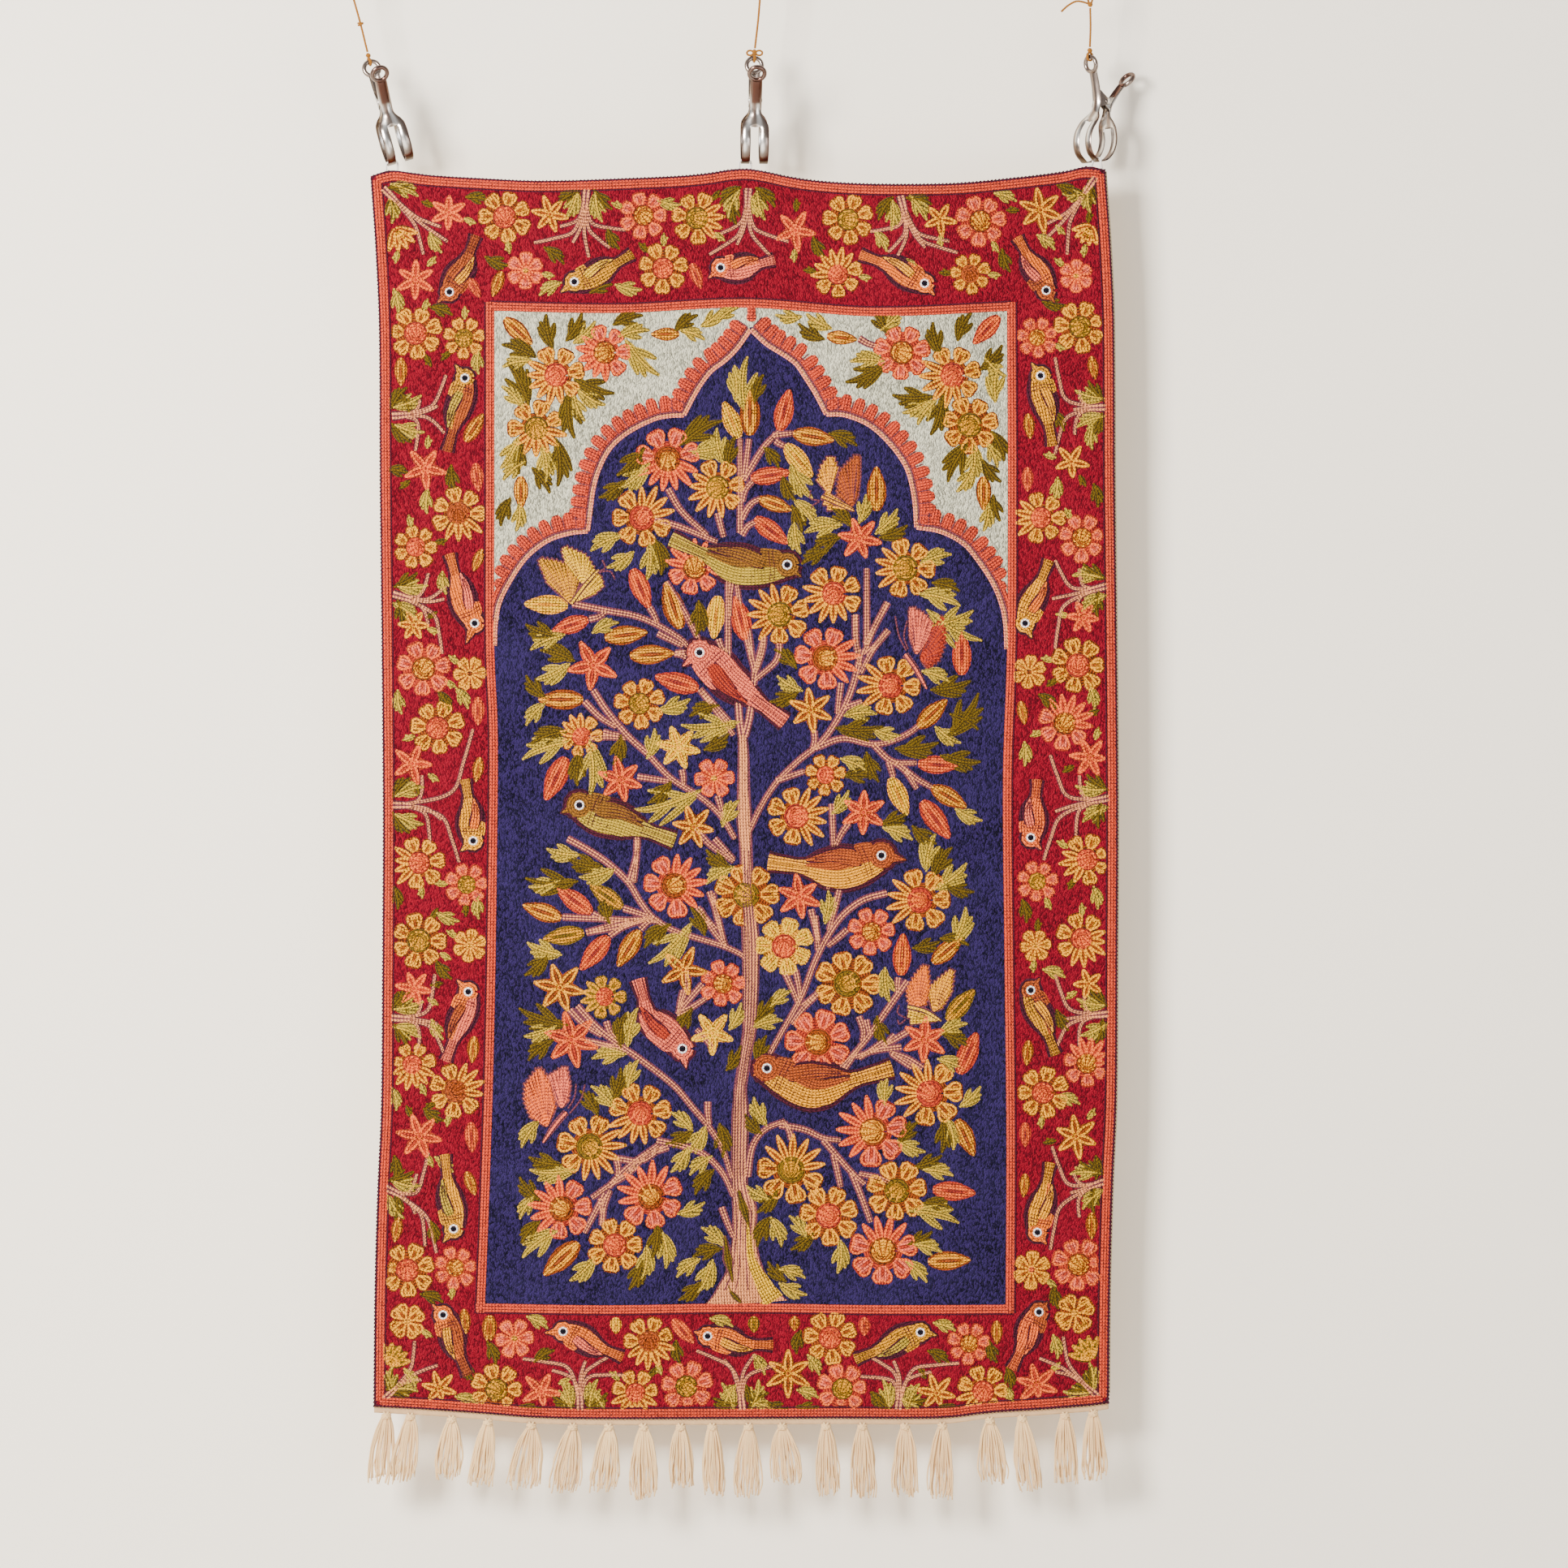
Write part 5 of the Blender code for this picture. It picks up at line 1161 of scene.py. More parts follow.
# Twigs of the tree, each a line from its root to its tip or the other way
TWIGS = [
    ((912, 657), (912, 600), (912, 540)), ((917, 588), (920, 564), (923, 540)),
    ((916, 592), (942, 550), (960, 532)), ((952, 537), (966, 535), (978, 534)),
    ((955, 543), (962, 548), (968, 550)), ((914, 640), (924, 622), (938, 614)),
    ((914, 660), (922, 648), (934, 642)), ((914, 618), (920, 600), (928, 592)),
    ((897, 803), (897, 760), (897, 700)), ((930, 826), (914, 760), (905, 700)),
    ((930, 830), (936, 806), (941, 784)), ((926, 812), (924, 790), (922, 774)),
    ((705, 744), (751, 753), (783, 759), (810, 770), (842, 790), (850, 801)),
    ((726, 763), (738, 760), (748, 752)), ((800, 748), (806, 758), (810, 768)),
    ((810, 780), (826, 788), (842, 796)), ((831, 805), (840, 807), (848, 812)),
    ((897, 800), (880, 806), (850, 801)), ((862, 849), (874, 862), (899, 889)),
    ((731, 850), (747, 875), (775, 908), (798, 929), (827, 959), (863, 982), (888, 1005),
     (906, 1034)), ((720, 864), (740, 884), (760, 896)), ((743, 902), (752, 904), (764, 906)),
    ((785, 957), (806, 960), (827, 963)), ((840, 948), (842, 958), (842, 968)),
    ((880, 1033), (892, 1046), (905, 1060)), ((884, 980), (888, 994), (890, 1006)),
    ((699, 1033), (726, 1048), (751, 1065), (775, 1088), (789, 1111), (804, 1130), (827, 1145),
     (863, 1157), (892, 1166), (916, 1178), (928, 1192)), ((785, 1031), (784, 1060), (781, 1088)),
    ((693, 1130), (740, 1132), (785, 1134)), ((722, 1149), (740, 1144), (757, 1138)),
    ((751, 1153), (760, 1146), (768, 1140)), ((730, 1126), (744, 1132), (758, 1136)),
    ((874, 1098), (884, 1128), (891, 1156)), ((859, 1118), (872, 1134), (884, 1146)),
    ((842, 1220), (838, 1236), (836, 1250)), ((834, 1250), (854, 1240), (871, 1229)),
    ((711, 1239), (735, 1265), (764, 1288), (789, 1305), (831, 1338), (854, 1365), (874, 1389),
     (891, 1417), (902, 1452)), ((747, 1258), (752, 1272), (760, 1281)),
    ((730, 1284), (750, 1288), (768, 1290)), ((872, 1357), (872, 1370), (874, 1386)),
    ((809, 1405), (846, 1413), (870, 1424), (891, 1446), (904, 1474)),
    ((824, 1413), (796, 1424), (774, 1446), (750, 1461), (729, 1476)),
    ((759, 1426), (762, 1440), (760, 1454)), ((746, 1470), (732, 1496), (720, 1519)),
    ((740, 1476), (742, 1492), (744, 1508)), ((785, 1441), (780, 1436), (776, 1444)),
    ((889, 1487), (896, 1506), (904, 1524)), ((1068, 799), (1068, 750), (1068, 700)),
    ((1066, 794), (1080, 768), (1093, 742)), ((1067, 806), (1082, 792), (1095, 776)),
    ((1058, 812), (1054, 784), (1053, 757)),
    ((1062, 800), (1050, 847), (1036, 879), (1013, 913), (983, 938), (956, 965), (937, 995),
     (922, 1026)), ((1036, 841), (1034, 860), (1032, 880)),
    ((1040, 872), (1052, 868), (1063, 864)),
    ((1004, 922), (1038, 910), (1076, 917), (1099, 913), (1122, 902), (1132, 894)),
    ((1076, 917), (1099, 938), (1130, 940)), ((1099, 938), (1114, 948), (1130, 972)),
    ((1112, 946), (1130, 960), (1148, 970)), ((1095, 938), (1098, 948), (1101, 958)),
    ((956, 962), (974, 956), (992, 950)), ((1025, 990), (1026, 1018), (1027, 1044)),
    ((1046, 1014), (1036, 1028), (1029, 1044)), ((1034, 1096), (1028, 1122), (1021, 1147)),
    ((1093, 1100), (1063, 1109), (1038, 1128), (1019, 1155), (1004, 1185), (987, 1229),
     (966, 1267), (944, 1306)), ((1004, 1128), (1006, 1144), (1009, 1160)),
    ((1044, 1145), (1032, 1156), (1019, 1166)), ((980, 1195), (984, 1214), (986, 1230)),
    ((1010, 1222), (998, 1232), (987, 1240)),
    ((1118, 1208), (1095, 1241), (1067, 1281), (1046, 1305), (1021, 1330)),
    ((1067, 1256), (1070, 1268), (1072, 1276)), ((1107, 1204), (1106, 1214), (1106, 1224)),
    ((1111, 1290), (1080, 1294), (1054, 1302)), ((1103, 1275), (1094, 1284), (1088, 1292)),
    ((1124, 1315), (1110, 1306), (1098, 1298)),
    ((921, 1450), (927, 1413), (942, 1392), (968, 1381)),
    ((960, 1386), (992, 1392), (1014, 1402), (1036, 1405)),
    ((1014, 1404), (1031, 1424), (1051, 1446), (1066, 1459)),
    ((1049, 1444), (1062, 1476), (1073, 1506)), ((1027, 1422), (1032, 1444), (1036, 1463)),
    ((1058, 417), (1070, 424), (1084, 428)), ((757, 1138), (785, 1133), (815, 1136)),
    ((722, 1149), (760, 1142), (800, 1130)), ((751, 1153), (768, 1142), (800, 1132)),
    ((768, 1119), (790, 1126), (812, 1134)), ((789, 1145), (796, 1138), (806, 1132)),
    ((862, 1120), (880, 1148), (896, 1168)), ((878, 1100), (884, 1132), (894, 1166)),
    ((857, 1020), (874, 1040), (905, 1062)), ((760, 1427), (790, 1430), (818, 1412)),
    ((750, 1462), (776, 1436), (812, 1410)), ((742, 1510), (744, 1488), (752, 1466)),
    ((846, 1195), (846, 1216), (836, 1246)), ((866, 1212), (852, 1228), (834, 1250)),
    ((878, 1290), (866, 1276), (858, 1268)), ((720, 1282), (746, 1288), (770, 1296)),
    ((702, 1244), (720, 1262), (742, 1276)), ((775, 1088), (785, 1050), (786, 1034)),
    ((1003, 900), (1004, 912), (1000, 926)), ((1094, 742), (1078, 772), (1064, 806)),
    ((1054, 757), (1055, 790), (1060, 822)), ((1095, 776), (1076, 800), (1060, 830)),
    ((1036, 1044), (1026, 1070), (1020, 1096)), ((999, 1120), (1006, 1150), (1008, 1172)),
    ((966, 1196), (978, 1222), (985, 1240)), ((1010, 1222), (990, 1242), (975, 1262)),
    ((1120, 1270), (1096, 1284), (1060, 1302)), ((1058, 1252), (1064, 1270), (1062, 1284)),
    ((1090, 1282), (1076, 1292), (1058, 1304)), ((1137, 1316), (1118, 1304), (1096, 1296)),
    ((1025, 1340), (1044, 1312), (1062, 1286)), ((1110, 1465), (1086, 1452), (1058, 1446)),
    ((975, 1404), (972, 1392), (966, 1382)), ((832, 805), (852, 803), (868, 803)),
    ((868, 803), (884, 802), (897, 806)), ((820, 717), (842, 752), (862, 790)),
    ((885, 787), (888, 796), (896, 806)), ((862, 849), (884, 878), (904, 906)),
    ((715, 912), (744, 908), (772, 910)), ((823, 602), (840, 630), (872, 660)),
    ((806, 640), (840, 650), (884, 668)), ((884, 632), (888, 648), (892, 662)),
    ((905, 700), (900, 730), (899, 760)), ((941, 784), (940, 800), (932, 826)),
    ((960, 792), (958, 812), (930, 838)),
]

# The trunk and its two strands: across, down, half width
TRUNK = [
    (919, 1606, 54), (918, 1590, 38), (918, 1569, 25), (917, 1545, 18), (917, 1520, 14.5),
    (918, 1490, 16), (911, 1461, 9.5), (911, 1420, 9.5), (912, 1374, 10), (912, 1340, 7),
    (918, 1300, 7), (923, 1273, 8), (925, 1215, 9.5), (925, 1157, 10.5), (921, 1100, 8),
    (919, 1050, 7), (917, 1010, 9), (916, 970, 7), (916, 931, 6), (915, 905, 5),
]
STRANDS = [
    ((914, 908), (911, 886), (909, 862), (900, 826), (897, 800)),
    ((917, 908), (922, 890), (925, 872), (928, 846), (930, 826)),
]

# The olive leaves on the trunk: line and half widths
ROOT_LEAVES = [
    ([(893, 1522), (897, 1550), (903, 1580)], (1, 6.4, 1)),
    ([(910, 1466), (915, 1484), (923, 1512)], (2, 7.4, 1)),
    ([(899, 1590), (906, 1598), (914, 1605)], (1, 5.0, 1)),
]

# The cusped arch, left and right of its apex, each as curves between its cusps
ARCH = [
    ((925, 406), (908, 430), (893, 445), (876, 458), (860, 480), (843, 512)),
    ((843, 512), (824, 513), (806, 517), (773, 534), (752, 553), (739, 577), (732, 600),
     (728, 628), (724.5, 655)),
    ((724.5, 655), (704, 657), (676, 666), (650, 686), (630, 714), (616, 742), (611, 768),
     (610, 796)),
    ((925, 406), (944, 424), (963, 436), (980, 448), (992, 465), (1004, 484), (1018, 511)),
    ((1018, 511), (1041, 512), (1072, 525), (1098, 549), (1115, 573), (1122, 592), (1127, 620),
     (1129, 650)),
    ((1129, 650), (1158, 655), (1187, 670), (1206, 692), (1224, 720), (1235, 748), (1239, 772),
     (1240, 800)),
]
# Which side of each curve is outside
ARCH_OUTWARD = (1, 1, 1, -1, -1, -1)

# The middle line of the inner band, clockwise from its top left, and its corners
INNER_BAND = [
    [(604, 378), (760, 381), (918, 374), (1080, 385), (1246, 378)],
    [(1246, 372), (1247, 600), (1246, 800), (1241, 960), (1243, 1200), (1245, 1400), (1244, 1618)],
    [(1249, 1612), (1080, 1613), (918, 1611), (750, 1613), (586, 1611)],
    [(592, 1618), (597, 1490), (603, 1300), (607, 1060), (608, 900), (604, 800), (604, 600),
     (604, 372)],
]
BAND_HALF = 5.6
THIN_HALF = 0.9
# Rows along the cloth's edge: how far inside it, wool, half width and lift
EDGE_ROWS = [
    (7.0, "orangered", BAND_HALF, TOP), (13.6, "plum", THIN_HALF, HIGH), (1.1, "plum", 1.1, HIGH),
]


def draw_bands():
    """The orange bands along the cloth's edge and round the field, with their thin plum rows."""
    for line in INNER_BAND:
        row("orangered", line, BAND_HALF, TOP)
    inset = BAND_HALF + THIN_HALF
    for line, (out_x, out_y) in zip(INNER_BAND, ((0, -1), (1, 0), (0, 1), (-1, 0))):
        row("plum", [(x + out_x * inset, y + out_y * inset) for x, y in line], THIN_HALF, HIGH)
    for inset, colour, half, lift in EDGE_ROWS:
        for line in edge_lines(inset):
            row(colour, line, half, lift)


def edge_lines(inset):
    """The four lines that run this many steps inside the cloth's edges."""
    inset = inset * STEP
    half = PANEL_WIDTH / 2 - inset
    down = np.linspace(inset, PANEL_LENGTH - inset, 60)
    across = np.linspace(-half, half, 40)
    return [
        to_chart(hang(across, inset)), to_chart(hang(half, down)),
        to_chart(hang(across, PANEL_LENGTH - inset)), to_chart(hang(-half, down)),
    ]


def draw_arch():
    """The arch's pale double row, and outside it the scallops with plum rows between them."""
    for line, side in zip(ARCH, ARCH_OUTWARD):
        line = np.array(line, float)
        place = run_of(line)
        count = max(2, round(place[-1] / SCALLOP))
        for offset, half, colour, lift in (
            (1.4, 1.3, "beige", TOP), (-1.4, 1.2, "pinkbeige", TOP), (4.2, 1.4, "mauve", HIGH),
            (8.0, 3.4, "orangered", MID),
        ):
            path, out = offset_line(line, place, np.linspace(0, place[-1], 4 * count + 1), side)
            row(colour, path + out * offset, half=half, lift=lift)
        centre, out = offset_line(line, place, (np.arange(count) + 0.5) * place[-1] / count, side)
        for start, away in zip(centre, out):
            room = ARCH_ROOM - abs((start + away * 26)[0] - FIELD_MIDDLE[0] - 7)
            if room > -14:
                far = 26 + min(0.0, room)
                row("orangered", [start + away * 6, start + away * far / 2, start + away * far],
                    [6.6, 7.0, 7.4, 7.0, 4.4], HIGH)
        joints, out = offset_line(line, place, np.arange(count + 1) * place[-1] / count, side)
        for start, away in zip(joints, out):
            if ARCH_ROOM > abs((start + away * 20)[0] - FIELD_MIDDLE[0] - 7):
                row("mauve", [start + away * 5, start + away * 20.5], [0.9, 0.8], TOP)
    for rise, half in ((13, 6.0), (21, 5.4)):
        row("orangered", [(926 - half, 404 - rise), (926 + half, 404 - rise)],
            [4.6, 6.2, 4.6], TOP)


def offset_line(line, place, at, side):
    """Points at these places along the line, with the unit vector that points outward."""
    nudge = 0.5
    ahead = curve_at(line, place, at + nudge) - curve_at(line, place, at - nudge)
    ahead /= np.linalg.norm(ahead, axis=1)[:, None] + 1e-9
    return curve_at(line, place, at), side * np.stack([-ahead[:, 1], ahead[:, 0]], 1)


def draw_tree():
    """The trunk with its strands, twigs, and the sprigs of the border."""
    down = np.linspace(TRUNK[0][1], TRUNK[-1][1], 90)
    across, halves = (np.interp(-down, [-y for _, y, _ in TRUNK], [part[k] for part in TRUNK])
                      for k in (0, 2))
    line = np.stack([across, down], 1)
    row("mauve", line, halves + 1.6, LOW)
    row("beige", line, halves, MID)
    for share, rows in ((-0.66, 66), (-0.3, 74), (0.1, 70), (0.5, 72)):
        seam = line + np.stack([halves * share, 0 * down], 1)
        row("mauve", seam[2:rows:3], 1.2, HIGH)
    row("lightgold", [(952, 1604), (940, 1584), (926, 1552), (922, 1516), (919, 1490)],
        [16, 11, 7, 4, 2], HIGH)
    for colour, grown, lift in (("mauve", 1.2, HIGH), ("olive", 0.0, TOP)):
        for leaf_line, halves in ROOT_LEAVES:
            row(colour, leaf_line, [half + grown for half in halves], lift)
    for line in STRANDS:
        twig(line, half=3.8)
    for line in TWIGS:
        twig(line)
    for root, ends in SPRIGS:
        draw_sprig(np.array(root, float), np.array(ends, float))


def draw_sprig(root, ends):
    """A thick stem that parts into curved twigs, with two leaves each side of its root."""
    inward = np.mean(ends, axis=0) - root
    inward /= np.linalg.norm(inward)
    side = np.array([-inward[1], inward[0]])
    stem = [root, root + inward * 12, root + inward * 26]
    for end in ends:
        long = np.linalg.norm(end - root)
        start = root + inward * 10
        bend = start + inward * long * 0.34 + (end - start) * 0.18
        twig([start, bend, bend + (end - bend) * 0.5 + inward * 2.0, end], half=2.0)
    row("mauve", stem, np.array([6.6, 5.6, 3.2]), MID)
    for share in (-0.5, 0.5):
        row("beige", [p + side * share * w for p, w in zip(stem, (5.2, 4.6, 2.6))],
            [2.5, 2.2, 1.4], HIGH)
    for way in (-1, 1):
        foot = root + side * way * 10
        for dark, ahead, out in ((1, 20, 22), (0, 36, 12)):
            tip = keep_in(foot + inward * ahead + side * way * out)
            leaf(*keep_in((foot + tip) / 2), *tip, dark)


def keep_in(point, inset=SPRIG_INSET):
    """The place of the chart nearest to this one that lies inside the cloth's bands."""
    top, right, bottom, left = (np.array(line)[::4] for line in edge_lines(inset))
    x = min(max(point[0], np.interp(point[1], left[:, 1], left[:, 0])),
            np.interp(point[1], right[:, 1], right[:, 0]))
    y = min(max(point[1], np.interp(x, top[:, 0], top[:, 1])),
            np.interp(x, bottom[:, 0], bottom[:, 1]))
    return np.array([x, y])


def draw_motifs():
    """The flowers, buds, leaves and birds of the chart."""
    for charted in BORDER_FLOWERS + SPANDREL_FLOWERS + FIELD_FLOWERS:
        flower(*charted)
    for *places, outer in BUDS:
        bud(places[:2], places[2:], outer)
    for charted in HANDS:
        leaf(*charted)
    for charted in BORDER_LEAVES:
        border_leaf(*charted)
    for points in BIRDS:
        bird(points[:2], points[2:4], points[4:6], points[6:8], *points[8:])


def border_places():
    """Middle and reach of all that the border holds, to find room between."""
    taken = [(x, y, reach) for x, y, reach, *_ in BORDER_FLOWERS]
    taken += [((x0 + x1) / 2, (y0 + y1) / 2, 14.0) for x0, y0, x1, y1, *_ in BUDS]
    taken += [(x, y, 12.0) for x, y, *_ in BORDER_LEAVES]
    for points in BIRDS:
        tail, back, look, beak = (np.array(points[k:k + 2], float) for k in (0, 2, 4, 6))
        taken += [(*(tail + (back - tail) * share), 15.0) for share in (0.1, 0.4, 0.7)]
        taken += [(*back, 20.0), (*look, 16.0), (*beak, 8.0)]
    for root, ends in SPRIGS:
        for end in ends:
            taken += [(*(np.array(root) + (np.array(end) - root) * share), 10.0)
                      for share in (0.0, 0.3, 0.6, 0.9)]
    return np.array(taken)


# The field with its band, across and down, which the border's leaves keep out of
FIELD_BOX = ((584, 1266), (356, 1624))
PEEP_REACH = 14.0
PEEP_ROOM = 2.5


def draw_peeping_leaves():
    """Up to two leaves that show from behind each flower of the border, where there is room."""
    taken = border_places()
    for number, (x, y, reach, *_) in enumerate(BORDER_FLOWERS):
        turn, grown = DRAW.random() * math.pi / 4, 0
        for k in (0, 4, 2, 6, 1, 5, 3, 7):
            centre, angle = np.array([x, y], float), turn + k * math.pi / 4
            tip = polar(centre, angle, reach + PEEP_REACH)
            in_field = all(low < place < high for place, (low, high) in zip(tip, FIELD_BOX))
            beside = np.delete(taken, number, axis=0)
            room = np.linalg.norm(beside[:, :2] - tip, axis=1) - beside[:, 2]
            if in_field or room.min() < PEEP_ROOM or np.linalg.norm(keep_in(tip) - tip) > 0.1:
                continue
            colour = "olive" if grown else "light"
            for lean, start, long, half in ((0.0, -2.0, 17.0, 4.6), (0.5, 0.0, 11.0, 2.8)):
                root = polar(centre, angle, reach + start)
                bend = polar(root, angle + lean * 0.6, long * 0.55)
                row(colour, [root, bend, polar(root, angle + lean, long)],
                    [2.0, half, half * 0.8, 1.2], MID - 0.1 * MM)
            taken = np.concatenate([taken, [[*tip, 8.0]]])
            grown += 1
            if grown == 2:
                break


def draw_butterflies():
    """The five butterflies of the field."""
    butterfly(
        [("olivegold", (704, 744), [(674, 713), (664, 687), (682, 689), (697, 693), (711, 713)]),
         ("lightgold", (718, 719), [(699, 694), (693, 672), (708, 677), (721, 682), (733, 700)]),
         ("lightgold", (709, 741), [(740, 707), (745, 717), (735, 727)])],
        [(704, 744), (720, 722), (738, 702)],
        [[(735, 705), (746, 700), (742, 690)], [(738, 705), (752, 704), (758, 714)]])
    butterfly(
        [("brown", (1050, 624), [(1031, 607), (1036, 577), (1057, 558), (1057, 586), (1055, 607)]),
         ("gold", (1022, 609), [(1008, 588), (1014, 571), (1024, 559), (1030, 573)]),
         ("gold", (1052, 628), [(1014, 609), (1013, 616), (1018, 624)])],
        [(1012, 612), (1030, 620), (1053, 630)],
        [[(1010, 617), (998, 614), (999, 604)], [(1010, 618), (1000, 624), (1000, 628)]])
    butterfly(
        [("scarlet", (1134, 812),
          [(1144, 788), (1152, 769), (1164, 756), (1167, 782), (1159, 812), (1147, 823)]),
         ("pink", (1129, 806), [(1123, 780), (1123, 746), (1137, 753), (1150, 765), (1144, 785)])],
        [(1115, 806), (1128, 824), (1142, 849)],
        [[(1117, 802), (1108, 784), (1103, 759)], [(1119, 800), (1114, 784), (1118, 764)]])
    butterfly(
        [("orange", (1130, 1240),
          [(1119, 1235), (1118, 1215), (1130, 1198), (1141, 1186), (1145, 1214), (1142, 1234)]),
         ("gold", (1150, 1246), [(1146, 1222), (1151, 1210), (1174, 1193), (1172, 1218),
                                 (1161, 1238)]),
         ("lightgold", (1156, 1257), [(1119, 1239), (1117, 1247), (1120, 1257)])],
        [(1118, 1240), (1140, 1246), (1160, 1258)],
        [[(1116, 1254), (1106, 1248), (1108, 1238)], [(1116, 1256), (1108, 1262), (1106, 1256)]])
    butterfly(
        [("coral", (674, 1388),
          [(653, 1372), (646, 1352), (648, 1332), (664, 1313), (676, 1331), (683, 1360)]),
         ("pink", (692, 1365), [(684, 1350), (676, 1323), (696, 1312), (701, 1333), (699, 1352)])],
        [(698, 1370), (684, 1386), (669, 1408)],
        [[(700, 1366), (708, 1352), (710, 1335)], [(702, 1372), (716, 1354), (721, 1336)]])


def draw_whipping():
    """The plum stitches that bind the cloth's edge, one beside the next."""
    for inner, outer in zip(edge_lines(3.4), edge_lines(-0.7)):
        count = int(run_of(inner)[-1] / WHIP_STEP)
        at, share = np.linspace(0, 1, count), np.linspace(0, 1, len(inner))
        starts, ends = (
            np.stack([np.interp(at, share, column) for column in line.T], 1)
            for line in (inner, outer)
        )
        for start, end in zip(starts[:-1], ends[1:]):
            row("plum", [start, end], 0.95, HIGH)


# Materials

# How much deeper a dye is than the colour it shows as, and how strongly the stage is lit
DYE_DEPTH = 2.6
LIGHT_LEVEL = 2.5
LUMA = (0.2126, 0.7152, 0.0722)
BRIGHTEST_DYE = 0.92


def linear(red, green, blue):
    """A colour given in 0 to 255 as it looks on a screen, as the shader's linear values."""
    shares = [value / 255 for value in (red, green, blue)]
    return tuple(s / 12.92 if s <= 0.04045 else ((s + 0.055) / 1.055) ** 2.4 for s in shares)


def deepened(red, green, blue):
    """The dye that shows as this colour, since the picture's view pales strong light."""
    shown = linear(red, green, blue)
    bright = LUMA[0] * shown[0] + LUMA[1] * shown[1] + LUMA[2] * shown[2]
    depth = 1.0 + DYE_DEPTH * max(0.0, bright - 0.1)
    level = 0.88 * bright / (1.0 - bright) / LIGHT_LEVEL
    return tuple(min(BRIGHTEST_DYE, level * (share / bright) ** depth) for share in shown)


# Lighter and darker tone of each wool; the darker also paints the shade between the stitches
WOOL_TONES = {
    "orangered": ((234, 112, 78), (138, 44, 38)),
    "coral": ((250, 150, 92), (156, 48, 24)),
    "scarlet": ((216, 90, 56), (140, 30, 30)),
    "gold": ((247, 188, 54), (134, 72, 6)),
    "amber": ((186, 98, 30), (92, 38, 8)),
    "lightgold": ((238, 200, 76), (136, 94, 14)),
    "light": ((204, 184, 98), (104, 84, 26)),
    "olive": ((140, 114, 24), (70, 50, 6)),
    "moss": ((156, 126, 34), (86, 62, 10)),
    "olivegold": ((220, 178, 56), (104, 72, 8)),
    "orange": ((244, 156, 68), (160, 74, 20)),
    "brown": ((206, 118, 62), (118, 50, 26)),
    "pink": ((240, 152, 126), (164, 72, 70)),
    "bronze": ((176, 128, 56), (88, 54, 22)),
    "beige": ((226, 180, 142), (138, 84, 70)),
    "pinkbeige": ((230, 172, 150), (158, 96, 92)),
    "mauve": ((156, 86, 98), (90, 40, 56)),
    "plum": ((112, 36, 62), (54, 8, 30)),
    "white": ((255, 252, 246), (206, 196, 184)),
    "navy": ((22, 16, 40), (8, 4, 18)),
}
# Ground wools: lighter, darker and cloudy tones; the darker also paints the shade between the
# stitches
GROUND_TONES = {
    "crimson_ground": ((192, 10, 50), (114, 0, 28), (200, 26, 66)),
    "navy_ground": ((68, 48, 116), (8, 3, 32), (92, 76, 150)),
    "pale_ground": ((207, 205, 192), (162, 160, 146), (220, 218, 208)),
}
# Lighter and darker tone of each undyed cotton; on woven cotton the darker also paints the shade
# between threads
COTTON_TONES = {
    "backing_cotton": ((214, 204, 184), (168, 156, 134)),
    # The strip's tones are its cotton toned down towards the wall's shade colour: partly painted
    # shade
    "strip_cotton_painted_shade": ((214, 194, 168), (164, 140, 114)),
    "tassel_cotton": ((250, 210, 184), (192, 146, 122)),
    "loop_cotton": ((244, 236, 218), (202, 188, 162)),
}


def add_node(tree, kind, **settings):
    made = tree.nodes.new(kind)
    for name, value in settings.items():
        setattr(made, name, value)
    return made


def feed(tree, socket, value):
    if isinstance(value, bpy.types.NodeSocket):
        tree.links.new(value, socket)
    else:
        socket.default_value = value


def calc(tree, operation, *values):
    """The output of a Math node over these sockets or numbers."""
    made = add_node(tree, "ShaderNodeMath", operation=operation)
    for socket, value in zip(made.inputs, values):
        feed(tree, socket, value)
    return made.outputs[0]


def blend_colours(tree, share, first, second):
    """The output of a Mix node between two colours, given as sockets or linear values."""
    made = add_node(tree, "ShaderNodeMix", data_type="RGBA")
    made.clamp_factor = True
    feed(tree, made.inputs["Factor"], share)
    for name, value in (("A", first), ("B", second)):
        socket = next(s for s in made.inputs if s.name == name and s.type == "RGBA")
        feed(tree, socket, value if isinstance(value, bpy.types.NodeSocket) else (*value, 1.0))
    return next(s for s in made.outputs if s.type == "RGBA")


def noise(tree, place, scale, detail=2.0, rough=0.5):
    made = add_node(tree, "ShaderNodeTexNoise")
    feed(tree, made.inputs["Vector"], place)
    made.inputs["Scale"].default_value = scale
    made.inputs["Detail"].default_value = detail
    made.inputs["Roughness"].default_value = rough
    return made.outputs["Fac"]


def stretch(tree, place, scale, turn=(0.0, 0.0, 0.0)):
    made = add_node(tree, "ShaderNodeMapping")
    feed(tree, made.inputs["Vector"], place)
    made.inputs["Scale"].default_value = scale
    made.inputs["Rotation"].default_value = turn
    return made.outputs["Vector"]


def new_group(name, inputs, outputs):
    """A shader node group with these named sockets, and its tree and inner ends."""
    tree = bpy.data.node_groups.new(name, "ShaderNodeTree")
    for label, kind, default in inputs:
        socket = tree.interface.new_socket(label, in_out="INPUT", socket_type=kind)
        if default is not None:
            socket.default_value = default
    for label, kind in outputs:
        tree.interface.new_socket(label, in_out="OUTPUT", socket_type=kind)
    return tree, add_node(tree, "NodeGroupInput").outputs, add_node(tree, "NodeGroupOutput").inputs


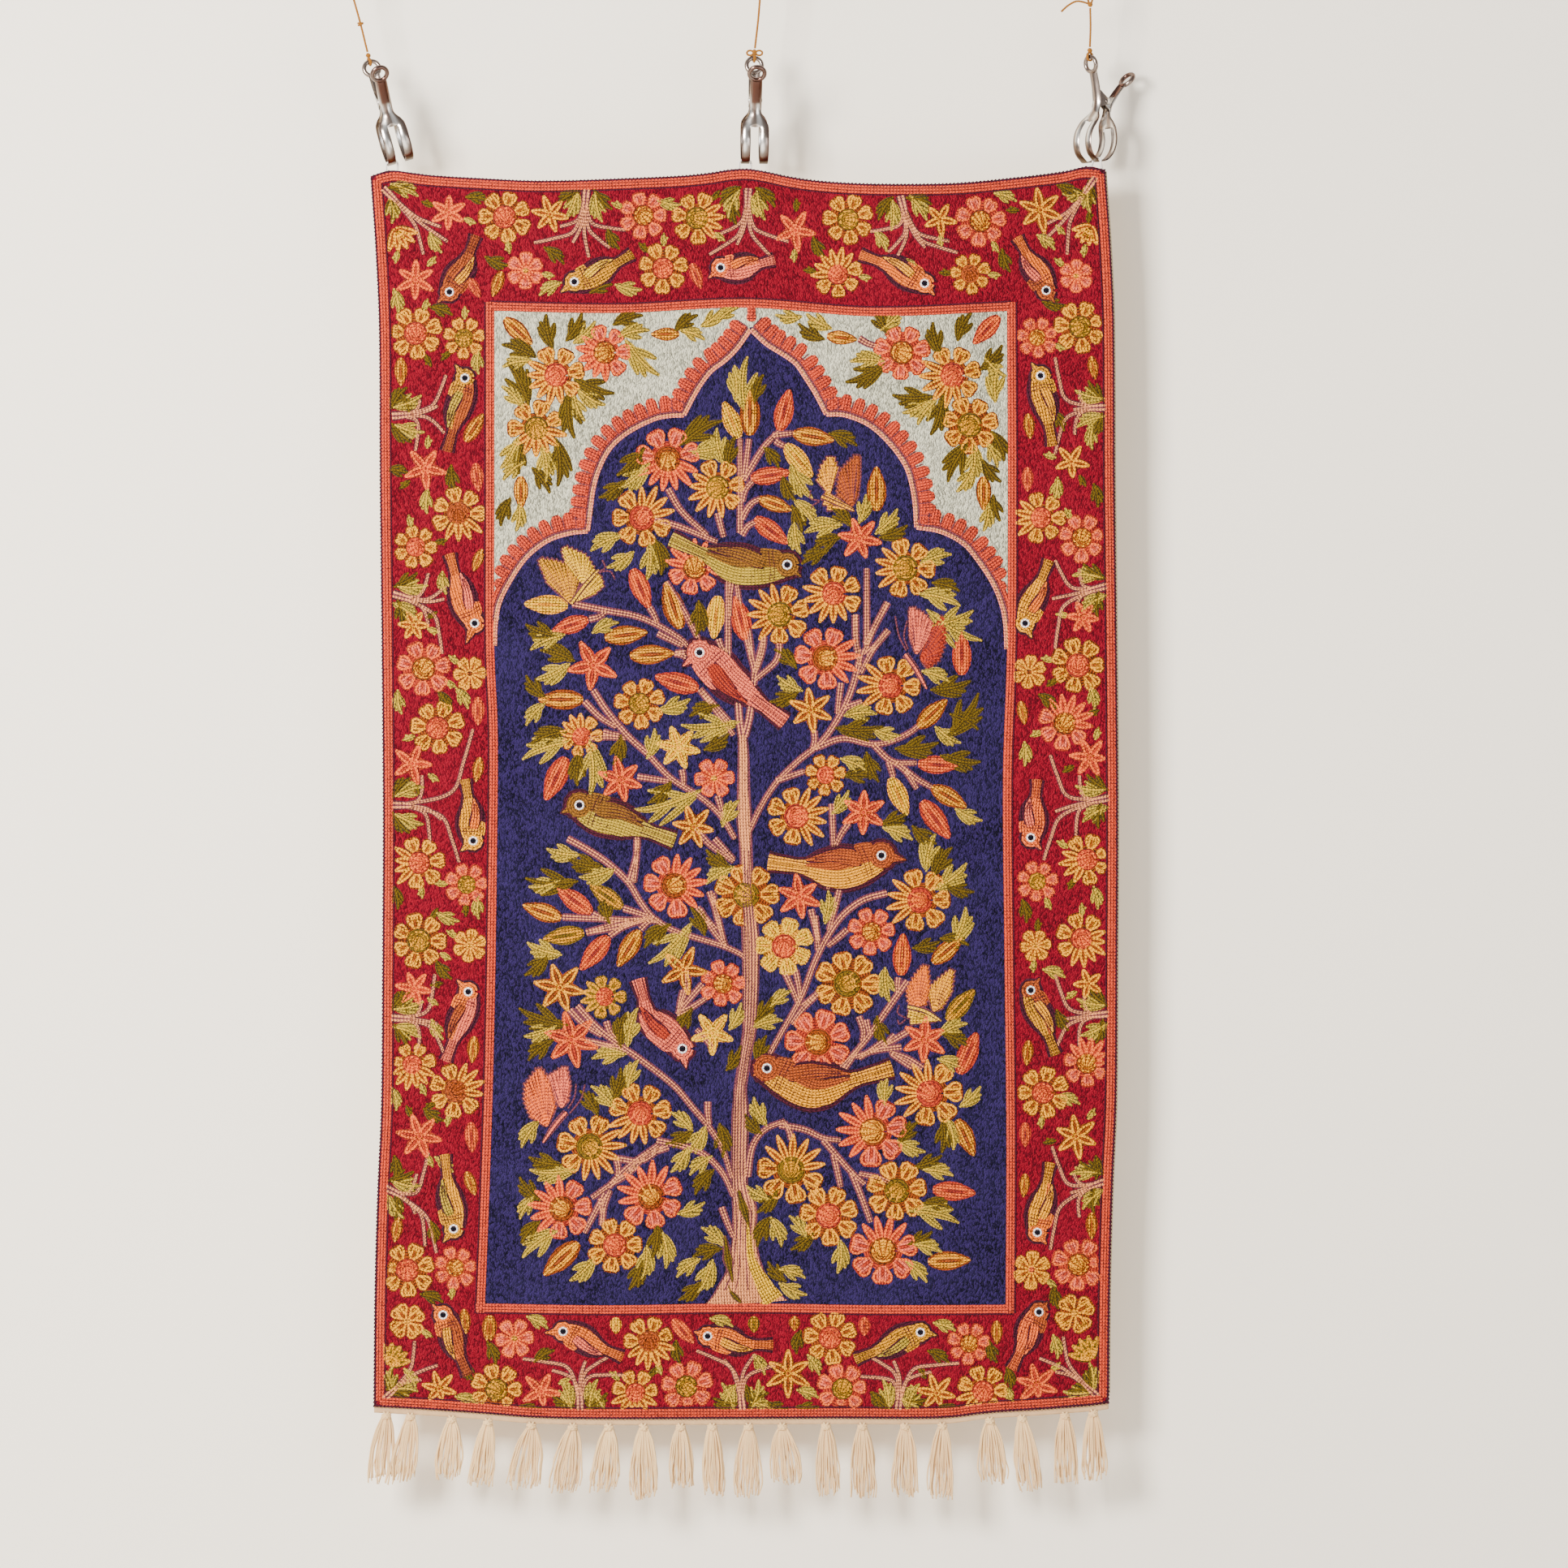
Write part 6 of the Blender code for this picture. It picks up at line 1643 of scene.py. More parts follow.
def chain_group():
    """Links of chain stitch from a UV of rows across and stitches along, with painted shade between
    them.
    """
    tree, given, out = new_group(
        "chain stitch", [("Rows", "NodeSocketVector", None)],
        [("Height", "NodeSocketFloat"), ("Tone", "NodeSocketFloat")])
    parts = add_node(tree, "ShaderNodeSeparateXYZ")
    tree.links.new(given["Rows"], parts.inputs[0])
    across = calc(tree, "FRACT", parts.outputs["X"])
    off = calc(tree, "ABSOLUTE", calc(tree, "MULTIPLY_ADD", across, 2.0, -1.0))
    link = calc(tree, "FRACT", calc(tree, "MULTIPLY_ADD", off, 0.55, parts.outputs["Y"]))
    ridge = calc(tree, "SINE", calc(tree, "MULTIPLY", link, math.pi))
    crown = calc(tree, "SUBTRACT", 1.0, calc(tree, "POWER", off, 3.0))
    middle = calc(tree, "SMOOTH_MIN", calc(tree, "MULTIPLY", off, 3.0), 1.0, 0.3)
    height = calc(tree, "MULTIPLY", calc(tree, "MULTIPLY_ADD", ridge, 0.6, 0.4), crown)
    feed(tree, out["Height"], height)
    # Painted shade: the tone follows the height, darker between the links, at the rows' edges and
    # down each link's middle
    feed(tree, out["Tone"], calc(tree, "MULTIPLY", height, calc(tree, "MULTIPLY_ADD", middle,
                                                                0.35, 0.65)))
    return tree


def ground_group():
    """The close small stitches of a filled ground, painted darker between them as shade, with
    clouds of lighter and darker wool.
    """
    tree, given, out = new_group(
        "ground stitch", [("Place", "NodeSocketVector", None)],
        [("Height", "NodeSocketFloat"), ("Tone", "NodeSocketFloat"), ("Cloud", "NodeSocketFloat")])
    place = given["Place"]
    warp = add_node(tree, "ShaderNodeTexNoise")
    feed(tree, warp.inputs["Vector"], place)
    warp.inputs["Scale"].default_value = 60.0
    push = add_node(tree, "ShaderNodeVectorMath", operation="MULTIPLY_ADD")
    feed(tree, push.inputs[0], warp.outputs["Color"])
    push.inputs[1].default_value = (0.006, 0.006, 0.0)
    feed(tree, push.inputs[2], place)
    heights = []
    for turn in (0.35, -1.1):
        cells = add_node(tree, "ShaderNodeTexVoronoi", feature="F1", voronoi_dimensions="2D")
        feed(tree, cells.inputs["Vector"], stretch(tree, push.outputs[0], (1.0, 0.62, 1.0),
                                                   (0.0, 0.0, turn)))
        cells.inputs["Scale"].default_value = 500.0
        heights.append((calc(tree, "SUBTRACT", 1.0, cells.outputs["Distance"]),
                        cells.outputs["Color"]))
    way = calc(tree, "GREATER_THAN", noise(tree, place, 34.0, 1.0), 0.5)
    height = add_node(tree, "ShaderNodeMix", data_type="FLOAT")
    feed(tree, height.inputs[0], way)
    feed(tree, height.inputs[2], heights[0][0])
    feed(tree, height.inputs[3], heights[1][0])
    cell = blend_colours(tree, way, heights[0][1], heights[1][1])
    parts = add_node(tree, "ShaderNodeSeparateColor")
    feed(tree, parts.inputs[0], cell)
    feed(tree, out["Height"], height.outputs[0])
    # Painted shade: the tone follows the height, darker at the edges of the stitch cells, mixed
    # with each cell's random tone
    feed(tree, out["Tone"], calc(tree, "MULTIPLY_ADD", parts.outputs[0], 0.5,
                                 calc(tree, "MULTIPLY", height.outputs[0], 0.5)))
    feed(tree, out["Cloud"], calc(tree, "MULTIPLY_ADD", noise(tree, place, 14.0, 4.0), 0.6,
                                  calc(tree, "MULTIPLY", noise(tree, place, 90.0, 2.0), 0.4)))
    return tree


def weave_group():
    """A plain weave from a UV in metres, with uneven threads and painted shade where they dip."""
    tree, given, out = new_group(
        "plain weave", [("Place", "NodeSocketVector", None), ("Thread", "NodeSocketFloat", 0.0008)],
        [("Height", "NodeSocketFloat"), ("Tone", "NodeSocketFloat")])
    parts = add_node(tree, "ShaderNodeSeparateXYZ")
    tree.links.new(given["Place"], parts.inputs[0])
    waves = []
    for axis, scale in (("X", (2500.0, 60.0, 1.0)), ("Y", (60.0, 2500.0, 1.0))):
        slub = noise(tree, stretch(tree, given["Place"], scale), 1.0, 1.0)
        turn = calc(tree, "DIVIDE", calc(tree, "MULTIPLY", parts.outputs[axis], math.pi),
                    given["Thread"])
        waves.append((calc(tree, "SINE", turn), slub))
    over = calc(tree, "MULTIPLY", waves[0][0], waves[1][0])
    ridge = calc(tree, "MULTIPLY_ADD", calc(tree, "ABSOLUTE", over), 0.7,
                 calc(tree, "MULTIPLY", over, 0.3))
    feed(tree, out["Height"], ridge)
    slubs = calc(tree, "ADD", waves[0][1], waves[1][1])
    # Painted shade: the tone is darker where the threads dip under one another, and varies with the
    # slubs
    feed(tree, out["Tone"], calc(tree, "MULTIPLY_ADD", ridge, 0.4,
                                 calc(tree, "MULTIPLY", slubs, 0.4)))
    return tree


def place_group(tree, group, **values):
    made = add_node(tree, "ShaderNodeGroup", node_tree=bpy.data.node_groups[group])
    for name, value in values.items():
        feed(tree, made.inputs[name], value)
    return made.outputs


def new_material(name, roughness=0.9, metallic=0.0, sheen=0.0):
    """A material with its tree and its Principled shader."""
    made = bpy.data.materials.new(name)
    made.use_nodes = True
    tree = made.node_tree
    shader = tree.nodes["Principled BSDF"]
    shader.inputs["Roughness"].default_value = roughness
    shader.inputs["Metallic"].default_value = metallic
    shader.inputs["Specular IOR Level"].default_value = 0.5 if metallic else 0.10
    shader.inputs["Sheen Weight"].default_value = sheen
    shader.inputs["Sheen Roughness"].default_value = 0.45
    return made, tree, shader


def add_bump(tree, shader, height, distance, strength=1.0):
    bump = add_node(tree, "ShaderNodeBump")
    bump.inputs["Strength"].default_value = strength
    bump.inputs["Distance"].default_value = distance
    feed(tree, bump.inputs["Height"], height)
    feed(tree, shader.inputs["Normal"], bump.outputs["Normal"])


def stitched_uv(tree):
    return add_node(tree, "ShaderNodeUVMap", uv_map="stitches").outputs["UV"]


def object_place(tree):
    return add_node(tree, "ShaderNodeTexCoord").outputs["Object"]


def wool_material(colour):
    """Wool in rows of chain stitch, lighter on its links and painted darker between them as shade.
    """
    light, dark = (deepened(*tone) for tone in WOOL_TONES[colour])
    made, tree, shader = new_material(f"wool_{colour}", 0.9, sheen=0.04)
    stitch = place_group(tree, "chain stitch", Rows=stitched_uv(tree))
    fuzz = noise(tree, object_place(tree), 330.0, 2.0, 0.8)
    shade = add_node(tree, "ShaderNodeAttribute", attribute_name="shade").outputs["Fac"]
    # The share of the lighter wool: painted shade from the stitch tone, with random fuzz and each
    # row's random tone
    tone_with_painted_shade = calc(tree, "MULTIPLY_ADD", stitch["Tone"], 2.8, calc(tree, "MULTIPLY", fuzz, 4.2))
    tone_with_painted_shade = calc(tree, "ADD", tone_with_painted_shade, calc(tree, "MULTIPLY_ADD", shade, 0.35, -3.06))
    mixed = blend_colours(tree, tone_with_painted_shade, dark, light)
    feed(tree, shader.inputs["Base Color"], mixed)
    height = calc(tree, "MULTIPLY_ADD", fuzz, 0.7, stitch["Height"])
    add_bump(tree, shader, height, 2.0 * MM, 1.0)
    return made


def ground_material(name):
    """A filled ground: close stitches in one wool with painted shade between them, and clouds of
    another dye lot.
    """
    light, dark, cloud = (deepened(*tone) for tone in GROUND_TONES[name])
    made, tree, shader = new_material(f"wool_{name}", 0.92, sheen=0.04)
    stitch = place_group(tree, "ground stitch", Place=stitched_uv(tree))
    base = blend_colours(tree, calc(tree, "MULTIPLY_ADD", stitch["Tone"], 2.8, -0.95), dark, light)
    clouded = calc(tree, "MULTIPLY_ADD", stitch["Cloud"], 2.4, -1.0)
    share = calc(tree, "MULTIPLY", calc(tree, "MAXIMUM", clouded, 0.0), 0.4)
    feed(tree, shader.inputs["Base Color"], blend_colours(tree, share, base, cloud))
    add_bump(tree, shader, stitch["Height"], 2.4 * MM, 1.0)
    return made


def cotton_material(name, thread=0.0):
    """Undyed cotton: a plain weave of threads this thick with painted shade between them, or plied
    yarn when none is given.
    """
    light, dark = (deepened(*tone) for tone in COTTON_TONES[name])
    made, tree, shader = new_material(name, 0.93, sheen=0.12)
    fuzz = noise(tree, object_place(tree), 1400.0, 3.0, 0.7)
    dust = noise(tree, object_place(tree), 9.0, 4.0)
    if thread:
        weave = place_group(tree, "plain weave", Place=stitched_uv(tree), Thread=thread)
        tone, height = weave["Tone"], weave["Height"]
    else:
        fibre = noise(tree, stretch(tree, stitched_uv(tree), (14.0, 0.9, 1.0)), 1.0, 3.0)
        tone = calc(tree, "MULTIPLY", fibre, 0.8)
        height = calc(tree, "MULTIPLY_ADD", fibre, 0.8, calc(tree, "MULTIPLY", fuzz, 0.3))
    share = calc(tree, "MULTIPLY_ADD", fuzz, 0.3, tone)
    share = calc(tree, "MULTIPLY_ADD", dust, 0.35, calc(tree, "SUBTRACT", share, 0.1))
    feed(tree, shader.inputs["Base Color"], blend_colours(tree, share, dark, light))
    add_bump(tree, shader, height, (0.25 if thread else 0.35) * MM, 0.7)
    return made


def twine_material():
    """Jute: brown fibres laid along the plies."""
    made, tree, shader = new_material("jute_twine", 0.82, sheen=0.1)
    fibre = noise(tree, stretch(tree, stitched_uv(tree), (22.0, 1.1, 1.0)), 1.0, 4.0, 0.7)
    share = calc(tree, "MULTIPLY_ADD", fibre, 2.2, -0.6)
    dark, light = deepened(108, 74, 30), deepened(200, 152, 78)
    feed(tree, shader.inputs["Base Color"], blend_colours(tree, share, dark, light))
    add_bump(tree, shader, fibre, 0.3 * MM, 0.8)
    return made


def steel_material(props):
    """Plated steel with painted reflections: bright, and painted dark brown where it would reflect
    the room; shade says which.
    """
    made, tree, shader = new_material("bright_steel", 0.2, metallic=1.0)
    lines = noise(tree, stretch(tree, object_place(tree), (2400.0, 2400.0, 90.0)), 1.0, 2.0)
    feed(tree, shader.inputs["Roughness"],
         calc(tree, "MULTIPLY_ADD", lines, 0.08, props.steel_roughness))
    shade = add_node(tree, "ShaderNodeAttribute", attribute_name="shade").outputs["Fac"]
    # Painted reflections: a painted highlight, a grey, and the dark brown of the room painted in
    bright, painted_grey_reflection, painted_room_reflection = linear(250, 246, 240), linear(150, 138, 128), linear(88, 56, 46)
    upper = blend_colours(tree, calc(tree, "MULTIPLY_ADD", shade, 2.0, -1.0), painted_grey_reflection, bright)
    base = blend_colours(tree, calc(tree, "MULTIPLY", shade, 2.0), painted_room_reflection, upper)
    # Painted shade: a dark brown rim where the plating turns away at grazing angles
    grazing_for_painted_rim = add_node(tree, "ShaderNodeLayerWeight")
    grazing_for_painted_rim.inputs["Blend"].default_value = 0.42
    edge = calc(tree, "MULTIPLY_ADD", grazing_for_painted_rim.outputs["Facing"], 1.8, -0.62)
    feed(tree, shader.inputs["Base Color"], blend_colours(tree, edge, base, linear(52, 36, 32)))
    add_bump(tree, shader, lines, 0.02 * MM, 0.3)
    return made


# The cloth and its fringe


def add_thickness(thing, thickness, offset, edge=0.0):
    """Gives a sheet its thickness, and rounds its edges by this width."""
    wall = thing.modifiers.new("thickness", "SOLIDIFY")
    wall.thickness = thickness
    wall.offset = offset
    if edge:
        soft = thing.modifiers.new("edge", "BEVEL")
        soft.width = edge
        soft.segments = 2
        soft.limit_method = "ANGLE"
        soft.angle_limit = math.radians(50)
    apply_all(thing)


def join_things(main, others):
    """Joins these objects into the main one."""
    pick(main)
    for thing in others:
        thing.select_set(True)
    bpy.ops.object.join()


def sheet_skin(name, across, down, behind, thickness, wrinkle=None):
    """A hung sheet whose front stands this far behind the cloth's middle, with its flat UV."""
    u, v = np.meshgrid(across, down)
    points = hang(u, v, behind)
    if wrinkle is not None:
        points[..., 1] -= wrinkle(u, v)
    made = object_of(name, points.reshape(-1, 3), grid_faces(len(down), len(across)))
    write_uv(made, np.stack([u.ravel(), v.ravel()], 1))
    add_thickness(made, thickness, -1.0)
    return made


def ground_zones(thing):
    """Material index of each face of the ground: border, field under the arch, or spandrel."""
    arch = np.array(sorted({point for line in ARCH for point in line}), float)
    top, right, bottom, left = (np.array(line, float) for line in INNER_BAND)
    left, bottom = left[::-1], bottom[::-1]
    for face in thing.data.polygons:
        x, y = to_chart(np.array(face.center))
        inside_x = np.interp(y, left[:, 1], left[:, 0]) < x < np.interp(y, right[:, 1], right[:, 0])
        inside_y = np.interp(x, top[:, 0], top[:, 1]) < y < np.interp(x, bottom[:, 0], bottom[:, 1])
        if not (inside_x and inside_y):
            face.material_index = 0
        elif y > np.interp(x, arch[:, 0], arch[:, 1]) - 6.0:
            face.material_index = 1
        else:
            face.material_index = 2


def make_ground():
    across = np.linspace(-PANEL_WIDTH / 2, PANEL_WIDTH / 2, PANEL_COLUMNS)
    down = np.linspace(0.0, PANEL_LENGTH, PANEL_ROWS)
    ground = sheet_skin("embroidered_cloth", across, down, -PANEL_THICKNESS / 2, PANEL_THICKNESS)
    ground_zones(ground)
    zones = [face.material_index for face in ground.data.polygons]
    materials = [ground_material(name) for name in GROUND_TONES]
    finish_piece(ground, materials, ["panel"])
    ground.data.polygons.foreach_set("material_index", zones)
    return ground


def make_wools():
    """The embroidery's rows of chain stitch, one piece for each colour of wool."""
    draw_bands()
    draw_whipping()
    draw_arch()
    draw_tree()
    draw_motifs()
    draw_butterflies()
    draw_peeping_leaves()
    pieces = []
    for colour, work in WOOLS.items():
        piece = work.mesh(f"wool_{colour}")
        pieces.append(finish_piece(piece, wool_material(colour)))
    return pieces


def make_backing():
    across = np.linspace(
        BACKING_INSET - PANEL_WIDTH / 2, PANEL_WIDTH / 2 + BACKING_PEEK, BACKING_COLUMNS)
    down = np.linspace(BACKING_INSET, PANEL_LENGTH - STRIP_ABOVE_EDGE, BACKING_ROWS)
    front = PANEL_THICKNESS / 2 + GAP
    backing = sheet_skin("backing_cloth", across, down, front, BACKING_THICKNESS)
    cotton = cotton_material("backing_cotton", 1.3 * MM)
    finish_piece(backing, cotton, ["backing"])
    return backing


def hem_wrinkle(u, v):
    """The small gathers of the woven strip between its tassels."""
    below = np.clip((v - PANEL_LENGTH) / STRIP_BELOW_EDGE, 0.0, 1.0)
    wave = np.sin(u * 412.0 + 1.7 * np.sin(u * 57.0)) + 0.6 * np.sin(u * 873.0 + 2.0)
    return below * wave * 0.45 * MM


def make_strip():
    across = np.linspace(-PANEL_WIDTH / 2, PANEL_WIDTH / 2, 360)
    top = PANEL_LENGTH - STRIP_ABOVE_EDGE + 2 * GAP
    down = np.linspace(top, PANEL_LENGTH + STRIP_BELOW_EDGE, 10)
    front = PANEL_THICKNESS / 2 + GAP
    strip = sheet_skin("fringe_strip", across, down, front, STRIP_THICKNESS, hem_wrinkle)
    # The strip's cotton is darkened as painted shade
    cotton = cotton_material("strip_cotton_painted_shade", 0.8 * MM)
    return finish_piece(strip, cotton, ["fringe"])


def knot_skins(knot, draw):
    """A tassel's head: turns of yarn drawn round it, and the two ends that cross them."""
    skins = []
    half = KNOT_SIZE / 2
    for height in (-0.52, -0.12, 0.30):
        reach = 0.82 * math.sqrt(1.0 - 0.55 * height * height)
        lean = draw.uniform(-0.25, 0.25)
        ring = []
        for step in range(10):
            angle = step * 2 * math.pi / 10
            ring.append((
                knot.x + half.x * reach * math.cos(angle),
                knot.y + half.y * reach * math.sin(angle),
                knot.z + half.z * (height + lean * math.cos(angle)),
            ))
        line = closed_line(ring, 1.6 * MM)
        skins.append(cord_skin(line, 1.75 * MM, closed=True, plies=2, pitch=5.0, around=8))
    for side in (-1, 1):
        strap = [
            (knot.x - side * half.x * 0.5, knot.y - half.y * 0.55, knot.z + half.z * 1.05),
            (knot.x - side * half.x * 0.1, knot.y - half.y * 1.0, knot.z + half.z * 0.35),
            (knot.x + side * half.x * 0.45, knot.y - half.y * 0.95, knot.z - half.z * 0.55),
        ]
        skins.append(cord_skin(smooth_line(strap, 1.6 * MM), 1.5 * MM, plies=2, pitch=5.0,
                               around=8))
    return skins


def tassel_skins(tassel, draw, yarns, radius):
    """The knot of one tassel and the yarns that hang loose below it."""
    behind = PANEL_THICKNESS / 2 + GAP + STRIP_THICKNESS / 2
    hem = Vector(hang(tassel.place, PANEL_LENGTH, behind))
    knot = hem - Vector((0, 0, STRIP_BELOW_EDGE + KNOT_SIZE.z * 0.3))
    skins = knot_skins(knot, draw)
    for k in range(yarns):
        share = (k + 0.5) / yarns * 2 - 1
        depth = draw.uniform(-1.0, 1.0)
        long = tassel.length * (1.0 - draw.uniform(0.0, 0.16))
        foot = knot + Vector((
            tassel.lean + (share + draw.uniform(-0.12, 0.12)) * tassel.half_spread
            * TASSEL_FULLNESS, depth * 2.6 * MM, -long,
        ))
        root = knot + Vector((share * 5.2 * MM, depth * 1.6 * MM, -2.0 * MM))
        points = []
        wave = draw.uniform(0, 6.28)
        for step in range(7):
            at = step / 6
            bulge = share * tassel.half_spread * 0.34 * math.sin(math.pi * at) ** 0.6
            stir = math.sin(wave + at * draw.uniform(5.0, 9.0)) * 1.5 * MM * at
            points.append(root.lerp(foot, at) + Vector((bulge + stir, 0.5 * stir, 0)))
        line = smooth_line(points, 4.2 * MM)
        skins.append(cord_skin(line, radius * draw.uniform(0.85, 1.2), plies=2, pitch=6.5,
                               around=6, groove=0.22, taper=0.35))
    return skins


def make_tassels(props):
    draw = np.random.default_rng(40)
    pieces = []
    cotton = cotton_material("tassel_cotton")
    for part in range(4):
        skins = []
        for tassel in TASSELS[part::4]:
            skins += tassel_skins(tassel, draw, props.yarns, props.yarn_radius)
        tassels = join_skins(f"tassels_{part}", skins)
        pieces.append(finish_piece(tassels, cotton))
    return pieces


# The loops, clips and twine


def clip_frame(place):
    """The matrix from a clip drawn closed and upright to where it hangs on its twine."""
    hang_tilt = math.atan2(EYE_OUT, EYE_UP - TIP_UP)
    tilt = Matrix.Rotation(hang_tilt, 4, "X")
    yaw = Matrix.Rotation(math.radians(place.yaw), 4, "Z")
    roll = Matrix.Rotation(math.radians(place.roll), 4, "Y")
    turned = roll @ yaw @ tilt
    tip = Vector((-PRONG_CENTRE, 0, TIP_UP))
    seat = Vector(hang(place.loop_place, 0.0, loop_behind(), fold_relief))
    seat += Vector((0, 0, place.drop))
    return Matrix.Translation(seat - turned @ tip) @ turned


def loop_behind():
    """How far the cotton loops lie behind the cloth's middle."""
    return PANEL_THICKNESS / 2 + BACKING_THICKNESS + 4 * GAP + LOOP_WIRE


def make_cotton_loop(place, cotton):
    """The loop sewn behind the top edge, over the tips of one pair of prongs."""
    at = clip_frame(place)
    centre = Vector((-PRONG_CENTRE, 0, TIP_UP + LOOP_SEAT))
    shape = [(-1, -0.7), (-0.86, -0.2), (-0.45, 0.0), (0.45, 0.0), (0.86, -0.2), (1, -0.7)]
    over = [at @ (centre + LOOP_HALF_WIDTH * Vector((x, 0, z))) for x, z in shape]
    if over[0].x > over[-1].x:
        over.reverse()
    legs = []
    for side in (-1, 1):
        u = place.loop_place + side * LOOP_HALF_WIDTH * 0.95
        legs.append([
            hang(u, down, loop_behind()) for down in (LOOP_SEWN, LOOP_SEWN / 2, 1.0 * MM)
        ])
    line = smooth_line([*legs[0], *over, *legs[1][::-1]], LOOP_STEP)
    skin = cord_skin(line, LOOP_WIRE, plies=3, pitch=5.5, around=16, groove=0.22)
    loop = join_skins(f"loop_{place.side}_yarn", [skin])
    return finish_piece(loop, cotton, [f"loop_{place.side}"])


def lever_point(side, place, share, slotted):
    """A point of a lever's sheet at this place down it and this share of its half width."""
    rows = np.array(LEVER)
    run = run_of(rows[:, :2])
    at = place * run[-1] + np.array([-LEVER_NEAR, 0.0, LEVER_NEAR])
    before, (out, up, width, arch), after = curve_at(rows, run, at).tolist()
    along = Vector((0, after[0] - before[0], after[1] - before[1])).normalized()
    inward = Vector((0, along.z, -along.y))
    curl = (abs(share) - PRONG_SHARE) / (1 - PRONG_SHARE)
    curl = slotted * curl * curl + (1 - slotted) * share * share
    point = Vector((share * width / 2, out, up)) + inward * arch * curl
    return Vector((point.x, side * point.y, point.z))


# Painted reflections and painted shade: how bright the front lever is painted at these levels
# in millimetres above the pin, from its left edge to its right one
PAINTED_REFLECTION_SHARES = [-1.0, -0.8, -0.55, -0.3, 0.0, 0.3, 0.55, 0.8, 1.0]
PAINTED_STEEL_REFLECTIONS = [
    (48, (0.1, 0.1, 0.1, 0.1, 0.1, 0.1, 0.1, 0.1, 0.1)),
    (20, (0.5, 0.3, 0.02, 0.02, 0.02, 0.02, 0.02, 0.05, 0.2)),
    (0, (0.9, 0.6, 0.04, 0.04, 0.04, 0.04, 0.04, 0.1, 0.5)),
    (-3, (0.5, 0.9, 0.5, 0.1, 0.3, 0.9, 0.9, 0.5, 0.2)),
    (-18, (0.1, 0.9, 0.5, 0.15, 0.3, 1.0, 0.95, 0.3, 0.1)),
    (-28, (0.1, 0.5, 1.0, 0.5, 0.4, 0.9, 0.6, 0.3, 0.1)),
    (-36, (0.1, 0.9, 0.5, 0.5, 0.45, 0.5, 0.6, 0.3, 0.1)),
    (-46, (0.1, 1.0, 0.6, 0.3, 0.4, 0.5, 1.0, 0.4, 0.1)),
    (-58, (0.2, 1.0, 0.45, 0.3, 0.4, 0.5, 1.0, 0.4, 0.1)),
    (-64, (0.15, 0.4, 0.25, 0.1, 0.1, 0.3, 0.5, 0.2, 0.05)),
    (-76, (0.0, 0.05, 0.05, 0.0, 0.0, 0.05, 0.05, 0.05, 0.0)),
    (-79, (0.4, 0.6, 0.6, 0.4, 0.4, 0.5, 0.6, 0.6, 0.4)),
]

# Half width of the front lever at levels below the pin, in millimetres
LEVER_HALVES = [(-30, 7.2), (15, 7.4), (29, 16.2), (79, 16.5)]
HANDLE_FROM = -3.0
# The back lever's handle above HANDLE_FROM is painted one even shade
BACK_HANDLE_PAINTED_SHADE = 0.34

LEVER_ROWS = 60
LEVER_SHARES = [-1.0, -0.9, -0.79, -0.68, -0.57, -0.47, -0.37, -0.18,
                0.0, 0.18, 0.37, 0.47, 0.57, 0.68, 0.79, 0.9, 1.0]


def make_lever(name, side, ear_x):
    """One lever: the pressed sheet with its slot, the ring eye and two ears."""
    run = run_of(np.array(LEVER)[:, :2])
    slot_from = run[SLOT_STATION] / run[-1]
    deselect()
    bpy.ops.mesh.primitive_grid_add(
        x_subdivisions=len(LEVER_SHARES) - 1, y_subdivisions=LEVER_ROWS, size=2.0
    )
    lever = bpy.context.object
    lever.name = lever.data.name = name
    places = []
    for vertex in lever.data.vertices:
        column = round((vertex.co.x + 1.0) / 2 * (len(LEVER_SHARES) - 1))
        place = (1.0 - vertex.co.y) / 2
        share = LEVER_SHARES[column]
        slotted = min(1.0, max(0.0, (place - slot_from) / 0.04 + 0.5))
        inner = abs(share) <= SLOT_SHARE + 0.001
        if inner and 0.0 <= slotted < 1.0 and place > slot_from - 0.02:
            slotted *= 0.5
        places.append((share, place))
        vertex.co = lever_point(side, place, share, slotted)
    bpy.ops.object.mode_set(mode="EDIT")
    bpy.ops.mesh.select_all(action="DESELECT")
    bpy.ops.object.mode_set(mode="OBJECT")
    for face in lever.data.polygons:
        shares = [places[k][0] for k in face.vertices]
        middle = sum(places[k][1] for k in face.vertices) / len(face.vertices)
        across = abs(sum(shares) / len(shares)) / SLOT_SHARE
        rounded = slot_from + 0.035 * (1.0 - math.sqrt(max(0.0, 1.0 - across * across)))
        face.select = bool(
            max(abs(s) for s in shares) <= SLOT_SHARE + 0.001 and middle > rounded)
    bpy.ops.object.mode_set(mode="EDIT")
    bpy.ops.mesh.delete(type="FACE")
    bpy.ops.mesh.select_all(action="SELECT")
    bpy.ops.mesh.normals_make_consistent(inside=False)
    bpy.ops.object.mode_set(mode="OBJECT")
    add_thickness(lever, SHEET_STEEL, 0, LEVER_EDGE)
    tilt = math.atan2(EYE_OUT - LEVER[1][0], EYE_UP - LEVER[1][1])
    bpy.ops.mesh.primitive_torus_add(
        major_radius=EYE_RADIUS, minor_radius=EYE_BAR, major_segments=56, minor_segments=20
    )
    eye_ring = bpy.context.object
    turn = Matrix.Rotation(math.radians(90) - side * tilt, 4, "X")
    eye_ring.data.transform(Matrix.Translation((0, side * EYE_OUT, EYE_UP)) @ turn)
    join_things(lever, [eye_ring, *(make_ear(side, way * ear_x) for way in (-1, 1))])
    return lever


